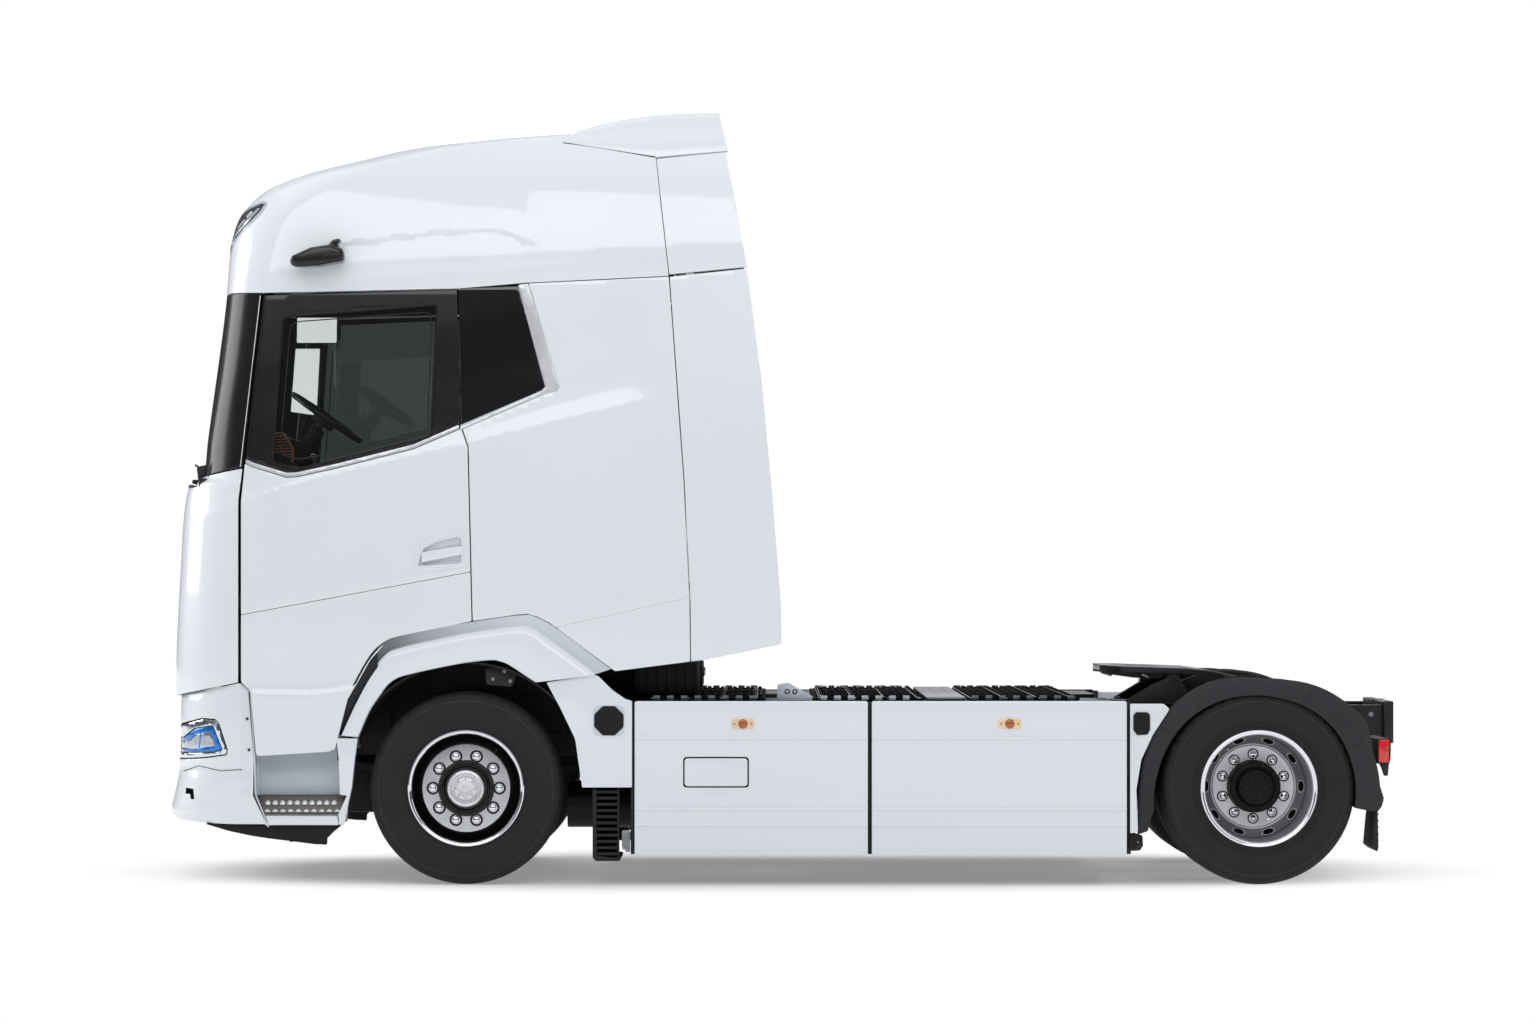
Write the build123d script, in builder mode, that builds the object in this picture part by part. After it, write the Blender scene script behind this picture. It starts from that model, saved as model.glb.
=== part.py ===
"""Cab-over tractor unit, two axles, high-roof sleeper cab.

Frame: millimetres, +X to the rear, +Y to the truck's right, +Z up.
Origin: on the ground, at the middle of the truck's length and width.
"""

from build123d import *
import math
import os

os.makedirs("parts", exist_ok=True)

# ---------------------------------------------------------------- driving sizes
FRONT_AXLE_X = -1654.0
REAR_AXLE_X = 2436.0
TYRE_R = 498.0
AXLE_Z = TYRE_R
REAR_END_X = 3240.0

FRONT_TYRE_W, FRONT_TYRE_Y = 385.0, 1035.0      # single tyres, centre plane
REAR_TYRE_W = 310.0
REAR_TYRE_YS = (740.0, 1087.0)                  # inner and outer twin, centre planes
RIM_R = 286.0                                   # tyre seat
KINGPIN_Y = 880.0
STEER_GAP = 0.05                                # radial running clearance

RAIL_TOP, RAIL_BOTTOM, RAIL_OUT = 906.0, 640.0, 400.0
CAB_T = 50.0                                    # cab wall thickness
BOW_R = 12000.0                                 # plan curvature of the cab front
CAB_BACK = 60.0                                 # how far the cab skin is drawn back
GAP = 8.0                                       # shut line round a moving panel
FLOOR_Z0, FLOOR_Z1 = 1440.0, 1490.0
REAR_WALL_X0, REAR_WALL_X1 = -560.0, -510.0
BULK_X0, BULK_X1 = -3045.0, -3000.0             # bulkhead behind the front lid
PANEL_HALF = 900.0                              # half width of the front lid
WELL_X0, WELL_X1, WELL_IN = -2740.0, -2290.0, 905.0
WHEEL_C, WHEEL_LEAN, WHEEL_RR = (-2430.0, -600.0, 2432.0), 35.0, 212.0
SEAT_Y = 600.0

WEB = 10.0                                      # frame rail plate
BOX_Z0, BOX_Z1, BOX_OUT, SHEET_OUT = 190.0, 945.0, 1205.0, 1235.0
FLAP_X0, FLAP_X1, FLAP_Z0, FLAP_Z1 = -533.0, -193.0, 502.0, 662.0
HOUSE_R = 640.0                                 # liner over the front wheels

FW_X, FW_Z, FW_TILT = 2065.0, 1040.0, 2.0       # coupling plate pivot and rest tilt
FW_HALF, FW_UNDER = 430.0, 34.0                 # plate half width; its underside above the pivot
PIN_R = 18.0                                    # plate pivot pins
KINGPIN_BORE_R = 25.6
TOW_BORE_R = 20.0

# ---------------------------------------------------------------- helpers


def prism_xz(points, y0, y1):
    """A side-view outline made solid from y0 to y1."""
    with BuildPart() as p:
        with BuildSketch(Plane.XZ.offset(-y1)):
            with BuildLine():
                Polyline(*points, close=True)
            make_face()
        extrude(amount=y1 - y0)
    return p.part


def prism_in(points, d, y0, y1):
    """A side-view outline drawn in by d all round, made solid from y0 to y1."""
    with BuildPart() as p:
        with BuildSketch(Plane.XZ.offset(-y1)):
            with BuildLine():
                Polyline(*points, close=True)
            make_face()
            offset(amount=-d, kind=Kind.INTERSECTION, mode=Mode.REPLACE)
        extrude(amount=y1 - y0)
    return p.part


def prism_yz(points, x0, x1):
    with BuildPart() as p:
        with BuildSketch(Plane.YZ.offset(x0)):
            with BuildLine():
                Polyline(*points, close=True)
            make_face()
        extrude(amount=x1 - x0)
    return p.part


def prism_xy(points, z0, z1):
    with BuildPart() as p:
        with BuildSketch(Plane.XY.offset(z0)):
            with BuildLine():
                Polyline(*points, close=True)
            make_face()
        extrude(amount=z1 - z0)
    return p.part


def block(x0, x1, y0, y1, z0, z1):
    with BuildPart() as p:
        with Locations(((x0 + x1) / 2, (y0 + y1) / 2, (z0 + z1) / 2)):
            Box(x1 - x0, y1 - y0, z1 - z0)
    return p.part


def drum(x, z, r, y0, y1):
    """A cylinder with its axis along Y."""
    with BuildPart() as p:
        with BuildSketch(Plane.XZ.offset(-y1)):
            with Locations((x, z)):
                Circle(r)
        extrude(amount=y1 - y0)
    return p.part


def post(x, y, r, z0, z1):
    """A cylinder with its axis along Z."""
    with BuildPart() as p:
        with BuildSketch(Plane.XY.offset(z0)):
            with Locations((x, y)):
                Circle(r)
        extrude(amount=z1 - z0)
    return p.part


# ---------------------------------------------------------------- cab skin
# Plan sections of the cab, from the sill to the top of the roof.
# columns:  z, front (x at the centre plane), half width, corner radius
CAB_ROWS = (
    (640, -3221, 1240, 340),
    (990, -3221, 1243, 340),
    (1625, -3200, 1245, 340),
    (2059, -3168, 1245, 340),
    (2104, -3080, 1245, 300),
    (2300, -3055, 1241, 300),
    (3070, -2955, 1198, 280),
    (3272, -2938, 1184, 300),
    (3430, -2902, 1168, 330),
    (3586, -2781, 1138, 370),
    (3665, -2630, 1108, 400),
    (3743, -2373, 1062, 450),
    (3821, -2000, 985, 480),
    (3880, -1250, 860, 500),
)
# columns: z, front, half width, corner radius
BUMPER_ROWS = (
    (240, -3060, 1205, 270),
    (292, -3142, 1222, 290),
    (328, -3205, 1235, 310),
    (372, -3245, 1243, 330),
    (449, -3229, 1245, 330),
    (605, -3204, 1245, 330),
    (815, -3200, 1245, 330),
    (1050, -3184, 1243, 330),
)


def plan_face(z, front, half_w, corner, back, inset):
    xf, w, r, rb = front + inset, half_w - inset, max(corner - inset, 60), BOW_R - inset
    dy = w - r
    xs = xf + rb - math.sqrt((rb - r) ** 2 - dy**2)
    bx = xf + rb
    ux, uy = xs - bx, dy
    n = math.hypot(ux, uy)
    ux, uy = ux / n, uy / n
    tx, ty = xs + r * ux, dy + r * uy
    mx, my = ux, uy + 1
    m = math.hypot(mx, my)
    mx, my = xs + r * mx / m, dy + r * my / m
    with BuildSketch(Plane.XY.offset(z)) as s:
        with BuildLine():
            Line((back, w), (xs, w))
            ThreePointArc((xs, w), (mx, my), (tx, ty))
            ThreePointArc((tx, ty), (xf, 0), (tx, -ty))
            ThreePointArc((tx, -ty), (mx, -my), (xs, -w))
            Line((xs, -w), (back, -w))
            Line((back, -w), (back, w))
        make_face()
    return s.sketch


def skin(rows, inset, back, drop=0.0):
    """The cab's or bumper's outer form, inset by the wall's thickness."""
    with BuildPart() as p:
        for k, (z, front, half_w, corner) in enumerate(rows):
            level = z
            if drop and z > 3500:
                level = z - drop
            if drop and k == 0:
                level = z - 5
            add(plan_face(level, front, half_w, corner, back, inset))
        loft(ruled=True)
    return p.part


outer = skin(CAB_ROWS, 0, CAB_BACK)
under_glass = skin(CAB_ROWS, 8, CAB_BACK + 10, drop=8)
inner = skin(CAB_ROWS, CAB_T, CAB_BACK + 20, drop=CAB_T)
with BuildPart() as shell:                      # the whole cab skin, one wall thick
    add(outer)
    add(inner, mode=Mode.SUBTRACT)
with BuildPart() as screen_skin:                # its outer 8 mm, for the windscreen
    add(outer)
    add(under_glass, mode=Mode.SUBTRACT)
with BuildPart() as pillar_skin:                # what is left behind the windscreen
    add(under_glass)
    add(inner, mode=Mode.SUBTRACT)
with BuildPart() as window_skin:                # side glass, set back in the wall
    add(skin(CAB_ROWS, 20, CAB_BACK, drop=20))
    add(skin(CAB_ROWS, 26, CAB_BACK + 10, drop=26), mode=Mode.SUBTRACT)

# ---------------------------------------------------------------- side-view outlines, x and z
DOOR = [
    (-2701, 3046), (-2799, 2150), (-2814, 1985), (-2814, 1045), (-2763, 1000), (-2735, 662),
    (-2322, 687), (-2258, 955), (-2140, 1161), (-2047, 1264), (-1619, 1359), (-1640, 2258),
    (-1676, 2361), (-1697, 3076),
]
WINDOW = [(-2640, 2960), (-1800, 3000), (-1815, 2330), (-2067, 2268), (-2505, 2160), (-2700, 2170)]
QUARTER = [(-1650, 3040), (-1377, 3045), (-1250, 2600), (-1262, 2576), (-1650, 2410)]
SIDE = [(-1697, 3076), (-1676, 2361), (-1640, 2258), (-1619, 1359), (-1321, 1390), (-1218, 1369), (-960, 1091),
        (-883, 1101), (-494, 1151), (-497, 1470), (-528, 2088), (-605, 3142), (-1346, 3106)]
SCREEN = [(-3400, 2106), (-3060, 2106), (-2803, 2152), (-2709, 3046), (-2701, 3054), (-3400, 3072)]
CORNER = [(-3400, 954), (-3184, 969), (-2822, 1043), (-2822, 1985), (-2803, 2152), (-3060, 2106), (-3060, 2059),
          (-3400, 2059)]
COWL = [(-3400, 2059), (-3060, 2059), (-3060, 2106), (-3400, 2106)]
LID = [(-3400, 968), (-3184, 977), (-3060, 1002), (-3060, 2051), (-3400, 2051)]
ROOF = [(-3400, 3072), (-2701, 3054), (-1697, 3076), (-1346, 3106), (-605, 3142), (-676, 3777), (-690, 4100), (-3400, 4100)]
LOW_DEFLECTOR = [(-605, 3142), (-528, 2088), (-497, 1470), (-494, 1151), (-430, 1158), (-28, 1240), (-23, 1264),
                 (-28, 1470), (-69, 1985), (-126, 2603), (-203, 3184)]
HIGH_DEFLECTOR = [(-640, 3147), (-202, 3189), (-311, 3800), (-480, 3784), (-700, 3762)]
HOOD = [(-1170, 3850), (-1120, 3886), (-960, 3925), (-703, 3962), (-352, 3990), (-313, 3806), (-480, 3788), (-677, 3767)]
HOOD_ROOM = [(-1110, 3800), (-1080, 3850), (-950, 3885), (-700, 3922), (-300, 3952), (-200, 3700), (-700, 3700)]
# flare over the front wheel, with the leg that carries it down behind the step and along under it
FLARE = [(-1240, 1052), (-1269, 1040), (-1406, 1120), (-1460, 1151), (-1522, 1158), (-1671, 1141), (-1954, 1081),
         (-2026, 1043), (-2109, 945), (-2212, 785), (-2239, 628), (-2256, 464), (-2310, 308), (-2665, 311), (-2690, 361),
         (-2300, 361), (-2300, 461), (-2310, 640), (-2298, 772), (-2254, 955), (-2140, 1153), (-2047, 1254),
         (-1619, 1347), (-1600, 1360), (-1321, 1389), (-1218, 1369), (-960, 1091), (-1012, 1091)]
HEADLAMP = [(-3400, 800), (-3184, 812), (-3150, 832), (-3020, 862), (-2950, 856), (-2882, 684), (-2893, 663),
            (-3039, 647), (-3138, 642), (-3400, 642)]
BUMPER = [(-3400, 954), (-3184, 969), (-2822, 1043), (-2772, 998), (-2745, 662), (-2747, 461), (-2696, 361), (-2671, 286),
          (-2856, 271), (-3107, 292), (-3400, 292)]
SKIRT = [(-3072, 290), (-3072, 262), (-2711, 240), (-2392, 208), (-2371, 234), (-2315, 306), (-2665, 308), (-2671, 286),
         (-2856, 271)]
FRONT_PANEL = [(-785, 157), (425, 157), (425, 945), (-785, 945)]
REAR_PANEL = [(435, 157), (1754, 157), (1764, 270), (1764, 945), (435, 945)]
END_PANEL = [(1770, 935), (1945, 935), (1978, 909), (1888, 775), (1828, 646), (1803, 492), (1812, 275), (1770, 265)]
FRONT_GUARD = [(-1237, 1046), (-996, 1084), (-971, 1079), (-898, 1007), (-831, 960), (-796, 950), (-796, 502),
               (-1053, 502), (-1089, 754), (-1166, 914)]
FRONT_GUARD_ROOM = [(-1120, 1036), (-1006, 1066), (-976, 1060), (-908, 992), (-841, 948), (-808, 938), (-808, 480),
                    (-998, 480), (-1018, 754), (-1075, 920)]
REAR_GUARD = [(1821, 275), (1811, 492), (1836, 646), (1898, 775), (1986, 904), (2078, 1007), (2156, 1038), (2336, 1074),
              (2707, 1043), (2851, 971), (2913, 914), (3005, 852), (3057, 492), (3083, 440), (3046, 399), (2964, 389)]
CAMERA = [(-2552, 3250), (-2540, 3285), (-2470, 3310), (-2310, 3318), (-2270, 3290), (-2263, 3250), (-2280, 3222),
          (-2400, 3200), (-2520, 3192), (-2548, 3215)]
DASH = [(-3000, FLOOR_Z1), (-2930, FLOOR_Z1), (-2880, 1850), (-2620, 1900), (-2550, 1990), (-2520, 2140), (-2600, 2225),
        (-2700, 2245), (-2980, 2190), (-3000, 2140)]

# ---------------------------------------------------------------- doors
# The leaf is drawn in from the opening by the shut line; hinge line at the outer front edge.
with BuildPart() as left_door:
    add(shell.part)
    add(prism_in(DOOR, GAP, -1600, -600), mode=Mode.INTERSECT)
    add(prism_xz(WINDOW, -1600, -600), mode=Mode.SUBTRACT)
left_door.part.label = "left_door"
export_step(left_door.part, "parts/left_door.step")

with BuildPart() as right_door:
    add(left_door.part)
    mirror(about=Plane.XZ, mode=Mode.REPLACE)
right_door.part.label = "right_door"
export_step(right_door.part, "parts/right_door.step")

with BuildPart() as left_door_glass:
    add(window_skin.part)
    add(prism_xz(WINDOW, -1600, -600), mode=Mode.INTERSECT)
left_door_glass.part.label = "left_door_glass"
export_step(left_door_glass.part, "parts/left_door_glass.step")

with BuildPart() as right_door_glass:
    add(left_door_glass.part)
    mirror(about=Plane.XZ, mode=Mode.REPLACE)
right_door_glass.part.label = "right_door_glass"
export_step(right_door_glass.part, "parts/right_door_glass.step")

# ---------------------------------------------------------------- fixed cab panels
with BuildPart() as cab_sides:
    add(shell.part)
    add(prism_xz(SIDE, -1600, -600), mode=Mode.INTERSECT)
    add(prism_xz(QUARTER, -1600, -600), mode=Mode.SUBTRACT)
    mirror(about=Plane.XZ)
cab_sides.part.label = "cab_sides"
export_step(cab_sides.part, "parts/cab_sides.step")

with BuildPart() as quarter_glass:
    add(window_skin.part)
    add(prism_xz(QUARTER, -1600, -600), mode=Mode.INTERSECT)
    mirror(about=Plane.XZ)
with BuildPart() as fixed_glass:
    add(screen_skin.part)
    add(prism_xz(SCREEN, -1600, 1600), mode=Mode.INTERSECT)
    add(quarter_glass.part)
fixed_glass.part.label = "fixed_glass"
export_step(fixed_glass.part, "parts/fixed_glass.step")

with BuildPart() as a_pillars:
    add(pillar_skin.part)
    add(prism_xz(SCREEN, -1600, -1010), mode=Mode.INTERSECT)
    mirror(about=Plane.XZ)
a_pillars.part.label = "a_pillars"
export_step(a_pillars.part, "parts/a_pillars.step")

with BuildPart() as roof_tail:                  # the roof runs back to the rear wall between the deflectors
    add(shell.part)
    add(block(-690, REAR_WALL_X1, -984, 984, 3700, 4000), mode=Mode.INTERSECT)
with BuildPart() as roof:
    add(shell.part)
    add(prism_xz(ROOF, -1600, 1600), mode=Mode.INTERSECT)
    add(roof_tail.part)
roof.part.label = "roof"
export_step(roof.part, "parts/roof.step")

with BuildPart() as bulkhead:                   # wall between the front lid and the cab
    add(inner)
    add(block(BULK_X0, BULK_X1, -1230, 1230, 1046, 2106), mode=Mode.INTERSECT)
with BuildPart() as cowl_shelf:
    add(inner)
    add(block(-3200, BULK_X0 + 5, -1230, 1230, 2076, 2106), mode=Mode.INTERSECT)
with BuildPart() as cab_front:
    add(shell.part)
    add(prism_xz(COWL, -1600, 1600), mode=Mode.INTERSECT)
    add(bulkhead.part)
    add(cowl_shelf.part)
cab_front.part.label = "cab_front"
export_step(cab_front.part, "parts/cab_front.step")

with BuildPart() as corner_panels:
    add(shell.part)
    add(prism_xz(CORNER, -1600, -PANEL_HALF - GAP), mode=Mode.INTERSECT)
    mirror(about=Plane.XZ)
corner_panels.part.label = "corner_panels"
export_step(corner_panels.part, "parts/corner_panels.step")

with BuildPart() as front_panel:                # lid, hinged along its top edge
    add(shell.part)
    add(prism_xz(LID, -PANEL_HALF, PANEL_HALF), mode=Mode.INTERSECT)
front_panel.part.label = "front_panel"
export_step(front_panel.part, "parts/front_panel.step")

with BuildPart() as floor_side_room:            # room for the door leaf and the stair well
    add(block(-2830, -1610, -1300, -1180, 1400, 1500))
    add(block(-2770, -2275, -1300, -905, 1400, 1500))
    mirror(about=Plane.XZ)
with BuildPart() as cab_floor:
    add(inner)
    add(block(BULK_X1, REAR_WALL_X0, -1230, 1230, FLOOR_Z0, FLOOR_Z1), mode=Mode.INTERSECT)
    add(floor_side_room.part, mode=Mode.SUBTRACT)
cab_floor.part.label = "cab_floor"
export_step(cab_floor.part, "parts/cab_floor.step")

with BuildPart() as cab_rear_wall:
    add(inner)
    add(block(REAR_WALL_X0, REAR_WALL_X1, -1230, 1230, 1250, 3860), mode=Mode.INTERSECT)
cab_rear_wall.part.label = "cab_rear_wall"
export_step(cab_rear_wall.part, "parts/cab_rear_wall.step")

# ---------------------------------------------------------------- air deflectors
with BuildPart() as low_deflector:
    add(shell.part)
    add(prism_xz(LOW_DEFLECTOR, -1600, -600), mode=Mode.INTERSECT)
with BuildPart() as side_deflectors:
    add(shell.part)
    add(prism_xz(HIGH_DEFLECTOR, -1600, -985), mode=Mode.INTERSECT)
    add(prism_xz(ROOF, -1600, 1600), mode=Mode.SUBTRACT)
    add(low_deflector.part)
    mirror(about=Plane.XZ)
side_deflectors.part.label = "side_deflectors"
export_step(side_deflectors.part, "parts/side_deflectors.step")

# columns: half width, height, of the roof deflector's rear view
HOOD_ENDS = ((1108, 3700), (1092, 3850), (1040, 3960), (1000, 4050))
hood_form = prism_yz([(-w, z) for w, z in HOOD_ENDS] + [(w, z) for w, z in reversed(HOOD_ENDS)], -1400, 0)
hood_inner = prism_yz([(36 - w, z) for w, z in HOOD_ENDS] + [(w - 36, z) for w, z in reversed(HOOD_ENDS)], -1400, 100)
with BuildPart() as hood_room:
    add(prism_xz(HOOD_ROOM, -1300, 1300))
    add(hood_inner, mode=Mode.INTERSECT)
with BuildPart() as roof_deflector:
    add(prism_xz(HOOD, -1300, 1300))
    add(hood_form, mode=Mode.INTERSECT)
    add(hood_room.part, mode=Mode.SUBTRACT)
    add(outer, mode=Mode.SUBTRACT)
roof_deflector.part.label = "roof_deflector"
export_step(roof_deflector.part, "parts/roof_deflector.step")

with BuildPart() as camera_arms:
    with BuildSketch(Plane.XZ.offset(1100)):
        with BuildLine():
            Polyline(*CAMERA, close=True)
        make_face()
    extrude(amount=290, taper=4)
    add(outer, mode=Mode.SUBTRACT)
    mirror(about=Plane.XZ)
camera_arms.part.label = "camera_arms"
export_step(camera_arms.part, "parts/camera_arms.step")

# ---------------------------------------------------------------- bumper, headlamps, skirt
bumper_inner = skin(BUMPER_ROWS, 70, -2600, drop=1)
with BuildPart() as bumper_wall:
    add(skin(BUMPER_ROWS, 0, -2650))
    add(bumper_inner, mode=Mode.SUBTRACT)
with BuildPart() as headlamps:
    add(bumper_wall.part)
    add(prism_xz(HEADLAMP, -1600, -820), mode=Mode.INTERSECT)
    mirror(about=Plane.XZ)
headlamps.part.label = "headlamps"
export_step(headlamps.part, "parts/headlamps.step")
with BuildPart() as bumper:
    add(bumper_wall.part)
    add(prism_xz(BUMPER, -1600, 1600), mode=Mode.INTERSECT)
    add(headlamps.part, mode=Mode.SUBTRACT)
bumper.part.label = "bumper"
export_step(bumper.part, "parts/bumper.step")
with BuildPart() as front_skirt:
    add(prism_xz(SKIRT, -1215, -1165))
    add(bumper.part, mode=Mode.SUBTRACT)
    mirror(about=Plane.XZ)
front_skirt.part.label = "front_skirt"
export_step(front_skirt.part, "parts/front_skirt.step")

# ---------------------------------------------------------------- arch flares, steps and their wells
with BuildPart() as arch_trims:
    add(prism_xz(FLARE, -1260, -1185))
    mirror(about=Plane.XZ)
arch_trims.part.label = "arch_trims"
export_step(arch_trims.part, "parts/arch_trims.step")

# columns: height of the tread's top, how deep the tread is, its outer face
STEPS = ((461, 100, 1228), (800, 34, 1170), (1140, 34, 1170))
with BuildPart() as steps:
    for top, deep, out in STEPS:
        add(block(WELL_X0 + 12, WELL_X1 - 12, -out, -WELL_IN, top - deep, top))
    add(bumper.part, mode=Mode.SUBTRACT)
    mirror(about=Plane.XZ)
steps.part.label = "steps"
export_step(steps.part, "parts/steps.step")
with BuildPart() as step_wells:
    add(block(WELL_X0, WELL_X1, -1170, -WELL_IN + 10, 312, FLOOR_Z0))
    add(block(WELL_X0 + 12, WELL_X1 - 12, -1300, -WELL_IN, 200, 1500), mode=Mode.SUBTRACT)
    add(bumper.part, mode=Mode.SUBTRACT)
    mirror(about=Plane.XZ)
step_wells.part.label = "step_wells"
export_step(step_wells.part, "parts/step_wells.step")

# ---------------------------------------------------------------- ladder frame
with BuildPart() as frame_rails:                # channels, open towards each other
    add(block(-3090, 3180, -RAIL_OUT, -RAIL_OUT + 80, RAIL_BOTTOM, RAIL_TOP))
    add(block(-3200, 3300, -RAIL_OUT + WEB, -200, RAIL_BOTTOM + WEB, RAIL_TOP - WEB), mode=Mode.SUBTRACT)
    mirror(about=Plane.XZ)
frame_rails.part.label = "frame_rails"
export_step(frame_rails.part, "parts/frame_rails.step")

CROSS_X = (-2950, -2250, -1010, -620, 370, 880, 1720, 2980)
with BuildPart() as nose_beam:
    add(bumper_inner)
    add(block(-3300, -3090, -650, 650, 560, 880), mode=Mode.INTERSECT)
with BuildPart() as crossmembers:
    for x in CROSS_X:
        add(block(x, x + 30, -RAIL_OUT + WEB, RAIL_OUT - WEB, 665, 880))
    add(nose_beam.part)
    add(block(3180, REAR_END_X, -430, 430, 700, 929))
    add(post(3210, 0, TOW_BORE_R, 600, 1000), mode=Mode.SUBTRACT)
crossmembers.part.label = "crossmembers"
export_step(crossmembers.part, "parts/crossmembers.step")

# ---------------------------------------------------------------- front axle, springs, knuckles
AX0, AX1 = FRONT_AXLE_X - 60, FRONT_AXLE_X + 60
# columns: distance from the centre plane, bottom, top
BEAM = ((0, 370, 450), (600, 370, 450), (650, 390, 450), (780, 443, 545), (880, 443, 553))
with BuildPart() as front_axle:
    add(prism_yz([(y, lo) for y, lo, hi in BEAM] + [(y, hi) for y, lo, hi in reversed(BEAM)], AX0, AX1))
    add(post(FRONT_AXLE_X, KINGPIN_Y, 60, 443, 553))
    add(post(FRONT_AXLE_X, KINGPIN_Y, 25 + STEER_GAP, 400, 600), mode=Mode.SUBTRACT)
    mirror(about=Plane.XZ)
front_axle.part.label = "front_axle"
export_step(front_axle.part, "parts/front_axle.step")

with BuildPart() as front_springs:
    add(prism_xz([(-2430, 640), (-2430, 590), (-2330, 570), (-1900, 490), (-1714, 450), (-1594, 450), (-1400, 490),
                  (-1000, 570), (-900, 590), (-900, 640), (-960, 640), (-1000, 610), (-1450, 540), (-1600, 500),
                  (-1700, 500), (-1860, 540), (-2330, 610), (-2370, 640)], -395, -325))
    mirror(about=Plane.XZ)
front_springs.part.label = "front_springs"
export_step(front_springs.part, "parts/front_springs.step")

with BuildPart() as left_knuckle:
    add(post(FRONT_AXLE_X, -KINGPIN_Y, 25, 393, 603))
    add(block(AX0, AX1, -950, -KINGPIN_Y + 45, 563, 603))
    add(block(AX0, AX1, -950, -KINGPIN_Y + 45, 393, 433))
    add(block(AX0 - 25, AX1 + 25, -985, -945, 393, 603))
    add(block(FRONT_AXLE_X, FRONT_AXLE_X + 230, -865, -825, 398, 425))
    add(drum(FRONT_AXLE_X, AXLE_Z, 45, -1150, -985))
left_knuckle.part.label = "left_knuckle"
export_step(left_knuckle.part, "parts/left_knuckle.step")

with BuildPart() as right_knuckle:
    add(left_knuckle.part)
    mirror(about=Plane.XZ, mode=Mode.REPLACE)
right_knuckle.part.label = "right_knuckle"
export_step(right_knuckle.part, "parts/right_knuckle.step")


# ---------------------------------------------------------------- wheels and tyres
def turned(x, y0, side, profile):
    """Revolve (distance outwards from y0, radius) pairs about an axle line; side -1 is the left."""
    turn_plane = Plane(origin=(x, side * y0, AXLE_Z), x_dir=(0, side, 0), z_dir=(1, 0, 0) if side > 0 else (-1, 0, 0))
    with BuildPart() as p:
        with BuildSketch(turn_plane):
            with BuildLine():
                Polyline(*profile, close=True)
            make_face()
        revolve(axis=Axis((x, side * y0, AXLE_Z), (0, 1, 0)))
    return p.part


def tyre_profile(width, bead, wall=18.0, tread=34.0):
    """A casing open at its beads: outer outline up one side and down the other, then the inside."""
    half = width / 2
    out = [(half * 0.66, 286), (bead, 286), (bead, 304), (half * 0.95, 345), (half, 395), (half * 0.98, 445),
           (half * 0.90, 480), (half * 0.80, 492), (half * 0.5, 498)]
    inn = [(half * 0.74, 320), (half * 0.95 - wall, 350), (half - wall, 395), (half * 0.98 - wall, 435),
           (half * 0.86 - wall, 458), (0, TYRE_R - tread)]
    return out + [(-u, r) for u, r in reversed(out)] + [(-u, r) for u, r in inn] + [(u, r) for u, r in reversed(inn[:-1])]


# columns: distance outwards from the rim's centre plane, radius
FRONT_RIM = [
    (-168, 274), (-168, 300), (-158, 300), (-158, 286), (158, 286), (158, 300), (170, 300), (172, 292), (166, 274),
    (80, 268), (100, 236), (140, 226), (140, 118), (196, 112), (196, 92), (206, 88), (206, 60), (212, 52), (212, 0),
    (125, 0), (125, 45 + STEER_GAP), (-35, 45 + STEER_GAP), (-35, 110), (124, 110), (124, 214), (88, 224), (62, 272),
]
OUTER_RIM = [
    (-155, 274), (-155, 300), (-146, 300), (-146, 286), (143, 286), (143, 300), (153, 300), (155, 292), (148, 272),
    (-110, 268), (-138, 232), (-152, 212), (-152, 136), (-166, 136), (-166, 216), (-150, 240), (-128, 274),
]
# columns: distance outwards from the truck's centre plane, radius
HUB = [
    (640, 60 + STEER_GAP), (640, 120), (660, 120), (660, 215), (700, 215), (700, 134), (905, 134), (905, 195), (921, 195),
    (921, 134), (1085, 130), (1085, 100), (1108, 92), (1108, 0), (1010, 0), (1010, 60 + STEER_GAP),
]
for side, word in ((-1, "left"), (1, "right")):
    with BuildPart() as front_wheel:
        add(turned(FRONT_AXLE_X, FRONT_TYRE_Y, side, FRONT_RIM))
    front_wheel.part.label = f"front_{word}_wheel"
    export_step(front_wheel.part, f"parts/front_{word}_wheel.step")
    with BuildPart() as front_tyre:
        add(turned(FRONT_AXLE_X, FRONT_TYRE_Y, side, tyre_profile(FRONT_TYRE_W, 157)))
    front_tyre.part.label = f"front_{word}_tyre"
    export_step(front_tyre.part, f"parts/front_{word}_tyre.step")
    with BuildPart() as twin_rims:              # one each side of the hub's flange
        add(turned(REAR_AXLE_X, REAR_TYRE_YS[1], side, OUTER_RIM))
        add(turned(REAR_AXLE_X, REAR_TYRE_YS[0] - 1, side, [(-u, r) for u, r in reversed(OUTER_RIM)]))
    twin_rims.part.label = f"rear_{word}_rims"
    export_step(twin_rims.part, f"parts/rear_{word}_rims.step")
    with BuildPart() as rear_hub:
        add(turned(REAR_AXLE_X, 0, side, HUB))
    rear_hub.part.label = f"rear_{word}_hub"
    export_step(rear_hub.part, f"parts/rear_{word}_hub.step")
    with BuildPart() as twin_tyres:
        for y in REAR_TYRE_YS:
            add(turned(REAR_AXLE_X, y, side, tyre_profile(REAR_TYRE_W, 142)))
    twin_tyres.part.label = f"rear_{word}_tyres"
    export_step(twin_tyres.part, f"parts/rear_{word}_tyres.step")

# ---------------------------------------------------------------- rear axle and drive
with BuildPart() as rear_axle:
    for r, half in ((60, 1000), (75, 625), (130, 220), (190, 130)):
        add(drum(REAR_AXLE_X, AXLE_Z, r, -half, half))
rear_axle.part.label = "rear_axle"
export_step(rear_axle.part, "parts/rear_axle.step")

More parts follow.
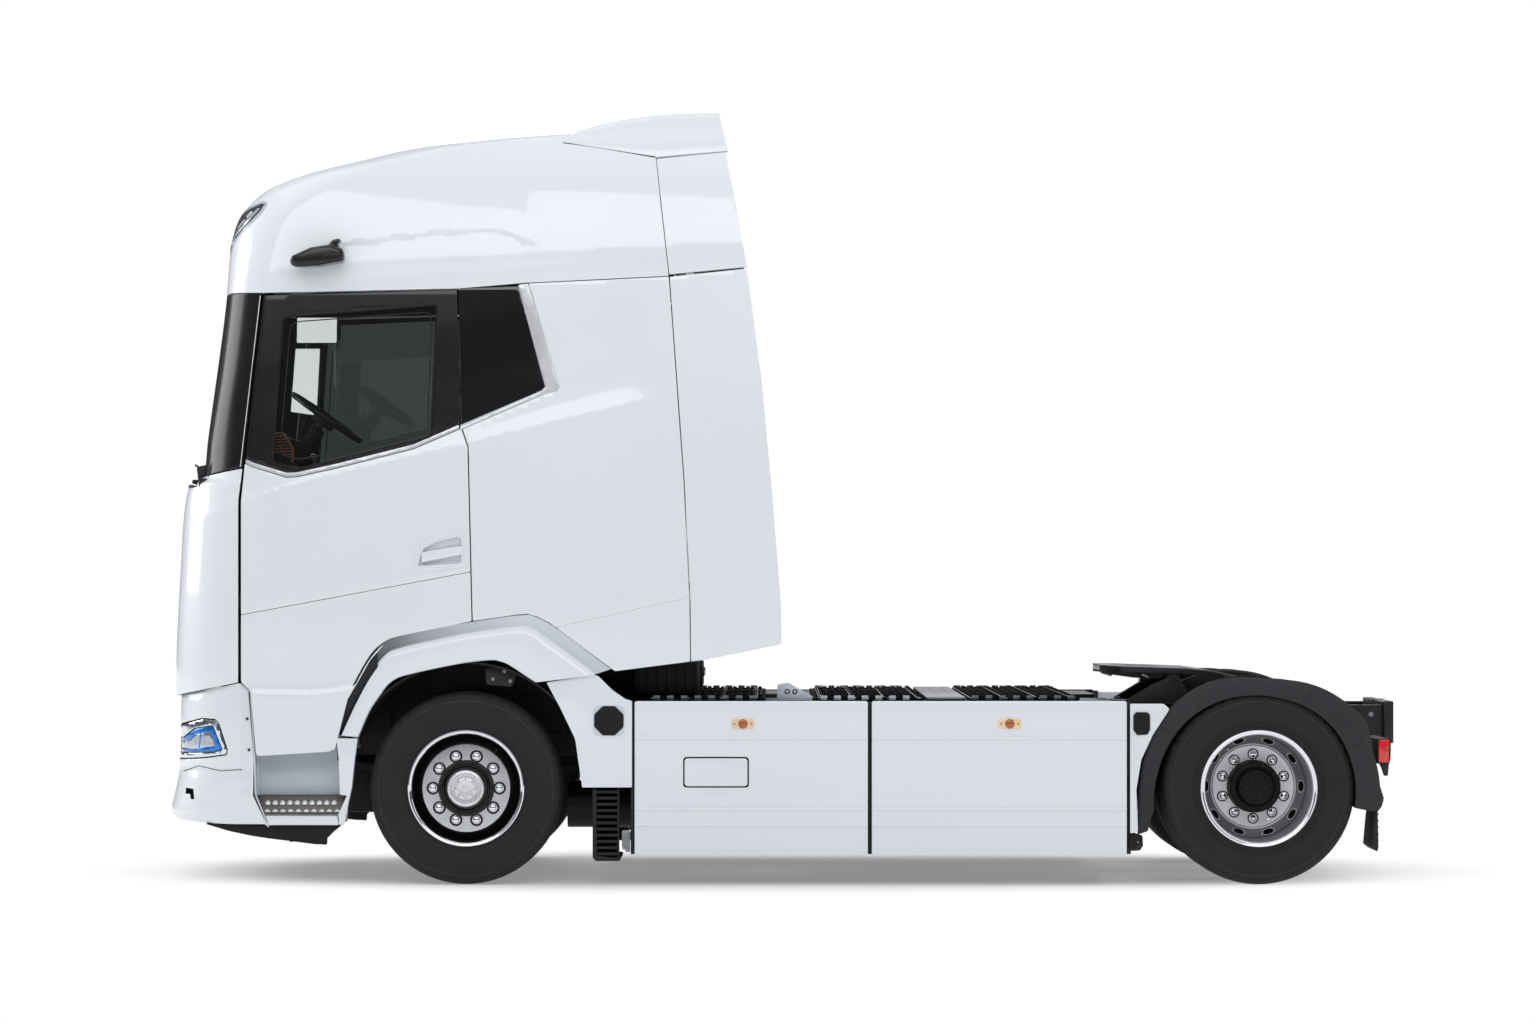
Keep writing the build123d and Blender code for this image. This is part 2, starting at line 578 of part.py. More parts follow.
with BuildPart() as air_springs:                # trailing arm under the axle, a bellows at each end
    add(block(2010, 2890, -410, -320, AXLE_Z - 105, AXLE_Z - 75))
    for x in (2130, 2780):
        add(post(x, -375, 105, AXLE_Z - 75, RAIL_BOTTOM))
    mirror(about=Plane.XZ)
air_springs.part.label = "air_springs"
export_step(air_springs.part, "parts/air_springs.step")

with BuildPart() as drive_unit:
    with BuildSketch(Plane.YZ.offset(1720)):
        with Locations((0, 540)):
            Circle(45)
    extrude(amount=560)
    add(drum(REAR_AXLE_X, AXLE_Z, 190, -130, 130), mode=Mode.SUBTRACT)
    add(block(910, 1720, -300, 300, 500, 860))
drive_unit.part.label = "drive_unit"
export_step(drive_unit.part, "parts/drive_unit.step")

with BuildPart() as air_tanks:                  # slung under a crossmember behind the front axle
    with BuildSketch(Plane.YZ.offset(-1170)):
        with Locations((-190, 362)):
            Circle(118)
    extrude(amount=360)
    add(block(-1008, -984, -230, -150, 470, 665))
    mirror(about=Plane.XZ)
air_tanks.part.label = "air_tanks"
export_step(air_tanks.part, "parts/air_tanks.step")

# ---------------------------------------------------------------- battery boxes and side panels
PACKS = ((-740, 390), (460, 1700))              # each box, x from and to
with BuildPart() as battery_boxes:
    for x0, x1 in PACKS:
        add(block(x0, x1, -BOX_OUT, -RAIL_OUT, BOX_Z0, BOX_Z1))
    mirror(about=Plane.XZ)
battery_boxes.part.label = "battery_boxes"
export_step(battery_boxes.part, "parts/battery_boxes.step")

with BuildPart() as side_panels:
    add(prism_xz(FRONT_PANEL, -SHEET_OUT, -BOX_OUT))
    add(prism_xz(REAR_PANEL, -SHEET_OUT, -BOX_OUT))
    mirror(about=Plane.XZ)
    add(block(FLAP_X0, FLAP_X1, -1300, -1100, FLAP_Z0, FLAP_Z1), mode=Mode.SUBTRACT)
side_panels.part.label = "side_panels"
export_step(side_panels.part, "parts/side_panels.step")

with BuildPart() as end_panels:
    add(prism_xz(END_PANEL, -SHEET_OUT, -BOX_OUT))
    add(block(1700, 1800, -BOX_OUT, -BOX_OUT + 40, 500, 560))
    mirror(about=Plane.XZ)
end_panels.part.label = "end_panels"
export_step(end_panels.part, "parts/end_panels.step")

with BuildPart() as charge_flap:                # left side only, hinged along its top edge
    add(block(FLAP_X0 + 6, FLAP_X1 - 6, -SHEET_OUT - 2, -SHEET_OUT + 18, FLAP_Z0 + 6, FLAP_Z1 - 6))
charge_flap.part.label = "charge_flap"
export_step(charge_flap.part, "parts/charge_flap.step")

TREADS = ((-703, -136), (162, 713), (726, 930), (945, 1512))   # each deck plate, x from and to
with BuildPart() as catwalk:
    for x0, x1 in TREADS:
        add(block(x0, x1, -1140, 1140, BOX_Z1, BOX_Z1 + 22))
    add(prism_xz([(-49, 945), (-49, 1040), (12, 1042), (146, 965), (120, 945)], -1130, -1100))
catwalk.part.label = "catwalk"
export_step(catwalk.part, "parts/catwalk.step")

# ---------------------------------------------------------------- mudguards and wheel housings
with BuildPart() as front_mudguards:
    add(prism_xz(FRONT_GUARD, -1240, -1205))
    add(prism_xz([(-1150, 1060), (-996, 1084), (-971, 1079), (-898, 1007), (-831, 960), (-796, 950), (-796, 502),
                  (-1010, 502), (-1030, 754), (-1090, 914)], -1205, -640))
    add(prism_xz(FRONT_GUARD_ROOM, -1195, -600), mode=Mode.SUBTRACT)
    add(block(-796, -740, -700, -500, 600, 660))
    mirror(about=Plane.XZ)
front_mudguards.part.label = "front_mudguards"
export_step(front_mudguards.part, "parts/front_mudguards.step")

with BuildPart() as wheel_housings:             # liner over each front wheel, hung from the cab floor
    add(drum(FRONT_AXLE_X, AXLE_Z, HOUSE_R + 12, -1185, -540))
    add(block(-1700, -1600, -640, -560, 1140, FLOOR_Z0))
    add(drum(FRONT_AXLE_X, AXLE_Z, HOUSE_R, -1300, -500), mode=Mode.SUBTRACT)
    add(prism_xz([(FRONT_AXLE_X, AXLE_Z), (-2400, 860), (-2400, 1500), (-1000, 1500), (-1230, 1080)], -1300, -500),
        mode=Mode.INTERSECT)
    mirror(about=Plane.XZ)
wheel_housings.part.label = "wheel_housings"
export_step(wheel_housings.part, "parts/wheel_housings.step")

GUARD_R = 550.0                                 # inside of the guard over the rear tyres
with BuildPart() as rear_mudguards:
    add(drum(REAR_AXLE_X, AXLE_Z, GUARD_R + 16, -1230, -575))
    add(prism_xz([(2436, 498), (1600, 420), (1600, 1200), (3200, 1200), (3200, 430)], -1300, -500), mode=Mode.INTERSECT)
    add(prism_xz(REAR_GUARD, -1245, -1215))
    add(drum(REAR_AXLE_X, AXLE_Z, GUARD_R, -1300, -500), mode=Mode.SUBTRACT)
    for x in (1935, 2905):
        add(block(x, x + 30, -640, -RAIL_OUT, 782, 822))
    mirror(about=Plane.XZ)
rear_mudguards.part.label = "rear_mudguards"
export_step(rear_mudguards.part, "parts/rear_mudguards.step")

with BuildPart() as mudflaps:
    add(prism_xz([(-1001, 502), (-1001, 140), (-985, 121), (-857, 121), (-857, 140), (-980, 150), (-980, 502)], -1215, -660))
    add(prism_xz([(2992, 420), (2990, 193), (3020, 167), (3046, 167), (3031, 420)], -1213, -590))
    mirror(about=Plane.XZ)
mudflaps.part.label = "mudflaps"
export_step(mudflaps.part, "parts/mudflaps.step")

with BuildPart() as rear_lights:
    add(block(3062, 3120, -1200, -640, 626, 749))
    add(block(3080, 3115, -650, -RAIL_OUT, 650, 720))
    mirror(about=Plane.XZ)
rear_lights.part.label = "rear_lights"
export_step(rear_lights.part, "parts/rear_lights.step")

# ---------------------------------------------------------------- fifth wheel
CHEEKS = ((-360, -345), (-430, -415))           # each upright, y from and to
# upright and plate in side view, from the pivot
CHEEK = [(-270, -134), (-115, -27), (-26, 10), (26, 10), (70, -50), (110, -134)]
PLATE_SIDE = [(-430, 64), (90, 64), (190, 58), (500, 4), (500, -20), (190, 26), (60, FW_UNDER), (-430, FW_UNDER)]
with BuildPart() as fifth_wheel_base:
    for y0, y1 in CHEEKS:
        add(prism_xz([(FW_X + x, FW_Z + z) for x, z in CHEEK], y0, y1))
        add(drum(FW_X, FW_Z, 27, y0, y1))
    add(drum(FW_X, FW_Z, PIN_R, -430, -345))
    add(block(FW_X - 280, FW_X + 180, -430, 1, RAIL_TOP, RAIL_TOP + 14))
    mirror(about=Plane.XZ)
fifth_wheel_base.part.label = "fifth_wheel_base"
export_step(fifth_wheel_base.part, "parts/fifth_wheel_base.step")

with BuildPart() as plate:                      # drawn level, with its pivot at the origin
    with BuildSketch(Plane.XY.offset(-30)):
        with BuildLine():
            Polyline((-410, -250), (-300, -FW_HALF), (250, -FW_HALF), (440, -330), (495, -200), (130, -62), (60, -62),
                     (60, 62), (130, 62), (495, 200), (440, 330), (250, FW_HALF), (-300, FW_HALF), (-410, 250), close=True)
        make_face()
    extrude(amount=100)
    add(prism_xz(PLATE_SIDE, -500, 500), mode=Mode.INTERSECT)
    with BuildSketch(Plane.XY.offset(-32)):
        with Locations((-48, 0)):
            Rectangle(204, 150)
    extrude(amount=FW_UNDER + 36)
    with BuildSketch(Plane.XY.offset(-32)):
        Circle(KINGPIN_BORE_R)
    extrude(amount=120, mode=Mode.SUBTRACT)
    for y in (-365, 410):
        with BuildSketch(Plane.XZ.offset(-y)):
            Circle(40)
            with Locations((0, FW_UNDER / 2)):
                Rectangle(80, FW_UNDER)
            Circle(PIN_R + STEER_GAP, mode=Mode.SUBTRACT)
        extrude(amount=45)
with BuildPart() as fifth_wheel:
    add(plate.part.rotate(Axis.Y, FW_TILT).translate((FW_X, 0, FW_Z)))
fifth_wheel.part.label = "fifth_wheel"
export_step(fifth_wheel.part, "parts/fifth_wheel.step")

# ---------------------------------------------------------------- cab interior and mounts
lean = math.radians(WHEEL_LEAN)
wheel_plane = Plane(origin=WHEEL_C, x_dir=(math.cos(lean), 0, -math.sin(lean)), z_dir=(math.sin(lean), 0, math.cos(lean)))
rim_plane = Plane(origin=WHEEL_C, x_dir=wheel_plane.x_dir, z_dir=(0, -1, 0))
with BuildPart() as dashboard:                  # with the steering column and its stub shaft
    add(inner)
    add(prism_xz(DASH, -1175, 1175), mode=Mode.INTERSECT)
    with BuildSketch(wheel_plane.offset(-460)):
        Circle(48)
    extrude(amount=400)
    with BuildSketch(wheel_plane.offset(-60)):
        Circle(14)
    extrude(amount=45)
dashboard.part.label = "dashboard"
export_step(dashboard.part, "parts/dashboard.step")

with BuildPart() as steering_wheel:
    with BuildSketch(wheel_plane.offset(-50)):
        Circle(70)
        Circle(14 + STEER_GAP, mode=Mode.SUBTRACT)
    extrude(amount=36)
    with BuildSketch(wheel_plane.offset(-14)):
        Circle(70)
    extrude(amount=16)
    with BuildSketch(wheel_plane.offset(-16)):
        with PolarLocations(125, 3):
            Rectangle(160, 42)
    extrude(amount=14)
    with BuildSketch(rim_plane):
        with Locations((WHEEL_RR, 0)):
            Circle(17)
    revolve(axis=Axis(WHEEL_C, wheel_plane.z_dir))
steering_wheel.part.label = "steering_wheel"
export_step(steering_wheel.part, "parts/steering_wheel.step")

S0, S1 = -SEAT_Y - 200, -SEAT_Y + 200
with BuildPart() as seat_bases:                 # pedestal and back frame
    add(block(-1960, -1560, S0, S1, FLOOR_Z1, FLOOR_Z1 + 330))
    add(prism_xz([(-1600, 1700), (-1530, 1700), (-1420, 2550), (-1450, 2550), (-1565, 1820), (-1600, 1820)], S0, S1))
    mirror(about=Plane.XZ)
seat_bases.part.label = "seat_bases"
export_step(seat_bases.part, "parts/seat_bases.step")
with BuildPart() as seat_cushions:
    add(prism_xz([(-1588, 1960), (-1543, 1960), (-1452, 2540), (-1440, 2740), (-1530, 2740), (-1560, 2560), (-1650, 1990)],
                 S0 - 50, S1 + 50))
    add(seat_bases.part, mode=Mode.SUBTRACT)
    add(prism_xz([(-2080, FLOOR_Z1 + 345), (-2060, FLOOR_Z1 + 330), (-1600, FLOOR_Z1 + 330), (-1595, FLOOR_Z1 + 450),
                  (-2000, FLOOR_Z1 + 480), (-2070, FLOOR_Z1 + 460)], S0 - 60, S1 + 60))
    mirror(about=Plane.XZ)
seat_cushions.part.label = "seat_cushions"
export_step(seat_cushions.part, "parts/seat_cushions.step")

with BuildPart() as bunk:
    add(inner)
    add(block(-1230, REAR_WALL_X0, -1160, 1160, FLOOR_Z1, 2120), mode=Mode.INTERSECT)
bunk.part.label = "bunk"
export_step(bunk.part, "parts/bunk.step")

with BuildPart() as cab_mounts:                 # front posts, rear portal and the dark housing under the cab's rear
    for x0, x1 in ((-2780, -2700), (-775, -715)):
        add(block(x0, x1, -RAIL_OUT, -RAIL_OUT + 80, RAIL_TOP, FLOOR_Z0))
    mirror(about=Plane.XZ)
    add(block(-775, -715, -RAIL_OUT, RAIL_OUT, 1330, FLOOR_Z0))
    add(block(-800, -455, -880, 880, 970, 1140))
cab_mounts.part.label = "cab_mounts"
export_step(cab_mounts.part, "parts/cab_mounts.step")
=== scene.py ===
import math
import bmesh
import bpy
import numpy as np
from mathutils import Matrix, Vector


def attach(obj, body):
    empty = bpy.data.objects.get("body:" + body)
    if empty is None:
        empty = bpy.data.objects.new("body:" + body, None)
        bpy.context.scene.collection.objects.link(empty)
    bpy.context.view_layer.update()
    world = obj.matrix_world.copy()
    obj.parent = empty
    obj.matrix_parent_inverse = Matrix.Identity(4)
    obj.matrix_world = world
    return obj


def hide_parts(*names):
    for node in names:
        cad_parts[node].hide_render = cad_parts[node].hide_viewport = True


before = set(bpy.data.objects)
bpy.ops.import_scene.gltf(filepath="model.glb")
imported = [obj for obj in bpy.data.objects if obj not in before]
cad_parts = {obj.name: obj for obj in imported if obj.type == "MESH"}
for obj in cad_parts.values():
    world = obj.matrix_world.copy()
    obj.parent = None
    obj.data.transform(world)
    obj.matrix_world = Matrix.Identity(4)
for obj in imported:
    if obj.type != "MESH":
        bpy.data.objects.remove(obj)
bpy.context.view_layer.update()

scene = bpy.context.scene

# ---------------------------------------------------------------- camera, lights, floor
cam_data = bpy.data.cameras.new("view_camera")
cam_data.lens = 109.2
cam_data.sensor_width = 36.0
cam_data.shift_y = 0.0409
cam_data.clip_end = 400
cam = bpy.data.objects.new("view_camera", cam_data)
cam.location = (-0.095, -25.25, 1.6)
cam.rotation_euler = (math.radians(90), 0, 0)
scene.collection.objects.link(cam)
scene.camera = cam
scene.view_settings.view_transform = "Standard"


def area(name, loc, target, sx, sy, power, color=(1, 1, 1)):
    d = bpy.data.lights.new(name, "AREA")
    d.shape, d.size, d.size_y, d.energy, d.color = "RECTANGLE", sx, sy, power, color
    o = bpy.data.objects.new(name, d)
    o.location = loc
    o.rotation_euler = (Vector(target) - Vector(loc)).to_track_quat("-Z", "Y").to_euler()
    scene.collection.objects.link(o)
    return o


area("top_box", (0, -1.0, 9.5), (0, 0, 0), 15, 10, 300, (1, 1, 1))
area("side_box", (-1, -13, 8.4), (0, 0, 1.6), 14, 4.4, 555, (0.985, 0.99, 1))
area("front_box", (-11, 0.3, 4.6), (-2.6, -1.0, 2.4), 6.0, 5.6, 420, (1, 1, 1))
area("rear_box", (11, -3, 5.0), (1, 0, 1.5), 7, 5, 160, (1, 1, 1))
area("far_box", (0, 13, 6.5), (0, 0, 1.6), 12, 5, 300, (1, 1, 1))

world = bpy.data.worlds.new("studio")
scene.world = world
world.use_nodes = True
wt = world.node_tree
wt.nodes.clear()
w_out = wt.nodes.new("ShaderNodeOutputWorld")
w_mix = wt.nodes.new("ShaderNodeMixShader")
w_cam = wt.nodes.new("ShaderNodeBackground")
w_env = wt.nodes.new("ShaderNodeBackground")
w_path = wt.nodes.new("ShaderNodeLightPath")
w_cam.inputs["Color"].default_value = (0.985, 0.987, 0.99, 1)
w_cam.inputs["Strength"].default_value = 1.02
w_env.inputs["Strength"].default_value = 1.0
w_tc = wt.nodes.new("ShaderNodeTexCoord")
w_sep = wt.nodes.new("ShaderNodeSeparateXYZ")
w_ramp = wt.nodes.new("ShaderNodeValToRGB")
w_ramp.color_ramp.elements[0].position = 0.10
w_ramp.color_ramp.elements[0].color = (0.105, 0.108, 0.112, 1)
w_ramp.color_ramp.elements[1].position = 0.55
w_ramp.color_ramp.elements[1].color = (0.47, 0.48, 0.50, 1)
wt.links.new(w_tc.outputs["Generated"], w_sep.inputs[0])
wt.links.new(w_sep.outputs["Z"], w_ramp.inputs["Fac"])
wt.links.new(w_ramp.outputs["Color"], w_env.inputs["Color"])
wt.links.new(w_path.outputs["Is Camera Ray"], w_mix.inputs["Fac"])
wt.links.new(w_env.outputs[0], w_mix.inputs[1])
wt.links.new(w_cam.outputs[0], w_mix.inputs[2])
wt.links.new(w_mix.outputs[0], w_out.inputs["Surface"])


# ---------------------------------------------------------------- materials
def srgb(h):
    c = [int(h[i:i + 2], 16) / 255 for i in (0, 2, 4)]
    return tuple(x / 12.92 if x <= 0.04045 else ((x + 0.055) / 1.055) ** 2.4 for x in c)


def material(name, base, rough=0.5, metal=0.0, coat=0.0, coat_rough=0.04, spec=0.5, var=0.05, var_scale=3.0,
             rough_var=0.06, bump=0.0, bump_scale=400.0, detail=3.0, trans=0.0, ior=1.45, sheen=0.0, emit=0.0,
             fine=None, aniso=0.0):
    """A node material: broad and fine noise vary its colour and roughness, and a bump gives its grain."""
    m = bpy.data.materials.new(name)
    m.use_nodes = True
    t = m.node_tree
    b = t.nodes["Principled BSDF"]
    col = srgb(base)
    b.inputs["Roughness"].default_value = rough
    b.inputs["Metallic"].default_value = metal
    b.inputs["Coat Weight"].default_value = coat
    b.inputs["Coat Roughness"].default_value = coat_rough
    b.inputs["Specular IOR Level"].default_value = spec
    b.inputs["Transmission Weight"].default_value = trans
    b.inputs["IOR"].default_value = ior
    b.inputs["Sheen Weight"].default_value = sheen
    b.inputs["Anisotropic"].default_value = aniso
    if emit:
        b.inputs["Emission Color"].default_value = (*col, 1)
        b.inputs["Emission Strength"].default_value = emit
    tc = t.nodes.new("ShaderNodeTexCoord")
    n1 = t.nodes.new("ShaderNodeTexNoise")
    n1.inputs["Scale"].default_value = var_scale
    n1.inputs["Detail"].default_value = detail
    t.links.new(tc.outputs["Object"], n1.inputs["Vector"])
    ramp = t.nodes.new("ShaderNodeValToRGB")
    lo = tuple(max(0, x * (1 - var)) for x in col)
    hi = tuple(min(1, x * (1 + var)) for x in col)
    ramp.color_ramp.elements[0].position, ramp.color_ramp.elements[1].position = 0.3, 0.7
    ramp.color_ramp.elements[0].color = (*lo, 1)
    ramp.color_ramp.elements[1].color = (*hi, 1)
    t.links.new(n1.outputs["Fac"], ramp.inputs["Fac"])
    t.links.new(ramp.outputs["Color"], b.inputs["Base Color"])
    n2 = t.nodes.new("ShaderNodeTexNoise")
    n2.inputs["Scale"].default_value = fine or bump_scale * 0.2
    n2.inputs["Detail"].default_value = 4
    t.links.new(tc.outputs["Object"], n2.inputs["Vector"])
    mr = t.nodes.new("ShaderNodeMapRange")
    mr.inputs["From Min"].default_value, mr.inputs["From Max"].default_value = 0.3, 0.7
    mr.inputs["To Min"].default_value = max(0.0, rough - rough_var)
    mr.inputs["To Max"].default_value = min(1.0, rough + rough_var)
    t.links.new(n2.outputs["Fac"], mr.inputs["Value"])
    t.links.new(mr.outputs["Result"], b.inputs["Roughness"])
    if bump:
        n3 = t.nodes.new("ShaderNodeTexNoise")
        n3.inputs["Scale"].default_value = bump_scale
        n3.inputs["Detail"].default_value = 2
        t.links.new(tc.outputs["Object"], n3.inputs["Vector"])
        bp = t.nodes.new("ShaderNodeBump")
        bp.inputs["Strength"].default_value = bump
        bp.inputs["Distance"].default_value = 0.002
        t.links.new(n3.outputs["Fac"], bp.inputs["Height"])
        t.links.new(bp.outputs["Normal"], b.inputs["Normal"])
    return m


PAINT = material("cab_paint", "e2e6ec", 0.34, coat=0.8, coat_rough=0.05, var=0.012, rough_var=0.03, bump=0.012,
                 bump_scale=900, var_scale=1.2)
# a greyer copy of the cab paint: painted half shade for the flare bevels, the mudguard recess and the bumper's edge
# strip
PAINTED_HALF_SHADE = material("cab_paint_painted_half_shade", "c9cfd8", 0.34, coat=0.8, coat_rough=0.05, var=0.02, rough_var=0.03, bump=0.012,
                  bump_scale=900, var_scale=1.2)
# a darker copy of the cab paint: painted shade, used on the roof lamp housings, the quarter window inner trims and the
# front lid bars
PAINTED_SHADE = material("cab_paint_painted_shade", "aeb6c2", 0.34, coat=0.8, coat_rough=0.05, var=0.02, rough_var=0.03, bump=0.012,
                 bump_scale=900, var_scale=1.2)
FLARE_PAINTED_SHADE = material("flare_painted_shade", "ccd3dd", 0.30, coat=0.8, coat_rough=0.05, var=0.02, rough_var=0.03, bump=0.012)


def graded(m, stops):
    """Darken a material along the object's X as painted shade, from front to back: stops are (metres, share)."""
    t = m.node_tree
    b = t.nodes["Principled BSDF"]
    src = b.inputs["Base Color"].links[0].from_socket
    tc = t.nodes.new("ShaderNodeTexCoord")
    sp = t.nodes.new("ShaderNodeSeparateXYZ")
    mr = t.nodes.new("ShaderNodeMapRange")
    mr.inputs["From Min"].default_value, mr.inputs["From Max"].default_value = stops[0][0], stops[-1][0]
    cr = t.nodes.new("ShaderNodeValToRGB")
    while len(cr.color_ramp.elements) < len(stops):
        cr.color_ramp.elements.new(0.5)
    for e, (x, k) in zip(cr.color_ramp.elements, stops):
        e.position = (x - stops[0][0]) / (stops[-1][0] - stops[0][0])
        e.color = (k, k, k, 1)
    mx = t.nodes.new("ShaderNodeMix")
    mx.data_type = "RGBA"
    mx.blend_type = "MULTIPLY"
    mx.inputs["Factor"].default_value = 1.0
    t.links.new(tc.outputs["Object"], sp.inputs[0])
    t.links.new(sp.outputs["X"], mr.inputs["Value"])
    t.links.new(mr.outputs["Result"], cr.inputs["Fac"])
    t.links.new(src, mx.inputs[6])
    t.links.new(cr.outputs["Color"], mx.inputs[7])
    t.links.new(mx.outputs[2], b.inputs["Base Color"])


# the flare's bevel paint darkens towards the front leg: painted shade
graded(FLARE_PAINTED_SHADE, [(-2.12, 0.10), (-2.02, 0.22), (-1.88, 0.52), (-1.65, 0.78), (-1.35, 1.0), (-1.0, 0.9)])
SILVER = material("belt_silver", "c9cace", 0.34, metal=0.7, var=0.03, bump=0.02, bump_scale=700)
BLACK = material("gloss_black", "111214", 0.24, coat=0.12, var=0.08, rough_var=0.03, bump=0.006, bump_scale=300)
TRIM = material("grained_trim", "1b1c1e", 0.6, var=0.10, bump=0.25, bump_scale=900)
GREYTRIM = material("grey_trim", "27292c", 0.6, spec=0.4, var=0.07, bump=0.25, bump_scale=900)
SEAL = material("seal_rubber", "0b0b0c", 0.75, var=0.15, bump=0.1, bump_scale=500)
CHASSIS = material("chassis_satin", "17181a", 0.42, var=0.12, bump=0.06, bump_scale=250, var_scale=8)
CAST = material("cast_iron", "1f2022", 0.55, metal=0.35, var=0.15, bump=0.35, bump_scale=260, var_scale=12)
FIFTH = material("plate_black", "25272a", 0.34, metal=0.2, coat=0.25, coat_rough=0.2, var=0.12, bump=0.08, bump_scale=300, var_scale=7)
TYRE = material("tyre_rubber", "202123", 0.72, spec=0.35, var=0.09, bump=0.12, bump_scale=600, var_scale=9, rough_var=0.08)
# lighter rubber for the outer sidewall ring: painted highlight
TYRE_RING_PAINTED_HIGHLIGHT = material("tyre_edge_painted_highlight", "45464a", 0.8, spec=0.3, var=0.12, bump=0.2, bump_scale=500, var_scale=20)
RUBBER = material("black_rubber", "18191a", 0.7, var=0.1, bump=0.15, bump_scale=500)
ALLOY = material("forged_alloy", "c3c5c9", 0.24, metal=0.95, var=0.05, bump=0.02, bump_scale=800, var_scale=14, aniso=0.3)
RIMGREY = material("rim_alloy", "d3d4d6", 0.40, metal=0.35, var=0.06, bump=0.04, bump_scale=700, var_scale=10)
HUBBLACK = material("hub_black", "08090a", 0.5, var=0.15, bump=0.12, bump_scale=350, spec=0.25)
CHROME = material("chrome", "e2e4e8", 0.07, metal=1.0, var=0.02, bump=0.004, bump_scale=300, rough_var=0.03)
STEEL = material("zinc_steel", "8d9095", 0.38, metal=0.85, var=0.08, bump=0.05, bump_scale=500)
DECKDARK = material("deck_dark", "111214", 0.8, var=0.12, bump=0.1, bump_scale=500, spec=0.08)
# lighter metal for the fifth wheel's top faces: painted sheen
PLATE_TOP_PAINTED_SHEEN = material("plate_top_painted_sheen", "7d8187", 0.3, metal=0.5, var=0.14, bump=0.06, bump_scale=300, var_scale=6)
# the rim's disc face glows a little: painted light lifting its recessed face
RIMFACE_PAINTED_GLOW = material("rim_face_painted_glow", "eeeff2", 0.38, metal=0.25, emit=0.09, var=0.05, bump=0.04, bump_scale=700, var_scale=10)
RIMDARK = material("rim_barrel", "8d8f93", 0.42, metal=0.4, var=0.08, bump=0.04, bump_scale=700, var_scale=10)
DECK = material("deck_alloy", "6c6f75", 0.36, metal=0.85, var=0.07, bump=0.08, bump_scale=600, var_scale=6)
LAV = material("bracket_grey", "b9bdcb", 0.45, metal=0.3, var=0.05, bump=0.05, bump_scale=600)
STEPGREY = material("step_grey", "cfdbe4", 0.5, var=0.03, bump=0.12, bump_scale=900)
TREAD = material("step_tread", "6b6360", 0.45, metal=0.55, var=0.1, bump=0.1, bump_scale=700)
INTERIOR = material("interior_plastic", "46474a", 0.62, var=0.06, bump=0.2, bump_scale=800)
DARKINT = material("interior_dark", "232427", 0.6, var=0.08, bump=0.25, bump_scale=800)
# the vent's brown glows a little: painted light, no lamp
BROWN_PAINTED_GLOW = material("vent_brown_painted_glow", "a0664c", 0.5, emit=0.16, var=0.1, bump=0.15, bump_scale=700)
# the blind's grey glows: painted light, no lamp
BLIND_PAINTED_GLOW = material("window_blind_painted_glow", "7b7d80", 0.8, var=0.04, bump=0.2, bump_scale=900, emit=0.26)
CAPALLOY = material("cap_alloy", "dddee1", 0.28, metal=0.45, var=0.03, bump=0.02, bump_scale=800)
COIL_RED = material("cap_red", "8e1f1c", 0.4, coat=0.2, var=0.08, bump=0.05)
COIL_BLUE = material("cap_blue", "1d3f77", 0.4, coat=0.2, var=0.08, bump=0.05)
BROWN2 = material("vent_rib", "24130d", 0.5, var=0.1, bump=0.1, bump_scale=700)
LINER = material("headliner_cloth", "55565a", 0.9, var=0.05, bump=0.35, bump_scale=1400, sheen=0.2)
SCREEN_GREY = material("display_face", "e2e3e3", 0.3, var=0.02, emit=1.5)
AMBER = material("amber_lens", "a4560e", 0.2, coat=0.7, var=0.22, var_scale=60, spec=0.6, emit=0.04, bump=0.05, bump_scale=350)
AMBER_BASE = material("amber_housing", "f0cfa2", 0.3, coat=0.5, var=0.05, bump=0.03)
RED = material("red_lens", "c8131c", 0.18, coat=0.8, var=0.12, emit=0.22, bump=0.06, bump_scale=300)
BLUE = material("lamp_blue", "0c72c6", 0.16, coat=0.9, metal=0.4, var=0.3, var_scale=25, emit=0.08, bump=0.03, bump_scale=200)
LAMP = material("lamp_reflector", "c8ccd2", 0.16, metal=0.9, var=0.08, bump=0.05, bump_scale=150)
LEATHER = material("wheel_leather", "16201d", 0.42, var=0.1, bump=0.35, bump_scale=700, coat=0.2)
# the steering wheel's green band glows a little: painted light, no lamp
GREEN_MARK_PAINTED_GLOW = material("rim_green_painted_glow", "1c5c4e", 0.3, emit=0.10, coat=0.5, var=0.15, bump=0.1)


def glass(name, tint, rough=0.02, alpha_dark=0.0):
    m = bpy.data.materials.new(name)
    m.use_nodes = True
    t = m.node_tree
    b = t.nodes["Principled BSDF"]
    b.inputs["Roughness"].default_value = rough
    b.inputs["IOR"].default_value = 1.45
    b.inputs["Transmission Weight"].default_value = 1.0
    b.inputs["Coat Weight"].default_value = 0.0
    tc = t.nodes.new("ShaderNodeTexCoord")
    n = t.nodes.new("ShaderNodeTexNoise")
    n.inputs["Scale"].default_value = 2.0
    t.links.new(tc.outputs["Object"], n.inputs["Vector"])
    r = t.nodes.new("ShaderNodeValToRGB")
    c = srgb(tint)
    r.color_ramp.elements[0].color = (*(x * 0.95 for x in c), 1)
    r.color_ramp.elements[1].color = (*(min(1, x * 1.05) for x in c), 1)
    t.links.new(n.outputs["Fac"], r.inputs["Fac"])
    t.links.new(r.outputs["Color"], b.inputs["Base Color"])
    return m


GLASS = glass("side_glass", "c0c5c4")
PRIVACY = material("privacy_glass", "101113", 0.05, coat=0.7, coat_rough=0.02, var=0.04, rough_var=0.02, bump=0.004, bump_scale=200)
LENS = glass("lamp_lens", "f2f6fa")
LENSOFF = material("lamp_window", "d8dce2", 0.12, coat=0.8, var=0.06, metal=0.4, bump=0.05, bump_scale=200)


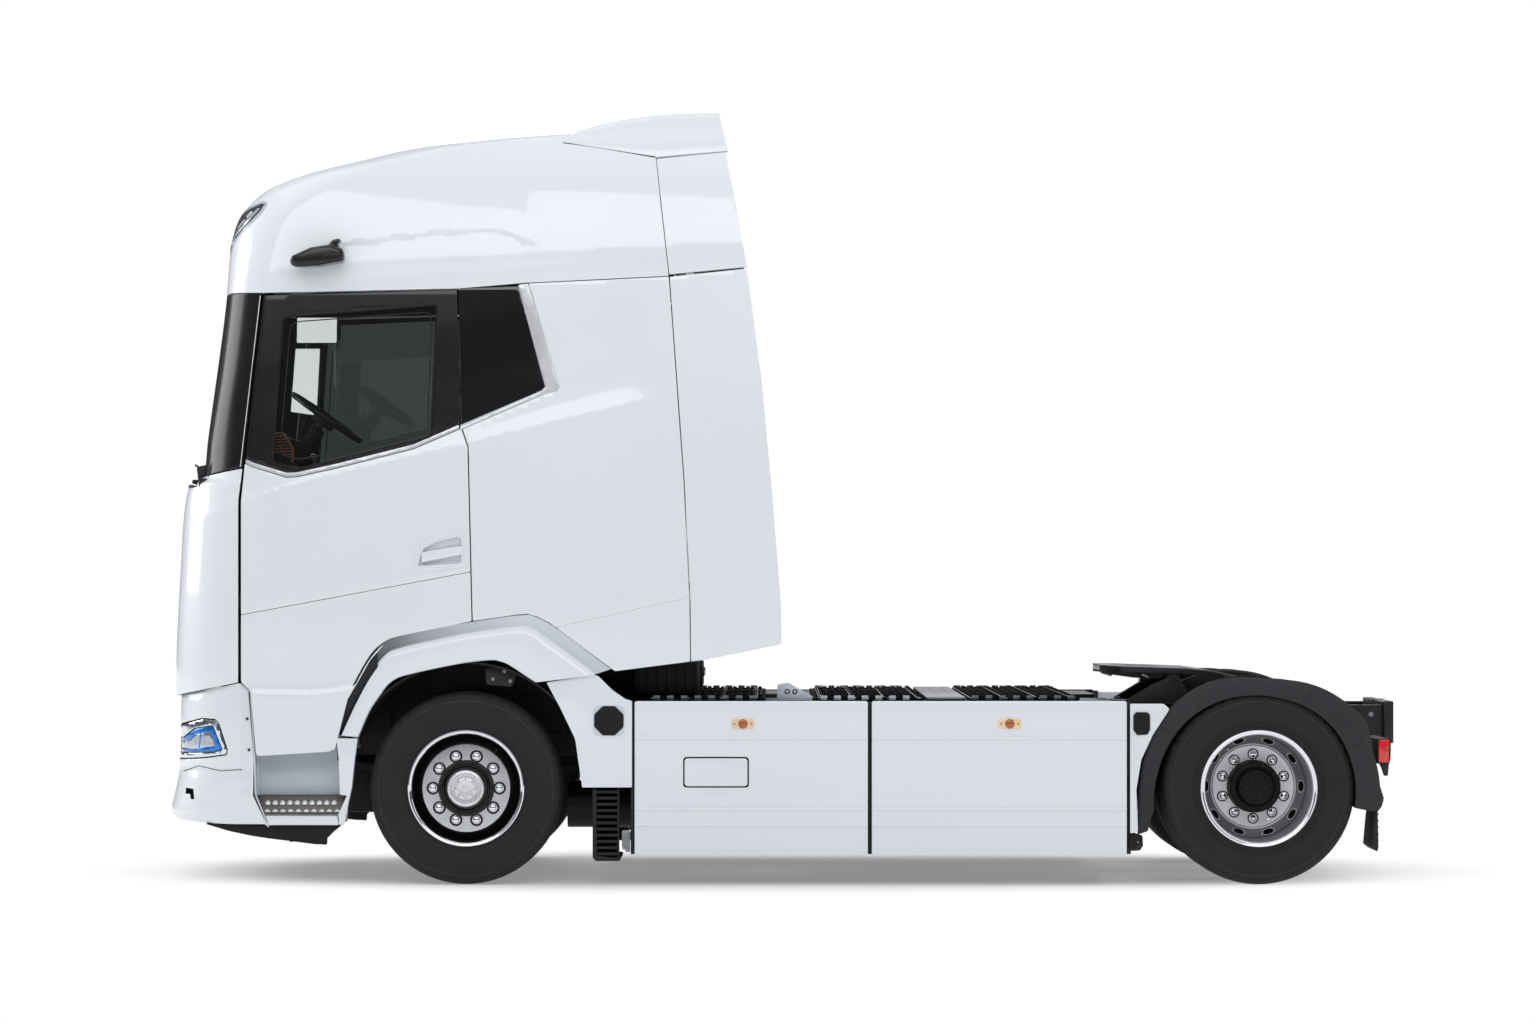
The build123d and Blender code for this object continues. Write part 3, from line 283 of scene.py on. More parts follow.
def weave(name, base, dark, scale=900.0, rough=0.9, bump=0.5, sheen=0.3):
    """Woven cloth: two crossed wave textures, coloured and bumped."""
    m = bpy.data.materials.new(name)
    m.use_nodes = True
    t = m.node_tree
    b = t.nodes["Principled BSDF"]
    b.inputs["Roughness"].default_value = rough
    b.inputs["Sheen Weight"].default_value = sheen
    tc = t.nodes.new("ShaderNodeTexCoord")
    waves = []
    for axis in ("X", "Z"):
        w = t.nodes.new("ShaderNodeTexWave")
        w.wave_type, w.bands_direction = "BANDS", axis
        w.inputs["Scale"].default_value = scale / 6.0
        w.inputs["Distortion"].default_value = 0.6
        w.inputs["Detail"].default_value = 1.0
        t.links.new(tc.outputs["Object"], w.inputs["Vector"])
        waves.append(w)
    mul = t.nodes.new("ShaderNodeMath")
    mul.operation = "MULTIPLY"
    t.links.new(waves[0].outputs["Fac"], mul.inputs[0])
    t.links.new(waves[1].outputs["Fac"], mul.inputs[1])
    n = t.nodes.new("ShaderNodeTexNoise")
    n.inputs["Scale"].default_value = 14
    n.inputs["Detail"].default_value = 5
    t.links.new(tc.outputs["Object"], n.inputs["Vector"])
    add = t.nodes.new("ShaderNodeMath")
    add.operation = "MULTIPLY_ADD"
    add.inputs[1].default_value = 0.55
    t.links.new(mul.outputs[0], add.inputs[0])
    t.links.new(n.outputs["Fac"], add.inputs[2])
    r = t.nodes.new("ShaderNodeValToRGB")
    r.color_ramp.elements[0].position, r.color_ramp.elements[1].position = 0.35, 0.95
    r.color_ramp.elements[0].color = (*srgb(dark), 1)
    r.color_ramp.elements[1].color = (*srgb(base), 1)
    t.links.new(add.outputs[0], r.inputs["Fac"])
    t.links.new(r.outputs["Color"], b.inputs["Base Color"])
    bp = t.nodes.new("ShaderNodeBump")
    bp.inputs["Strength"].default_value = bump
    bp.inputs["Distance"].default_value = 0.001
    t.links.new(mul.outputs[0], bp.inputs["Height"])
    t.links.new(bp.outputs["Normal"], b.inputs["Normal"])
    return m


SEATCLOTH = weave("seat_weave", "3d3f44", "202125")
PILLOW = weave("pillow_weave", "b9bcc2", "8c8f96", scale=800)
MATTRESS = weave("mattress_weave", "767a80", "54575c", scale=700)
FLOORM = material("studio_floor", "f6f6f7", 0.6, var=0.004, rough_var=0.02, bump=0.0, spec=0.2)
ft = FLOORM.node_tree
f_out, f_bsdf = ft.nodes["Material Output"], ft.nodes["Principled BSDF"]
f_tc = ft.nodes.new("ShaderNodeTexCoord")
f_sc = ft.nodes.new("ShaderNodeVectorMath")
f_sc.operation = "MULTIPLY"
f_sc.inputs[1].default_value = (0.53, 1.0, 1.0)
f_len = ft.nodes.new("ShaderNodeVectorMath")
f_len.operation = "LENGTH"
f_mr = ft.nodes.new("ShaderNodeMapRange")
f_mr.interpolation_type = "SMOOTHSTEP"
f_mr.inputs["From Min"].default_value, f_mr.inputs["From Max"].default_value = 1.35, 2.15
f_mr.inputs["To Min"].default_value = 0.26
f_em = ft.nodes.new("ShaderNodeEmission")
f_em.inputs["Color"].default_value = (0.985, 0.987, 0.99, 1)
f_em.inputs["Strength"].default_value = 1.02
f_mix = ft.nodes.new("ShaderNodeMixShader")
ft.links.new(f_tc.outputs["Object"], f_sc.inputs[0])
ft.links.new(f_sc.outputs[0], f_len.inputs[0])
ft.links.new(f_len.outputs["Value"], f_mr.inputs["Value"])
ft.links.new(f_mr.outputs["Result"], f_mix.inputs["Fac"])
ft.links.new(f_bsdf.outputs[0], f_mix.inputs[1])
ft.links.new(f_em.outputs[0], f_mix.inputs[2])
ft.links.new(f_mix.outputs[0], f_out.inputs["Surface"])

fl = bpy.data.meshes.new("floor")
s = 70.0
fl.from_pydata([(-s, -s, 0), (s, -s, 0), (s, s, 0), (-s, s, 0)], [], [(0, 1, 2, 3)])
floor = bpy.data.objects.new("floor", fl)
fl.materials.append(FLOORM)
scene.collection.objects.link(floor)


# ---------------------------------------------------------------- mesh helpers, in millimetres
def link(name, me, body, mats, replaces=()):
    ob = bpy.data.objects.new(name, me)
    scene.collection.objects.link(ob)
    for m in mats:
        me.materials.append(m)
    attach(ob, body)
    if replaces:
        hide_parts(*replaces)
    return ob


def done(bm, name, body, mats, replaces=(), sharp=32.0):
    """Turn a bmesh drawn in millimetres into a piece that rides on a body."""
    bm.normal_update()
    lim = math.radians(sharp)
    for f in bm.faces:
        f.smooth = True
    for e in bm.edges:
        e.smooth = len(e.link_faces) != 2 or e.calc_face_angle(0.0) < lim
    bmesh.ops.scale(bm, vec=(0.001,) * 3, verts=bm.verts)
    me = bpy.data.meshes.new(name)
    bm.to_mesh(me)
    bm.free()
    return link(name, me, body, mats, replaces)


def merge(bm, t, mat=0):
    for f in t.faces:
        if mat:
            f.material_index = mat
    me = bpy.data.meshes.new("scratch")
    t.to_mesh(me)
    t.free()
    bm.from_mesh(me)
    bpy.data.meshes.remove(me)
    return bm


def mirror_y(t):
    """A mirrored copy about the centre plane."""
    c = t.copy()
    for v in c.verts:
        v.co.y = -v.co.y
    bmesh.ops.reverse_faces(c, faces=c.faces)
    return c


def prism(bm, pts, axis, a, b, r=3.0, seg=2, mat=0, both=False):
    """A 2-D outline made solid from a to b along an axis, with rounded edges."""
    t = bmesh.new()

    def at(u, v, w):
        return {"x": (w, u, v), "y": (u, w, v), "z": (u, v, w)}[axis]

    lo = [t.verts.new(at(u, v, a)) for u, v in pts]
    hi = [t.verts.new(at(u, v, b)) for u, v in pts]
    n = len(pts)
    t.faces.new(lo)
    t.faces.new(hi[::-1])
    for i in range(n):
        j = (i + 1) % n
        t.faces.new((lo[j], lo[i], hi[i], hi[j]))
    bmesh.ops.recalc_face_normals(t, faces=t.faces)
    t.normal_update()
    if r:
        es = [e for e in t.edges if e.calc_face_angle(0) > math.radians(35)]
        bmesh.ops.bevel(t, geom=es, offset=r, segments=seg, profile=0.5, affect="EDGES", clamp_overlap=True)
    if both:
        merge(bm, mirror_y(t), mat)
    merge(bm, t, mat)
    return bm


def box(bm, x0, x1, y0, y1, z0, z1, r=3.0, seg=2, mat=0, both=False):
    return prism(bm, [(x0, z0), (x1, z0), (x1, z1), (x0, z1)], "y", y0, y1, r, seg, mat, both)


def rod(bm, p0, p1, r0, r1=None, seg=24, mat=0, both=False, r=0.0):
    """A round bar, or a cone, between two points."""
    r1 = r0 if r1 is None else r1
    p0, p1 = Vector(p0), Vector(p1)
    t = bmesh.new()
    bmesh.ops.create_cone(t, cap_ends=True, segments=seg, radius1=r0, radius2=r1, depth=(p1 - p0).length)
    if r:
        es = [e for e in t.edges if e.calc_face_angle(0) > math.radians(50)]
        bmesh.ops.bevel(t, geom=es, offset=r, segments=2, profile=0.5, affect="EDGES", clamp_overlap=True)
    q = (p1 - p0).to_track_quat("Z", "Y").to_matrix().to_4x4()
    t.transform(Matrix.Translation((p0 + p1) / 2) @ q)
    if both:
        merge(bm, mirror_y(t), mat)
    merge(bm, t, mat)
    return bm


def pipe(bm, pts, r, seg=12, mat=0, both=False, closed=False):
    """A round tube along a line of points."""
    t = bmesh.new()
    P = [Vector(p) for p in pts]
    n = len(P)
    rings = []
    up = Vector((0, 0, 1))
    prev = None
    for i in range(n):
        a = P[(i - 1) % n] if closed or i else P[0]
        c = P[(i + 1) % n] if closed or i < n - 1 else P[-1]
        d = (c - a).normalized()
        if prev is None:
            side = d.cross(up)
            if side.length < 0.1:
                side = d.cross(Vector((0, 1, 0)))
        else:
            side = prev - d * prev.dot(d)
        side.normalize()
        prev = side.copy()
        nrm = side.cross(d)
        rings.append([t.verts.new(P[i] + (side * math.cos(k * math.tau / seg) + nrm * math.sin(k * math.tau / seg)) * r)
                      for k in range(seg)])
    for i in range(n if closed else n - 1):
        A, B = rings[i], rings[(i + 1) % n]
        for k in range(seg):
            t.faces.new((A[k], A[(k + 1) % seg], B[(k + 1) % seg], B[k]))
    if not closed:
        t.faces.new(rings[0])
        t.faces.new(rings[-1][::-1])
    bmesh.ops.recalc_face_normals(t, faces=t.faces)
    if both:
        merge(bm, mirror_y(t), mat)
    merge(bm, t, mat)
    return bm


def lathe(bm, profile, x, z, side=-1, y0=0.0, seg=96, mat=0, mats=None):
    """Revolve a closed loop of (distance outwards, radius) about an axle line parallel to Y."""
    t = bmesh.new()
    n = len(profile)
    rings = []
    for k in range(seg):
        a = k * math.tau / seg
        ca, sa = math.cos(a), math.sin(a)
        rings.append([(x + r * ca, side * (y0 + u), z + r * sa) for u, r in profile])
    vs = [[t.verts.new(p) for p in ring] for ring in rings]
    for k in range(seg):
        A, B = vs[k], vs[(k + 1) % seg]
        for i in range(n):
            j = (i + 1) % n
            if profile[i][1] < 1e-6 and profile[j][1] < 1e-6:
                continue
            f = t.faces.new((A[i], A[j], B[j], B[i]))
            if mats:
                f.material_index = mats[i]
    bmesh.ops.remove_doubles(t, verts=t.verts, dist=0.01)
    bmesh.ops.recalc_face_normals(t, faces=t.faces)
    merge(bm, t, mat)
    return bm


def rounded(pts, radii, n=5):
    """An outline with its corners rounded."""
    out = []
    m = len(pts)
    if not hasattr(radii, "__len__"):
        radii = [radii] * m
    for i in range(m):
        p, a, b = Vector(pts[i]), Vector(pts[i - 1]), Vector(pts[(i + 1) % m])
        r = radii[i]
        if r <= 0:
            out.append(tuple(p))
            continue
        da, db = (a - p), (b - p)
        la, lb = da.length, db.length
        da.normalize(), db.normalize()
        ang = math.acos(max(-1, min(1, da.dot(db))))
        if ang > math.pi - 0.02:
            out.append(tuple(p))
            continue
        d = min(r / math.tan(ang / 2), la * 0.45, lb * 0.45)
        p0, p1 = p + da * d, p + db * d
        for k in range(n + 1):
            s_ = k / n
            q = p0 * (1 - s_) ** 2 + p * 2 * s_ * (1 - s_) + p1 * s_ * s_
            out.append(tuple(q))
    return out


def inset(pts, d):
    """An outline drawn in by d (out for a negative d)."""
    n = len(pts)
    area2 = sum(pts[i][0] * pts[(i + 1) % n][1] - pts[(i + 1) % n][0] * pts[i][1] for i in range(n))
    sgn = 1 if area2 > 0 else -1
    out = []
    for i in range(n):
        a, p, b = Vector(pts[i - 1]), Vector(pts[i]), Vector(pts[(i + 1) % n])
        u, v = (p - a).normalized(), (b - p).normalized()
        nu, nv = Vector((-u.y, u.x)) * sgn, Vector((-v.y, v.x)) * sgn
        m = nu + nv
        if m.length < 0.2:
            out.append(tuple(p + nu * d))
            continue
        m.normalize()
        out.append(tuple(p + m * (d / max(0.3, m.dot(nu)))))
    return out


def inside(pts, x, z):
    """Even-odd test for arrays of points."""
    x, z = np.asarray(x), np.asarray(z)
    r = np.zeros(x.shape, bool)
    n = len(pts)
    for i in range(n):
        x0, z0 = pts[i]
        x1, z1 = pts[(i + 1) % n]
        c = (z0 > z) != (z1 > z)
        with np.errstate(divide="ignore", invalid="ignore"):
            xi = (x1 - x0) * (z - z0) / (z1 - z0 if z1 != z0 else 1e-12) + x0
        r ^= c & (x < xi)
    return r


def pchip(t, v, q):
    """Smooth interpolation with no overshoot, for columns of values."""
    t, v, q = np.asarray(t, float), np.asarray(v, float), np.asarray(q, float)
    h = np.diff(t)[:, None]
    d = np.diff(v, axis=0) / h
    m = np.zeros_like(v)
    w1, w2 = 2 * h[1:] + h[:-1], h[1:] + 2 * h[:-1]
    same = d[:-1] * d[1:] > 0
    with np.errstate(divide="ignore", invalid="ignore"):
        hm = (w1 + w2) / (w1 / d[:-1] + w2 / d[1:])
    m[1:-1] = np.where(same, hm, 0)
    m[0], m[-1] = d[0], d[-1]
    k = np.clip(np.searchsorted(t, q, "right") - 1, 0, len(t) - 2)
    s_ = ((q - t[k]) / h[k, 0])[:, None]
    hk = h[k]
    return ((1 + 2 * s_) * (1 - s_) ** 2 * v[k] + s_ * (1 - s_) ** 2 * hk * m[k]
            + s_ ** 2 * (3 - 2 * s_) * v[k + 1] + s_ ** 2 * (s_ - 1) * hk * m[k + 1])


# ---------------------------------------------------------------- cab skin
BOW = 12000.0
# columns: height, front at the centre plane, half width, corner radius
CAB_ROWS = np.array([
    (640, -3221, 1240, 340), (990, -3221, 1243, 340), (1625, -3196, 1245, 340), (2059, -3152, 1245, 340),
    (2104, -3080, 1245, 300), (2300, -3055, 1241, 300), (3070, -2955, 1198, 280), (3272, -2938, 1184, 300),
    (3432, -2902, 1168, 330), (3597, -2781, 1138, 370), (3683, -2630, 1108, 400), (3765, -2373, 1062, 450),
    (3853, -2000, 985, 480), (3918, -1250, 860, 500), (3926, -640, 640, 300)], float)
BUMPER_ROWS = np.array([
    (240, -3060, 1205, 270), (292, -3142, 1222, 290), (328, -3205, 1235, 310), (372, -3245, 1243, 330),
    (400, -3242, 1244, 330), (449, -3229, 1245, 330), (605, -3204, 1245, 330), (815, -3200, 1245, 330),
    (1050, -3184, 1243, 330)], float)


def levels(rows, step):
    """Rows of (height, front, half width, corner radius) at even steps up the centre line."""
    t = np.concatenate([[0], np.cumsum(np.hypot(np.diff(rows[:, 0]), np.diff(rows[:, 1])))])
    q = []
    for a, b in zip(t[:-1], t[1:]):
        n = max(2, int(math.ceil((b - a) / step)))
        q += list(np.linspace(a, b, n, endpoint=False))
    q.append(t[-1])
    return pchip(t, rows, q)


def plan(level, back, nf, nc, ns):
    """Half of a plan section, from the front's centre round the left corner to the back."""
    z, xf, w, r = level
    dy = w - r
    xs = xf + BOW - math.sqrt((BOW - r) ** 2 - dy ** 2)
    bx = xf + BOW
    ux, uy = xs - bx, dy
    n = math.hypot(ux, uy)
    ux, uy = ux / n, uy / n
    ty = dy + r * uy
    pts = []
    a1 = math.asin(ty / BOW)
    for k in range(nf):
        a = a1 * k / nf
        pts.append((bx - BOW * math.cos(a), BOW * math.sin(a)))
    th0, th1 = math.atan2(uy, ux), math.pi / 2
    for k in range(nc):
        a = th0 + (th1 - th0) * k / nc
        pts.append((xs + r * math.cos(a), dy + r * math.sin(a)))
    for k in range(ns + 1):
        pts.append((xs + (back - xs) * k / ns, w))
    return [(x, -y, z) for x, y in pts]


def side_out(x, z, rows=CAB_ROWS):
    """The skin's y on the left at a point of the side view, before relief."""
    z = min(max(z, rows[0, 0]), rows[-1, 0])
    F, W, R = (np.interp(z, rows[:, 0], rows[:, i]) for i in (1, 2, 3))
    dy = W - R
    xs = F + BOW - math.sqrt((BOW - R) ** 2 - dy ** 2)
    if x >= xs:
        return -W
    if x > xs - R:
        return -(dy + math.sqrt(max(0.0, R * R - (xs - x) ** 2)))
    return -dy


def line_at(line, x):
    return np.interp(x, [p[0] for p in line], [p[1] for p in line])


def ss(a, b, x):
    t = np.clip((np.asarray(x, float) - a) / (b - a), 0, 1)
    return t * t * (3 - 2 * t)


BELT = [(-2790, 2196), (-2752, 2177), (-2577, 2124), (-2521, 2127), (-2321, 2171), (-1922, 2271), (-1678, 2377), (-1260, 2552)]
SHOULDER = [(-3200, 1860), (-2943, 1923), (-2505, 2073), (-2200, 2145), (-1681, 2268), (-1645, 2276), (-1187, 2397), (-754, 2500)]
SILL = [(-2814, 985), (-2747, 1010), (-2620, 1008), (-2445, 1004), (-2340, 1016), (-2228, 1036)]
BROW = [(-2420, 3300), (-2273, 3314), (-2150, 3329), (-2026, 3345), (-1903, 3360), (-1779, 3371), (-1655, 3381), (-1532, 3386), (-1460, 3380),
        (-1408, 3362), (-1300, 3309)]
LIP = [(-2960, 3135), (-2763, 3139), (-2639, 3154), (-2400, 3176), (-2145, 3195), (-2021, 3206), (-1898, 3216), (-1774, 3221), (-1650, 3232),
       (-1527, 3237), (-1403, 3242), (-1280, 3252), (-1000, 3270), (-754, 3290), (-445, 3299), (-200, 3312)]
LIP_BACK = [(-1346, 3152), (-605, 3188), (-200, 3232)]


def crisp(s, length):
    """A rise that starts with an edge and ends softly."""
    return 1 - (1 - np.clip(s / length, 0, 1)) ** 2


def relief(x, z):
    """How far the side skin stands out of its plain form: shoulder line, sill, roof brow and roof lip."""
    x, z = np.asarray(x, float), np.asarray(z, float)
    out = np.zeros_like(x)
    s_ = z - line_at(SHOULDER, x)
    fade = ss(-3200, -3080, x) * (1 - ss(-900, -560, x))
    out += np.where(s_ > 0, -14.0 * crisp(s_, 150) * (1 - ss(320, 680, s_)) * fade, 0)
    b_ = line_at(SILL, x) - z
    out += 12.0 * ss(-6, 26, b_) * ss(-2860, -2740, x) * (1 - ss(-2260, -2190, x)) * (1 - ss(260, 330, b_) * 0.3)
    r_ = z - line_at(BROW, x)
    rf = ss(-2440, -2270, x) * (1 - ss(-1345, -1295, x))
    out += np.where(r_ > 0, 9.0 * (1 - ss(30, 280, r_)), 9.0 * (1 - ss(0, 15, -r_))) * rf
    l_ = z - line_at(LIP, x)
    out += np.where(l_ > 0, 12.0 * (1 - ss(0, 320, l_)), 12.0 * (1 - crisp(-l_, 96) * 0 - np.clip(-l_ / 90.0, 0, 1))) * ss(-2960, -2760, x)
    return out


def skin_mesh(rows, step, back, nf, nc, ns, creases=(), shape=None):
    """The left half of a skin as one fine mesh, with lines cut in along its creases."""
    lv = levels(rows, step)
    bm = bmesh.new()
    grid = [[bm.verts.new(p) for p in plan(l, back, nf, nc, ns)] for l in lv]
    for A, B in zip(grid[:-1], grid[1:]):
        for k in range(len(A) - 1):
            bm.faces.new((A[k], A[k + 1], B[k + 1], B[k]))
    for line in creases:
        for p, q in zip(line[:-1], line[1:]):
            cut_line(bm, p, q, 12, side=True)
    bm.normal_update()
    if shape:
        co = np.array([v.co for v in bm.verts])
        no = np.array([v.normal for v in bm.verts])
        w = ss(0.35, 0.85, -no[:, 1])
        d = shape(co[:, 0], co[:, 2]) * w
        for v, n, k in zip(bm.verts, no, d):
            v.co += Vector(n) * k
    bm.normal_update()
    return bm


def cut_line(bm, p, q, margin=30.0, side=False):
    """Cut the mesh along one side-view edge, near that edge only."""
    x0, x1 = min(p[0], q[0]) - margin, max(p[0], q[0]) + margin
    z0, z1 = min(p[1], q[1]) - margin, max(p[1], q[1]) + margin
    faces = []
    for f in bm.faces:
        lo_x = min(v.co.x for v in f.verts)
        if lo_x > x1:
            continue
        if max(v.co.x for v in f.verts) < x0:
            continue
        if min(v.co.z for v in f.verts) > z1 or max(v.co.z for v in f.verts) < z0:
            continue
        if side and f.normal.y > -0.3 and f.calc_center_median().y > -900:
            continue
        faces.append(f)
    if not faces:
        return
    geom = set(faces)
    for f in faces:
        geom.update(f.edges)
        geom.update(f.verts)
    d = Vector((q[0] - p[0], 0, q[1] - p[1]))
    if d.length < 0.01:
        return
    no = Vector((-d.z, 0, d.x)).normalized()
    bmesh.ops.bisect_plane(bm, geom=list(geom), dist=0.05, plane_co=(p[0], 0, p[1]), plane_no=no)


def crop(bm, x0, x1, z0, z1):
    kill = [f for f in bm.faces
            if max(v.co.x for v in f.verts) < x0 or min(v.co.x for v in f.verts) > x1
            or max(v.co.z for v in f.verts) < z0 or min(v.co.z for v in f.verts) > z1]
    bmesh.ops.delete(bm, geom=kill, context="FACES")


def keep(bm, pts, outside=False):
    """Cut a mesh to the inside (or the outside) of a side-view outline."""
    if not outside:
        xs, zs = [p[0] for p in pts], [p[1] for p in pts]
        crop(bm, min(xs) - 5, max(xs) + 5, min(zs) - 5, max(zs) + 5)
    n = len(pts)
    for i in range(n):
        cut_line(bm, pts[i], pts[(i + 1) % n])
    c = [f.calc_center_median() for f in bm.faces]
    m = inside(pts, [v.x for v in c], [v.z for v in c])
    if outside:
        m = ~m
    kill = [f for f, k in zip(bm.faces[:], m) if not k]
    bmesh.ops.delete(bm, geom=kill, context="FACES")
    return bm


def drop_small(bm):
    bmesh.ops.remove_doubles(bm, verts=bm.verts, dist=0.6)
    bmesh.ops.dissolve_degenerate(bm, edges=bm.edges, dist=0.3)


def shell(bm, depth=40.0, lip=2.5, rim_mat=1, in_mat=1, closed=True, open_y=None):
    """Give a cut skin its rounded edge, its returned flange and its inner face.
    open_y keeps the edge at the centre plane open, to be joined to its mirror image."""
    drop_small(bm)
    bm.normal_update()
    outer = list(bm.faces)
    vn = {v: v.normal.copy() for v in bm.verts}
    edges = [e for e in bm.edges if e.is_boundary
             and not (open_y is not None and all(abs(v.co.y - open_y) < 0.5 for v in e.verts))]
    outward = {}
    for e in edges:
        f = e.link_faces[0]
        mid = (e.verts[0].co + e.verts[1].co) / 2
        d = (e.verts[1].co - e.verts[0].co)
        o = d.cross(f.normal)
        if o.length < 1e-9:
            continue
        o.normalize()
        if o.dot(f.calc_center_median() - mid) > 0:
            o.negate()
        for v in e.verts:
            outward.setdefault(v, Vector()).__iadd__(o)
    for v in outward:
        outward[v].normalize()
        if open_y is not None and abs(v.co.y - open_y) < 0.5:
            outward[v].y = 0
            vn[v].y = 0
            if outward[v].length > 1e-6:
                outward[v].normalize()
            vn[v].normalize()
    rings = [(0.75 * lip, 0.3 * lip, 0), (lip, lip, 0), (lip, depth, rim_mat)]
    src = {v: v for v in outward}
    cur = edges
    base = {v: (v.co.copy(), vn[v], outward[v]) for v in outward}
    for o_, d_, mt in rings:
        new = {}
        for v in src:
            p, n, o = base[v]
            new[v] = bm.verts.new(p + o * o_ - n * d_)
        nxt = []
        for e in edges:
            a, b = e.verts
            if a not in src or b not in src:
                continue
            f0 = e.link_faces[0]
            try:
                f = bm.faces.new((src[a], src[b], new[b], new[a]))
            except ValueError:
                continue
            f.material_index = mt
            nxt.append(f)
        src = new
    if closed:
        cp = {}
        for v in vn:
            if v in src:
                cp[v] = src[v]
            else:
                cp[v] = bm.verts.new(v.co - vn[v] * depth)
        for f in outer:
            try:
                g = bm.faces.new([cp[v] for v in reversed(f.verts)])
                g.material_index = in_mat
            except ValueError:
                pass
    bmesh.ops.recalc_face_normals(bm, faces=bm.faces)
    return bm


def join_halves(bm):
    """Weld a left half to its mirror image at the centre plane."""
    m = mirror_y(bm)
    merge(bm, m)
    mid = [v for v in bm.verts if abs(v.co.y) < 1.0]
    for v in mid:
        v.co.y = 0.0
    bmesh.ops.remove_doubles(bm, verts=mid, dist=0.05)
    return bm


G = 3.2                                  # half a shut line
base = skin_mesh(CAB_ROWS, 27, 40, 36, 18, 104,
                 creases=[SHOULDER, [(a, b - 22) for a, b in SHOULDER], SILL, [(a, b - 26) for a, b in SILL], BROW,
                          [(a, b - 15) for a, b in BROW], LIP],
                 shape=relief)

DOOR = rounded([(-2701, 3046), (-2799, 2150), (-2814, 1985), (-2814, 1045), (-2763, 1000), (-2735, 662),
                (-2360, 685), (-2322, 700), (-2258, 955), (-2140, 1161), (-2047, 1264), (-1619, 1359), (-1640, 2258),
                (-1676, 2361), (-1697, 3076)],
               [8, 300, 300, 30, 30, 22, 40, 25, 60, 60, 50, 12, 30, 60, 8], 3)
QUARTER_OUT = [(-1697, 3080), (-1676, 2361), (-1644, 2290), (-1260, 2552), (-1245, 2571), (-1385, 3092)]
SIDE = [(-1697, 3076), (-1676, 2361), (-1640, 2258), (-1619, 1359), (-1600, 1362), (-1383, 1393), (-1333, 1396),
        (-1282, 1381), (-1221, 1350), (-960, 1156), (-905, 1116), (-883, 1101), (-494, 1151), (-497, 1470), (-528, 2088),
        (-605, 3142), (-1346, 3106)]
SCREEN = [(-3400, 2106), (-3060, 2106), (-2803, 2152), (-2709, 3046), (-2701, 3054), (-3400, 3072)]
CORNER = [(-3400, 954), (-3184, 969), (-2822, 1043), (-2822, 1985), (-2803, 2152), (-3060, 2106), (-3060, 2059),
          (-3400, 2059)]
LID = [(-3400, 968), (-3184, 977), (-3060, 1002), (-3060, 2051), (-3400, 2051)]
ROOF = [(-3400, 3072), (-2701, 3054), (-1697, 3076), (-1346, 3106), (-605, 3142), (-676, 3777), (-690, 4100), (-3400, 4100)]
LOW_DEFLECTOR = rounded([(-605, 3142), (-528, 2088), (-497, 1470), (-494, 1151), (-430, 1158), (-28, 1240), (-23, 1264),
                         (-28, 1470), (-69, 1985), (-126, 2603), (-203, 3184)], [0, 0, 0, 0, 0, 40, 40, 0, 0, 0, 10], 3)
HIGH_DEFLECTOR = [(-607, 3150), (-202, 3189), (-311, 3800), (-480, 3784), (-676, 3762)]
FRAME_HOLE = rounded([(-2600, 2936), (-1806, 2996), (-1800, 2974), (-1830, 2310), (-2330, 2185), (-2505, 2146), (-2655, 2170)],
                     [40, 30, 10, 20, 60, 60, 50], 4)


def panel(polys, name_l, name_r, body_l, body_r, mats, nodes_l, nodes_r, depth=40, holes=(), gap=G, both_in_one=False,
          src=None, half=None, extra=None, lip=2.5, rim=1):
    """Cut one or more outlines from the skin, thicken them and make the left and right pieces."""
    bm = bmesh.new()
    for k, pts in enumerate(polys):
        t = (src or base).copy()
        keep(t, inset(pts, gap + lip) if gap is not None else pts)
        for h in holes:
            keep(t, h, outside=True)
        if half is not None:
            t_geom = t.verts[:] + t.edges[:] + t.faces[:]
            bmesh.ops.bisect_plane(t, geom=t_geom, dist=0.05, plane_co=(0, -half[0], 0), plane_no=(0, 1, 0),
                                   clear_outer=half[1] == "outside", clear_inner=half[1] == "inside")
        shell(t, depth, lip, rim_mat=rim)
        merge(bm, t)
    if extra:
        extra(bm)
    if both_in_one:
        r = mirror_y(bm)
        merge(bm, r)
        return done(bm, name_l, body_l, mats, nodes_l)
    r = mirror_y(bm)
    done(r, name_r, body_r, mats, nodes_r)
    return done(bm, name_l, body_l, mats, nodes_l)


def split_by(pts, line, above):
    """The part of an outline above or below a line that crosses it twice."""
    sg = 1 if above else -1

    def val(p):
        return (p[1] - line_at(line, p[0])) * sg
    n = len(pts)
    seq, cross = [], []
    for i in range(n):
        a, b = pts[i], pts[(i + 1) % n]
        va, vb = val(a), val(b)
        if va >= 0:
            seq.append(a)
        if (va >= 0) != (vb >= 0):
            lo, hi = 0.0, 1.0
            for _ in range(40):
                m = (lo + hi) / 2
                if (val((a[0] + (b[0] - a[0]) * m, a[1] + (b[1] - a[1]) * m)) >= 0) == (va >= 0):
                    lo = m
                else:
                    hi = m
            p = (a[0] + (b[0] - a[0]) * lo, a[1] + (b[1] - a[1]) * lo)
            cross.append((len(seq), p, va >= 0))
            seq.append(p)
    x0, x1 = sorted(c[1][0] for c in cross)
    mids = [q for q in line if x0 + 6 < q[0] < x1 - 6]
    out = []
    for k, p in enumerate(seq):
        out.append(p)
        for c in cross:
            if c[0] == k and c[2]:
                out += sorted(mids, key=lambda q: q[0], reverse=p[0] > (x0 + x1) / 2)
    return out


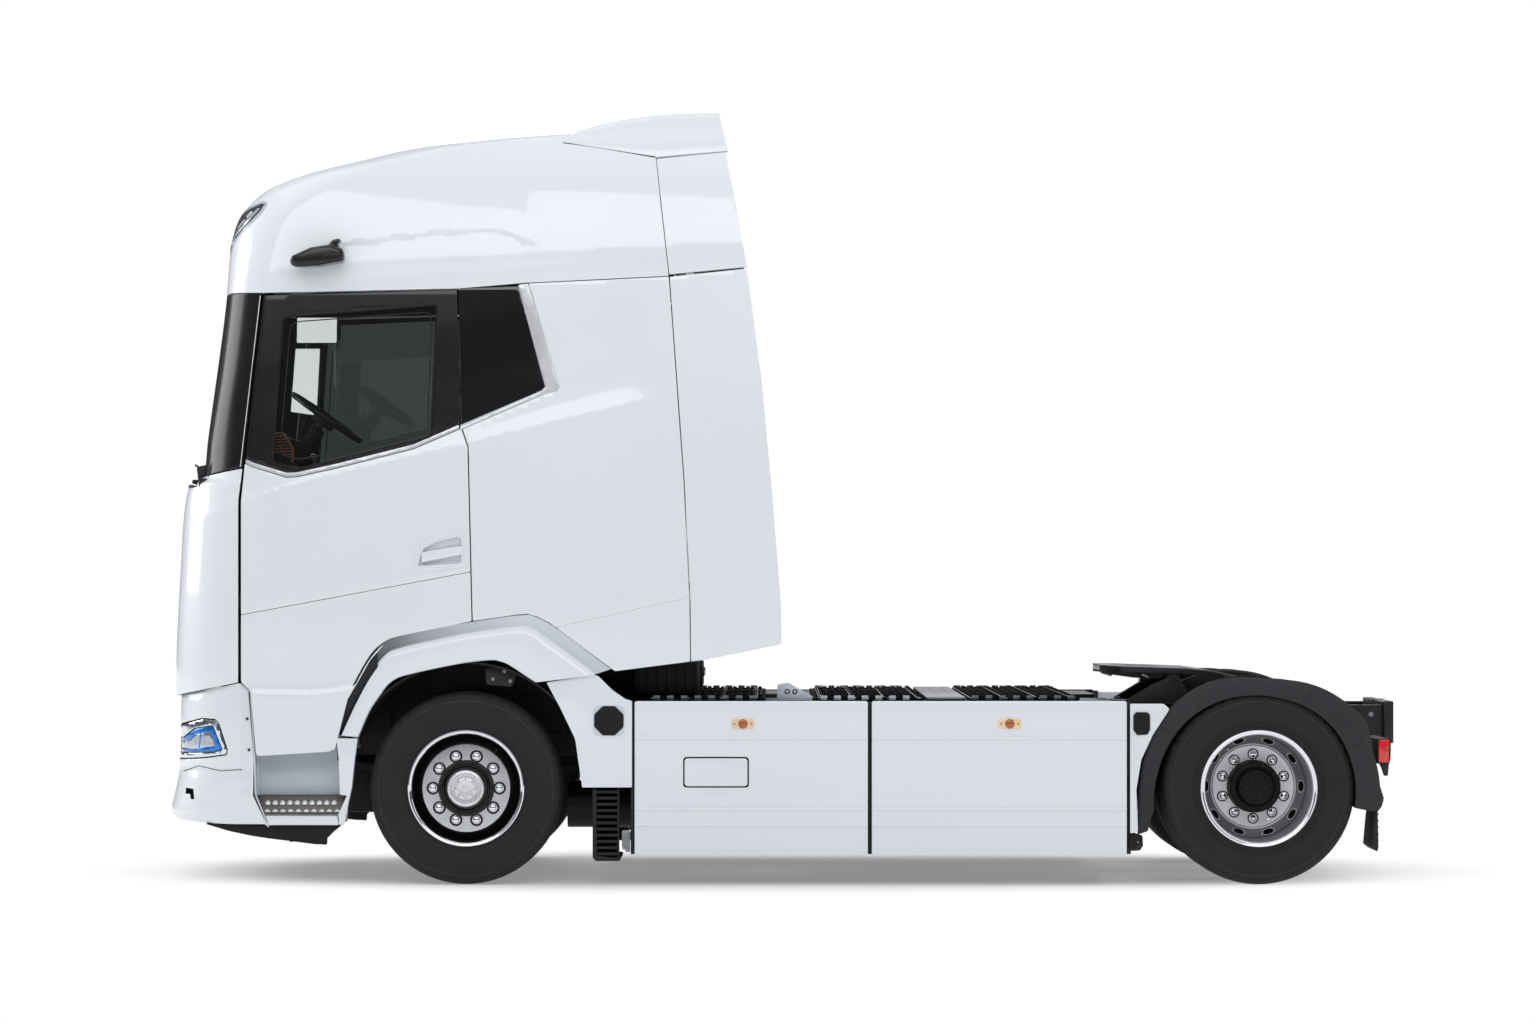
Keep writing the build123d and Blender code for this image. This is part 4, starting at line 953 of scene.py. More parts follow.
QUARTER_HOLE = [(-1700, 3110), (-1676, 2361), (-1688, 2340), (-1235, 2533), (-1179, 2546), (-1169, 2571), (-1331, 3112)]
DOOR_LOW = [(-2830, 1390), (-2700, 1414), (-2300, 1489), (-1900, 1564), (-1600, 1620)]
SIDE_LOW = [(-1230, 1318), (-1202, 1326), (-497, 1486), (-450, 1496)]
CUP = rounded([(-1907, 1640), (-1872, 1738), (-1800, 1775), (-1690, 1800), (-1672, 1784), (-1672, 1668), (-1690, 1655)],
              [20, 30, 40, 14, 14, 14, 14], 4)

door_paint = split_by(DOOR, [(x, z - 20) for x, z in BELT], above=False)
door_black = split_by(DOOR, [(x, z + 2) for x, z in BELT], above=True)
door_upper = split_by(door_paint, [(x, z - 2.0) for x, z in DOOR_LOW], above=True)
door_under = split_by(door_paint, [(x, z + 2.0) for x, z in DOOR_LOW], above=False)


def cup_parts(bm):
    """The door's grip: a recess with a bar across it."""
    y = side_out(-1790, 1720)
    pts = inset(CUP, -1.0)
    t = bmesh.new()
    n = len(pts)
    rings = []
    for d, o in ((0, 0), (3, -1.5), (16, -7), (26, -16)):
        ring = inset(CUP, -o - 0.5)
        rings.append([t.verts.new((x, y + d + 0.5, z)) for x, z in ring])
    for A, B in zip(rings[:-1], rings[1:]):
        for i in range(n):
            t.faces.new((A[i], A[(i + 1) % n], B[(i + 1) % n], B[i]))
    t.faces.new(rings[-1][::-1])
    bmesh.ops.recalc_face_normals(t, faces=t.faces)
    for f in t.faces:
        f.normal_flip() if f.normal.y > 0.5 else None
    merge(bm, t)
    bar = [(-1842, 1722), (-1700, 1746), (-1668, 1748), (-1668, 1706), (-1700, 1700), (-1842, 1672), (-1880, 1662), (-1880, 1714)]
    prism(bm, rounded(bar, 8, 3), "y", y - 5, y + 12, 4, 3)
    # raised rim round the recess
    ring = inset(CUP, -16)
    line = [(x, side_out(x, z) - 0.5 + relief(x, z) * -1, z) for x, z in ring]
    pipe(bm, line, 5.0, 10, closed=True)


panel([door_upper, door_under], "left_door_skin", "right_door_skin", "left_door", "right_door", [PAINT, SEAL],
      ["left_door"], ["right_door"], depth=38, holes=[CUP], extra=cup_parts)
panel([door_black], "left_door_frame", "right_door_frame", "left_door", "right_door", [BLACK, SEAL],
      [], [], depth=38, holes=[FRAME_HOLE])

side_top = split_by(SIDE, [(x, z - 2.0) for x, z in SIDE_LOW], above=True)
side_bot = split_by(SIDE, [(x, z + 2.0) for x, z in SIDE_LOW], above=False)
panel([side_top, side_bot], "cab_side_panels", None, "chassis", None, [PAINT, SEAL], ["cab_sides"], None,
      depth=42, holes=[QUARTER_HOLE], both_in_one=True, rim=0, gap=2.3)
panel([LOW_DEFLECTOR, HIGH_DEFLECTOR], "side_deflector_skins", None, "chassis", None, [PAINT, TRIM],
      ["side_deflectors"], None, depth=34, both_in_one=True, rim=0, gap=2.3)
panel([CORNER], "corner_panel_skins", None, "chassis", None, [PAINT, SEAL], ["corner_panels"], None, depth=42,
      half=(904 + 3, "outside"), both_in_one=True)


def centre_panel(pts, name, body, mats, nodes, depth=40, gap=G, half=None, lip=2.5, extra=None, holes=(), src=None, rim=1):
    t = (src or base).copy()
    keep(t, inset(pts, gap + lip))
    for h in holes:
        keep(t, h, outside=True)
    if half is not None:
        bmesh.ops.bisect_plane(t, geom=t.verts[:] + t.edges[:] + t.faces[:], dist=0.05, plane_co=(0, -half, 0),
                               plane_no=(0, -1, 0), clear_outer=True)
    shell(t, depth, lip, rim_mat=rim, open_y=0.0)
    join_halves(t)
    if extra:
        extra(t)
    return done(t, name, body, mats, nodes)


centre_panel(ROOF, "roof_skin", "chassis", [PAINT, SEAL], ["roof"], depth=40, rim=0, gap=2.3)
centre_panel(LID, "front_lid_skin", "front_panel", [PAINT, SEAL], ["front_panel"], depth=40, half=900 - 3)


# ---------------------------------------------------------------- more skin helpers
def band(lo, hi, x0, x1, n=40):
    """The closed outline between two lines, from x0 to x1."""
    xs = list(np.linspace(x0, x1, n))
    return [(x, line_at(lo, x)) for x in xs] + [(x, line_at(hi, x)) for x in reversed(xs)]


def push(bm, d):
    """Move a skin along its own normals."""
    bm.normal_update()
    m = {v: v.normal.copy() for v in bm.verts}
    for v, n in m.items():
        v.co += n * d
    return bm


def slice_y(bm, y, keep_outside=True):
    """Keep what lies further out than y on the left, or further in."""
    bmesh.ops.bisect_plane(bm, geom=bm.verts[:] + bm.edges[:] + bm.faces[:], dist=0.05, plane_co=(0, -y, 0),
                           plane_no=(0, 1, 0), clear_outer=keep_outside, clear_inner=not keep_outside)
    return bm


def hole_out(bm, pts, y):
    """Cut a side-view outline from the part of a left-hand skin further out than y."""
    n = len(pts)
    for f_side in (0,):
        xs, zs = [p[0] for p in pts], [p[1] for p in pts]
        fs = [f for f in bm.faces if min(v.co.z for v in f.verts) < max(zs) and max(v.co.z for v in f.verts) > min(zs)]
        geom = set(fs)
        for f in fs:
            geom.update(f.edges)
            geom.update(f.verts)
        bmesh.ops.bisect_plane(bm, geom=list(geom), dist=0.05, plane_co=(0, -y, 0), plane_no=(0, 1, 0))
    for i in range(n):
        p, q = pts[i], pts[(i + 1) % n]
        x0, x1 = min(p[0], q[0]) - 25, max(p[0], q[0]) + 25
        z0, z1 = min(p[1], q[1]) - 25, max(p[1], q[1]) + 25
        fs = [f for f in bm.faces if f.calc_center_median().y < -y and min(v.co.x for v in f.verts) < x1
              and max(v.co.x for v in f.verts) > x0 and min(v.co.z for v in f.verts) < z1
              and max(v.co.z for v in f.verts) > z0]
        if not fs:
            continue
        geom = set(fs)
        for f in fs:
            geom.update(f.edges)
            geom.update(f.verts)
        no = Vector((-(q[1] - p[1]), 0, q[0] - p[0])).normalized()
        bmesh.ops.bisect_plane(bm, geom=list(geom), dist=0.05, plane_co=(p[0], 0, p[1]), plane_no=no)
    c = [f.calc_center_median() for f in bm.faces]
    m = inside(pts, [v.x for v in c], [v.z for v in c]) & (np.array([v.y for v in c]) < -y)
    bmesh.ops.delete(bm, geom=[f for f, k in zip(bm.faces[:], m) if k], context="FACES")
    return bm


def piece(bm, pts, src=None, out=None, inn=None, by=0.0, depth=10, lip=1.5, mat=0, rim=None, gap=0.0, closed=True):
    """Add a piece of skin to a left-hand mesh: cut, moved out by `by`, thickened."""
    t = (src or base).copy()
    keep(t, inset(pts, gap) if gap else pts)
    if out is not None:
        slice_y(t, out, True)
    if inn is not None:
        slice_y(t, inn, False)
    if not t.faces:
        t.free()
        return bm
    push(t, by)
    shell(t, depth, lip, rim_mat=mat if rim is None else rim, in_mat=mat if rim is None else rim, closed=closed)
    for f in t.faces:
        if f.material_index == 0:
            f.material_index = mat
    merge(bm, t)
    return bm


def finish_pair(bm, name, body, mats, nodes=(), sharp=32.0):
    r = mirror_y(bm)
    merge(bm, r)
    return done(bm, name, body, mats, nodes, sharp)


def finish_sides(bm, stem, mats, nodes_l=(), nodes_r=(), body="{}_door", name="{}_" + "{}"):
    r = mirror_y(bm)
    done(r, "right_" + stem, body.format("right"), mats, nodes_r)
    done(bm, "left_" + stem, body.format("left"), mats, nodes_l)


# ---------------------------------------------------------------- belt strips and quarter windows
bm = bmesh.new()
strip = band([(x, z - 17) for x, z in BELT], [(x, z - 1) for x, z in BELT], -2786, -1690, 60)
piece(bm, strip, by=2.0, depth=14, lip=3)
finish_sides(bm, "belt_strip", [SILVER])

bm = bmesh.new()
piece(bm, QUARTER_OUT, by=-3, depth=8, mat=1, gap=G)
trim = [(-1381, 3095), (-1335, 3101), (-1173, 2571), (-1183, 2550), (-1236, 2537), (-1680, 2346), (-1680, 2362),
        (-1258, 2546), (-1240, 2567)]
piece(bm, trim, by=1.5, depth=16, lip=3, mat=0)
inner_trim = [(-1384, 3090), (-1372, 3091), (-1233, 2571), (-1250, 2545), (-1680, 2364), (-1680, 2372), (-1260, 2551), (-1244, 2571)]
# the inner trim is in the darker copy of the cab paint: painted shade
piece(bm, inner_trim, by=0.5, depth=14, lip=1, mat=2)
finish_pair(bm, "quarter_windows", "chassis", [SILVER, PRIVACY, PAINTED_SHADE])

# ---------------------------------------------------------------- windscreen, its black border and the corner pillars
t = base.copy()
keep(t, inset(SCREEN, 5))
slice_y(t, 1030, False)
for z in (2190, 3000):
    bmesh.ops.bisect_plane(t, geom=t.verts[:] + t.edges[:] + t.faces[:], dist=0.05, plane_co=(0, 0, z), plane_no=(0, 0, 1))
bmesh.ops.bisect_plane(t, geom=t.verts[:] + t.edges[:] + t.faces[:], dist=0.05, plane_co=(0, -1002, 0), plane_no=(0, 1, 0))
for f in t.faces:
    c = f.calc_center_median()
    f.material_index = 0 if 2190 < c.z < 3000 and c.y > -1002 else 1
push(t, -2)
drop_small(t)
t.normal_update()
cp = {v: None for v in t.verts}
outer_faces = list(t.faces)
nrm = {v: v.normal.copy() for v in t.verts}
rim_edges = [e for e in t.edges if e.is_boundary and not all(abs(v.co.y) < 0.5 for v in e.verts)]
for v in cp:
    cp[v] = t.verts.new(v.co - nrm[v] * 7)
for f in outer_faces:
    g = t.faces.new([cp[v] for v in reversed(f.verts)])
    g.material_index = f.material_index
for e in rim_edges:
    a, b = e.verts
    g = t.faces.new((a, b, cp[b], cp[a]))
    g.material_index = 1
bmesh.ops.recalc_face_normals(t, faces=t.faces)
join_halves(t)
done(t, "windscreen", "chassis", [GLASS, BLACK], ["fixed_glass"])

bm = bmesh.new()
piece(bm, SCREEN, out=1036, by=-2, depth=36, lip=3, mat=0, gap=5)
line = [(-2713, 3046), (-2722, 2960), (-2812, 2152)]
pts3 = []
for k in range(24):
    s_ = k / 23
    z = 3042 + (2158 - 3042) * s_
    x = np.interp(-z, [-3046, -2960, -2152], [-2716, -2725, -2815])
    pts3.append((x, side_out(x, z) - 0.5 + 2, z))
pipe(bm, pts3, 2.2, 8, mat=1)
finish_pair(bm, "pillar_trims", "chassis", [BLACK, SILVER], ["a_pillars"])

# window rubber round the drop glass, proud of the frame by a hair
bm = bmesh.new()
ring = inset(FRAME_HOLE, 4)
pts3 = [(x, side_out(x, z) + 8, z) for x, z in ring]
pipe(bm, pts3, 5.5, 8, closed=True)
ring2 = rounded([(-2560, 2905), (-1832, 2958), (-1852, 2350), (-2330, 2232), (-2500, 2196), (-2612, 2215)], [60, 40, 20, 60, 60, 60], 5)
pts3 = [(x, side_out(x, z) + 16, z) for x, z in ring2]
pipe(bm, pts3, 3.0, 8, mat=1, closed=True)
finish_sides(bm, "window_seal", [SEAL, TRIM])

# ---------------------------------------------------------------- cowl, wipers, bulkhead
bm = bmesh.new()
COWL = [(-3400, 2056), (-3060, 2056), (-3060, 2108), (-3400, 2108)]
t = base.copy()
keep(t, COWL)
slice_y(t, 1180, False)
push(t, -22)
shell(t, 30, 2.5, rim_mat=0, in_mat=0, open_y=0.0)
join_halves(t)
merge(bm, t)
box(bm, -3045, -3002, -1112, 1112, 1052, 2100, r=6)
box(bm, -3110, -3040, -860, 860, 2076, 2098, r=6)
for x, z in ((-3022, 1500), (-3022, 1800), (-3022, 1250)):
    box(bm, -3054, -3040, -1000, 1000, z - 9, z + 9, r=4)
done(bm, "cowl_and_bulkhead", "chassis", [TRIM], ["cab_front"])


def wiper(bm, y0, y1):
    """An arm from its spindle and a blade lying along the foot of the windscreen."""
    def at(y, z, off):
        l = pchip(CAB_ROWS[:, 0], CAB_ROWS, [z])[0]
        xf, w, r = l[1], l[2], l[3]
        bow = BOW - math.sqrt(BOW ** 2 - y ** 2)
        return (xf + bow - off, y, z)
    rod(bm, at(y0, 2092, -12), at(y0, 2092, 8), 17, 14, 20)
    rod(bm, at(y0, 2092, 6), at(y0, 2092, 12), 19, 15, 20)
    arm = [at(y0 + (y1 - y0) * k / 10, 2092 + 40 * (k / 10) ** 0.8, 10 + 3 * math.sin(k / 10 * math.pi)) for k in range(11)]
    pipe(bm, arm, 7, 10)
    blade = [at(y0 + (y1 - y0) * (-0.15 + 1.3 * k / 14), 2124 + 24 * k / 14, 9) for k in range(15)]
    pipe(bm, blade, 7, 8)
    spine = [at(y0 + (y1 - y0) * (0.1 + 0.8 * k / 10), 2130 + 20 * k / 10, 14) for k in range(11)]
    pipe(bm, spine, 4.5, 8)


bm = bmesh.new()
wiper(bm, -880, -150)
wiper(bm, -120, 610)
done(bm, "wipers", "chassis", [RUBBER])

# small washer and grab detail on the left and right of the cowl
bm = bmesh.new()
prism(bm, rounded([(-3060, 2080), (-3058, 2164), (-3020, 2172), (-2992, 2150), (-2996, 2080)], 10, 3), "y", -1010, -950, 5, 2, 0, True)
pipe(bm, [(-3078, -990, 2172), (-3064, -990, 2164), (-3056, -990, 2084)], 6, 8, 0, True)
done(bm, "cowl_brackets", "chassis", [TRIM])

# ---------------------------------------------------------------- roof lamps
ROOF_LAMP = rounded([(-3100, 3262), (-2889, 3272), (-2862, 3335), (-2720, 3476), (-2690, 3528), (-2722, 3542), (-2790, 3520),
                     (-3100, 3400)], [0, 8, 30, 20, 8, 10, 20, 0], 3)
bm = bmesh.new()
# the lamp housing is in the darker copy of the cab paint: painted shade
piece(bm, ROOF_LAMP, out=790, by=2.0, depth=14, lip=4, mat=0)
piece(bm, inset(ROOF_LAMP, 14), out=806, by=3.6, depth=6, lip=1.5, mat=1)
for lo, hi, m in (([(-2886, 3300), (-2868, 3352), (-2760, 3462)], [(-2890, 3316), (-2862, 3372), (-2748, 3490)], 2),):
    pass
bar1 = [(-2884, 3318), (-2866, 3362), (-2800, 3428), (-2742, 3484), (-2732, 3500), (-2742, 3502), (-2808, 3444), (-2878, 3374), (-2890, 3330)]
piece(bm, bar1, out=790, by=5.2, depth=4, lip=1.2, mat=2)
bar2 = [(-2846, 3378), (-2806, 3416), (-2812, 3432), (-2850, 3396)]
bar3 = [(-2792, 3432), (-2764, 3460), (-2776, 3474), (-2802, 3448)]
for b_ in (bar2, bar3):
    piece(bm, [(x - 4, z + 16) for x, z in b_], out=790, by=5.0, depth=4, lip=1.2, mat=3)
finish_pair(bm, "roof_lamps", "chassis", [PAINTED_SHADE, BLACK, CHROME, LENSOFF])

# ---------------------------------------------------------------- camera arms
def loft(bm, rings, mat=0, cap=True):
    t = bmesh.new()
    vs = [[t.verts.new(p) for p in r] for r in rings]
    n = len(rings[0])
    for A, B in zip(vs[:-1], vs[1:]):
        for i in range(n):
            t.faces.new((A[i], A[(i + 1) % n], B[(i + 1) % n], B[i]))
    if cap:
        t.faces.new(vs[0][::-1])
        t.faces.new(vs[-1])
    bmesh.ops.recalc_face_normals(t, faces=t.faces)
    merge(bm, t, mat)
    return bm


ARM = rounded([(-2552, 3236), (-2538, 3262), (-2440, 3306), (-2330, 3322), (-2276, 3300), (-2264, 3262), (-2270, 3232), (-2400, 3206),
               (-2516, 3200), (-2544, 3212)], 26, 5)
ARM = inset(ARM, 2)
cx, cz = -2400, 3248
ARM = [(x, z) for x, z in ARM]
bm = bmesh.new()
rings = []
for y, s_, dx in ((-1120, 0.80, 10), (-1180, 0.84, 8), (-1240, 0.90, 4), (-1300, 0.97, 0), (-1345, 1.0, 0), (-1366, 0.985, 0),
                  (-1378, 0.93, 0), (-1385, 0.84, 0), (-1388, 0.7, 0)):
    rings.append([(cx + (x - cx) * s_ + dx, y, cz - 24 + (z - cz) * s_) for x, z in ARM])
loft(bm, rings)
prism(bm, rounded([(-2400, 3276), (-2352, 3292), (-2330, 3318), (-2300, 3326), (-2288, 3320), (-2304, 3296), (-2292, 3270)], 8, 3), "y",
      -1350, -1262, 5, 2)
prism(bm, rounded([(-2375, 3246), (-2290, 3252), (-2284, 3238), (-2372, 3232)], 5, 2), "y", -1390, -1384, 2, 2, 1)
finish_pair(bm, "camera_arm_shells", "chassis", [BLACK, TRIM], ["camera_arms"])

# ---------------------------------------------------------------- bumper
HEADLAMP = rounded([(-3400, 802), (-3184, 812), (-3140, 834), (-3020, 864), (-2946, 860), (-2922, 836), (-2876, 700), (-2882, 668),
                    (-2960, 656), (-3039, 647), (-3138, 640), (-3400, 640)], [0, 0, 20, 20, 14, 14, 14, 10, 20, 10, 10, 0], 3)
BUMPER = [(-3400, 954), (-3184, 969), (-2822, 1043), (-2772, 998), (-2745, 662), (-2747, 461), (-2700, 361), (-2677, 312),
          (-2856, 313), (-2990, 317), (-3110, 325), (-3400, 330)]
CREASE = [(-3400, 930), (-3180, 938), (-2960, 968), (-2790, 1000)]


def bump_shape(x, z):
    c = line_at(CREASE, x) - z
    out = np.where(c < 0, -7.0 * ss(0, 40, -c), 0)
    low = z - 590
    out = out + np.where(low < 0, 5.0 * ss(0, 25, -low) * (1 - ss(80, 180, -low)), 0)
    edge = ss(-2822, -2790, x) * (z > 480)
    return out - 9.0 * edge * (1 - 0 * x)


base2 = skin_mesh(BUMPER_ROWS, 24, -2600, 36, 22, 44, creases=[[(-3180, 938), (-2960, 968), (-2790, 1000)],
                                                              [(-3124, 590), (-2750, 590)], [(-2818, 1040), (-2790, 700), (-2790, 480)]],
                  shape=bump_shape)
t = base2.copy()
keep(t, inset(BUMPER, 4))
hole_out(t, HEADLAMP, 830)
TOW = rounded([(-3114, 501), (-3063, 497), (-3057, 438), (-3082, 437), (-3087, 466), (-3114, 462)], 6, 3)
hole_out(t, TOW, 840)
shell(t, 34, 3, open_y=0.0)
join_halves(t)
bm = t
done(bm, "bumper_skin", "chassis", [PAINT, SEAL], ["bumper"])

# grey sealing strip set back in the gap between the bumper and the side; its half-shade grey is painted shade standing
# for the bumper's shaded edge
bm = bmesh.new()
GAPL = [(-2816, 1039), (-2763, 997), (-2742, 662), (-2737, 466), (-2690, 352), (-2670, 300)]
for (x0, z0), (x1, z1) in zip(GAPL[:-1], GAPL[1:]):
    L_ = math.hypot(x1 - x0, z1 - z0)
    nx, nz = -(z1 - z0) / L_ * 4.2, (x1 - x0) / L_ * 4.2
    prism(bm, [(x0 + nx, z0 + nz), (x1 + nx, z1 + nz), (x1 - nx, z1 - nz), (x0 - nx, z0 - nz)], "y", -1234, -1216, 1, 1, 0, True)
done(bm, "bumper_edge_seal", "chassis", [PAINTED_HALF_SHADE])

bm = bmesh.new()
piece(bm, inset(HEADLAMP, -4), src=base2, out=826, by=-26, depth=20, lip=2, mat=3)
ch_out = inset(HEADLAMP, 12)
ch = rounded([(-3400, 760), (-3140, 758), (-3067, 808), (-2962, 824), (-2909, 700), (-2960, 683), (-3093, 678), (-3400, 678)],
             [0, 10, 20, 10, 10, 10, 10, 0], 3)


def ring_piece(bm, outer_, inner_, src, out, by, depth, lip, mat):
    t = src.copy()
    keep(t, outer_)
    slice_y(t, out, True)
    hole_out(t, inner_, out + 14)
    push(t, by)
    shell(t, depth, lip, rim_mat=mat, in_mat=mat)
    for f in t.faces:
        if f.material_index == 0:
            f.material_index = mat
    merge(bm, t)


ring_piece(bm, ch_out, inset(ch, -3), base2, 834, -7, 14, 2.5, 0)
lens_o = rounded([(-3400, 742), (-3102, 742), (-3066, 776), (-2984, 792), (-2944, 716), (-3090, 698), (-3400, 698)], [0, 8, 12, 8, 8, 8, 0], 3)
ring_piece(bm, inset(ch, 6), lens_o, base2, 850, -11, 10, 2, 1)
piece(bm, inset(lens_o, 2), src=base2, out=866, by=-15, depth=5, lip=1, mat=2)
# fine lines in the lamp
for k in range(1):
    x = -3050 + k * 44
    piece(bm, [(x, 696), (x + 5, 696), (x + 20, 800), (x + 15, 800)], src=base2, out=866, by=-13.6, depth=2, lip=0.6, mat=1)
finish_pair(bm, "headlamp_units", "chassis", [CHROME, BLUE, LAMP, BLACK], ["headlamps"])

# tow opening liner, rear edge dots, lower seam
bm = bmesh.new()
piece(bm, inset(TOW, -5), src=base2, out=836, by=-30, depth=6, lip=1, mat=0)
for x, z in ((-2779, 858), (-2770, 698)):
    y = side_out(x, z, BUMPER_ROWS)
    rod(bm, (x, y - 1.5, z), (x, y + 8, z), 6.5, 7.0, 16)
seam = [(-3124, 583), (-3035, 614), (-2916, 590), (-2812, 597)]
for a, b in zip(seam[:-1], seam[1:]):
    for k in range(6):
        pass
line = []
for k in range(40):
    x = -3124 + (3124 - 2806) * k / 39
    z = line_at(seam, x)
    line.append((x, side_out(x, z, BUMPER_ROWS) - 0.2, z))
pipe(bm, line, 1.8, 6)
finish_pair(bm, "bumper_details", "chassis", [SEAL])

# grille bars across the bumper front, below the lid
bm = bmesh.new()
front_bar = [(-3400, 560), (-3100, 560), (-3100, 500), (-3400, 500)]
t = base2.copy()
keep(t, front_bar)
slice_y(t, 690, False)
push(t, 1.5)
shell(t, 10, 3, rim_mat=0, in_mat=0, open_y=0.0)
join_halves(t)
merge(bm, t)
for z in (700, 740, 780, 820, 860):
    t = base2.copy()
    keep(t, [(-3400, z), (-3100, z), (-3100, z + 16), (-3400, z + 16)])
    slice_y(t, 700, False)
    push(t, 2.0)
    shell(t, 8, 2, rim_mat=0, in_mat=0, open_y=0.0)
    join_halves(t)
    merge(bm, t)
done(bm, "bumper_grille", "chassis", [BLACK])

# under-lip
bm = bmesh.new()
t = base2.copy()
keep(t, [(-3400, 318), (-3100, 316), (-2870, 277), (-2722, 254), (-2672, 330), (-2856, 334), (-3400, 366)])
push(t, -34)
shell(t, 26, 3, rim_mat=0, in_mat=0, open_y=0.0)
join_halves(t)
merge(bm, t)
prism(bm, rounded([(-2992, 319), (-2688, 306), (-2290, 312), (-2337, 274), (-2371, 240), (-2373, 206), (-2392, 209), (-2430, 210), (-2664, 239),
                   (-2758, 253), (-2875, 278), (-2992, 313)], [2, 4, 4, 6, 6, 6, 6, 20, 20, 20, 20, 2], 3), "y", -1214, -1168, 4, 2, 0, True)
for x in (-2560, -2500, -2440):
    prism(bm, [(x, 222), (x + 14, 221), (x + 14, 232), (x, 233)], "y", -1218, -1208, 2, 1, 0, True)
done(bm, "under_lip", "chassis", [SEAL], ["front_skirt"])

# front lid: fine bars across its centre
bm = bmesh.new()
for z in range(1130, 1560, 46):
    t = base.copy()
    keep(t, [(-3400, z), (-3100, z), (-3100, z + 18), (-3400, z + 18)])
    slice_y(t, 760, False)
    push(t, 3.0)
    shell(t, 10, 3, rim_mat=0, in_mat=0, open_y=0.0)
    join_halves(t)
    merge(bm, t)
# the bars are in the darker copy of the cab paint: painted shade
done(bm, "front_lid_bars", "front_panel", [PAINTED_SHADE])

# ---------------------------------------------------------------- flares over the front wheels
F_OUT = [(-2330, 778), (-2249, 1002), (-2137, 1200), (-2096, 1241), (-2045, 1272), (-1618, 1358), (-1383, 1391), (-1333, 1394),
         (-1282, 1379), (-1221, 1348), (-905, 1114)]
F_HI = [(-2292, 772), (-2222, 925), (-2147, 1063), (-2096, 1134), (-2045, 1185), (-1618, 1287), (-1434, 1312), (-1373, 1317),
        (-1312, 1302), (-1251, 1256), (-1007, 1080)]
F_IN = [(-2207, 764), (-2147, 900), (-2090, 985), (-2055, 1032), (-2005, 1068), (-1638, 1149), (-1540, 1159), (-1506, 1160),
        (-1475, 1154), (-1445, 1144), (-1292, 1046)]


def resample(pts, n):
    p = np.array(pts, float)
    t = np.arange(len(p), dtype=float)
    q = np.linspace(0, len(p) - 1, n)
    return pchip(t, p, q)


N = 90
po, ph, pi_ = resample(F_OUT, N), resample(F_HI, N), resample(F_IN, N)
# columns: how far from outer (0) through the highlight (1) to the inner edge (2), y
SECT = [(0.0, -1186), (0.0, -1243), (0.02, -1246.5), (0.10, -1246), (0.35, -1239), (0.62, -1234), (0.78, -1237), (0.90, -1246),
        (1.0, -1253), (1.12, -1257), (1.35, -1258.5), (1.65, -1257.5), (1.90, -1255), (1.97, -1252), (2.0, -1246), (2.0, -1192)]
bm = bmesh.new()
t = bmesh.new()
rows = []
for k in range(N):
    row = []
    for s_, y in SECT:
        a, b, c = po[k], ph[k], pi_[k]
        q = a + (b - a) * s_ if s_ <= 1 else b + (c - b) * (s_ - 1)
        row.append(t.verts.new((q[0], y, q[1])))
    rows.append(row)
for k in range(N - 1):
    for j in range(len(SECT) - 1):
        f = t.faces.new((rows[k][j], rows[k][j + 1], rows[k + 1][j + 1], rows[k + 1][j]))
        s_ = (SECT[j][0] + SECT[j + 1][0]) / 2
        z = rows[k][j].co.z
        # the bevel faces take painted shade: black trim on the front leg as a painted shadow, the graded flare paint
        # above it and the half-shade paint at its inner edge
        if 0.03 < s_ < (0.97 if k < N * 0.30 else 0.82):
            f.material_index = 2 if k < N * 0.27 else (5 if s_ < 0.82 else 4)
for row in (rows[0][::-1], rows[-1]):
    t.faces.new(row)
for k in range(N - 1):
    t.faces.new((rows[k][0], rows[k + 1][0], rows[k + 1][-1], rows[k][-1]))
bmesh.ops.recalc_face_normals(t, faces=t.faces)
merge(bm, t)
LEG = rounded([(-2318, 757), (-2306, 650), (-2300, 468), (-2264, 463), (-2308, 366), (-2302, 311), (-2282, 311), (-2239, 503), (-2223, 656), (-2209, 757)],
              [4, 60, 8, 5, 8, 5, 8, 60, 60, 4], 4)
prism(bm, LEG, "y", -1256, -1192, 9, 4)
SILL_BAR = rounded([(-2684, 358), (-2314, 358), (-2306, 311), (-2664, 311)], 5, 2)
prism(bm, SILL_BAR, "y", -1252, -1188, 6, 3)
prism(bm, [(-2322, 752), (-2290, 752), (-2290, 640), (-2316, 640)], "y", -1216, -1190, 3, 2, 3)
finish_pair(bm, "arch_flares", "chassis", [PAINT, PAINTED_SHADE, TRIM, SEAL, PAINTED_HALF_SHADE, FLARE_PAINTED_SHADE], ["arch_trims"], sharp=40)

# ---------------------------------------------------------------- steps and their wells
bm = bmesh.new()
tread = [(-1226, 363), (-1228, 380), (-1176, 458), (-1166, 461), (-912, 461), (-912, 440), (-1150, 440), (-1196, 363)]
t = bmesh.new()
L0, L1, R0, R1 = (-2744, 461), (-2696, 363), (-2270, 461), (-2314, 363)
lo, hi = [], []
for y, z in tread:
    s_ = (461 - z) / 98
    lo.append(t.verts.new((L0[0] + (L1[0] - L0[0]) * s_, y, z)))
    hi.append(t.verts.new((R0[0] + (R1[0] - R0[0]) * s_, y, z)))
n = len(tread)
t.faces.new(lo)
t.faces.new(hi[::-1])
for i in range(n):
    j = (i + 1) % n
    t.faces.new((lo[j], lo[i], hi[i], hi[j]))
bmesh.ops.recalc_face_normals(t, faces=t.faces)
bmesh.ops.bevel(t, geom=[e for e in t.edges if e.calc_face_angle(0) > 0.6], offset=3, segments=2, profile=0.5, affect="EDGES",
                clamp_overlap=True)
merge(bm, t)
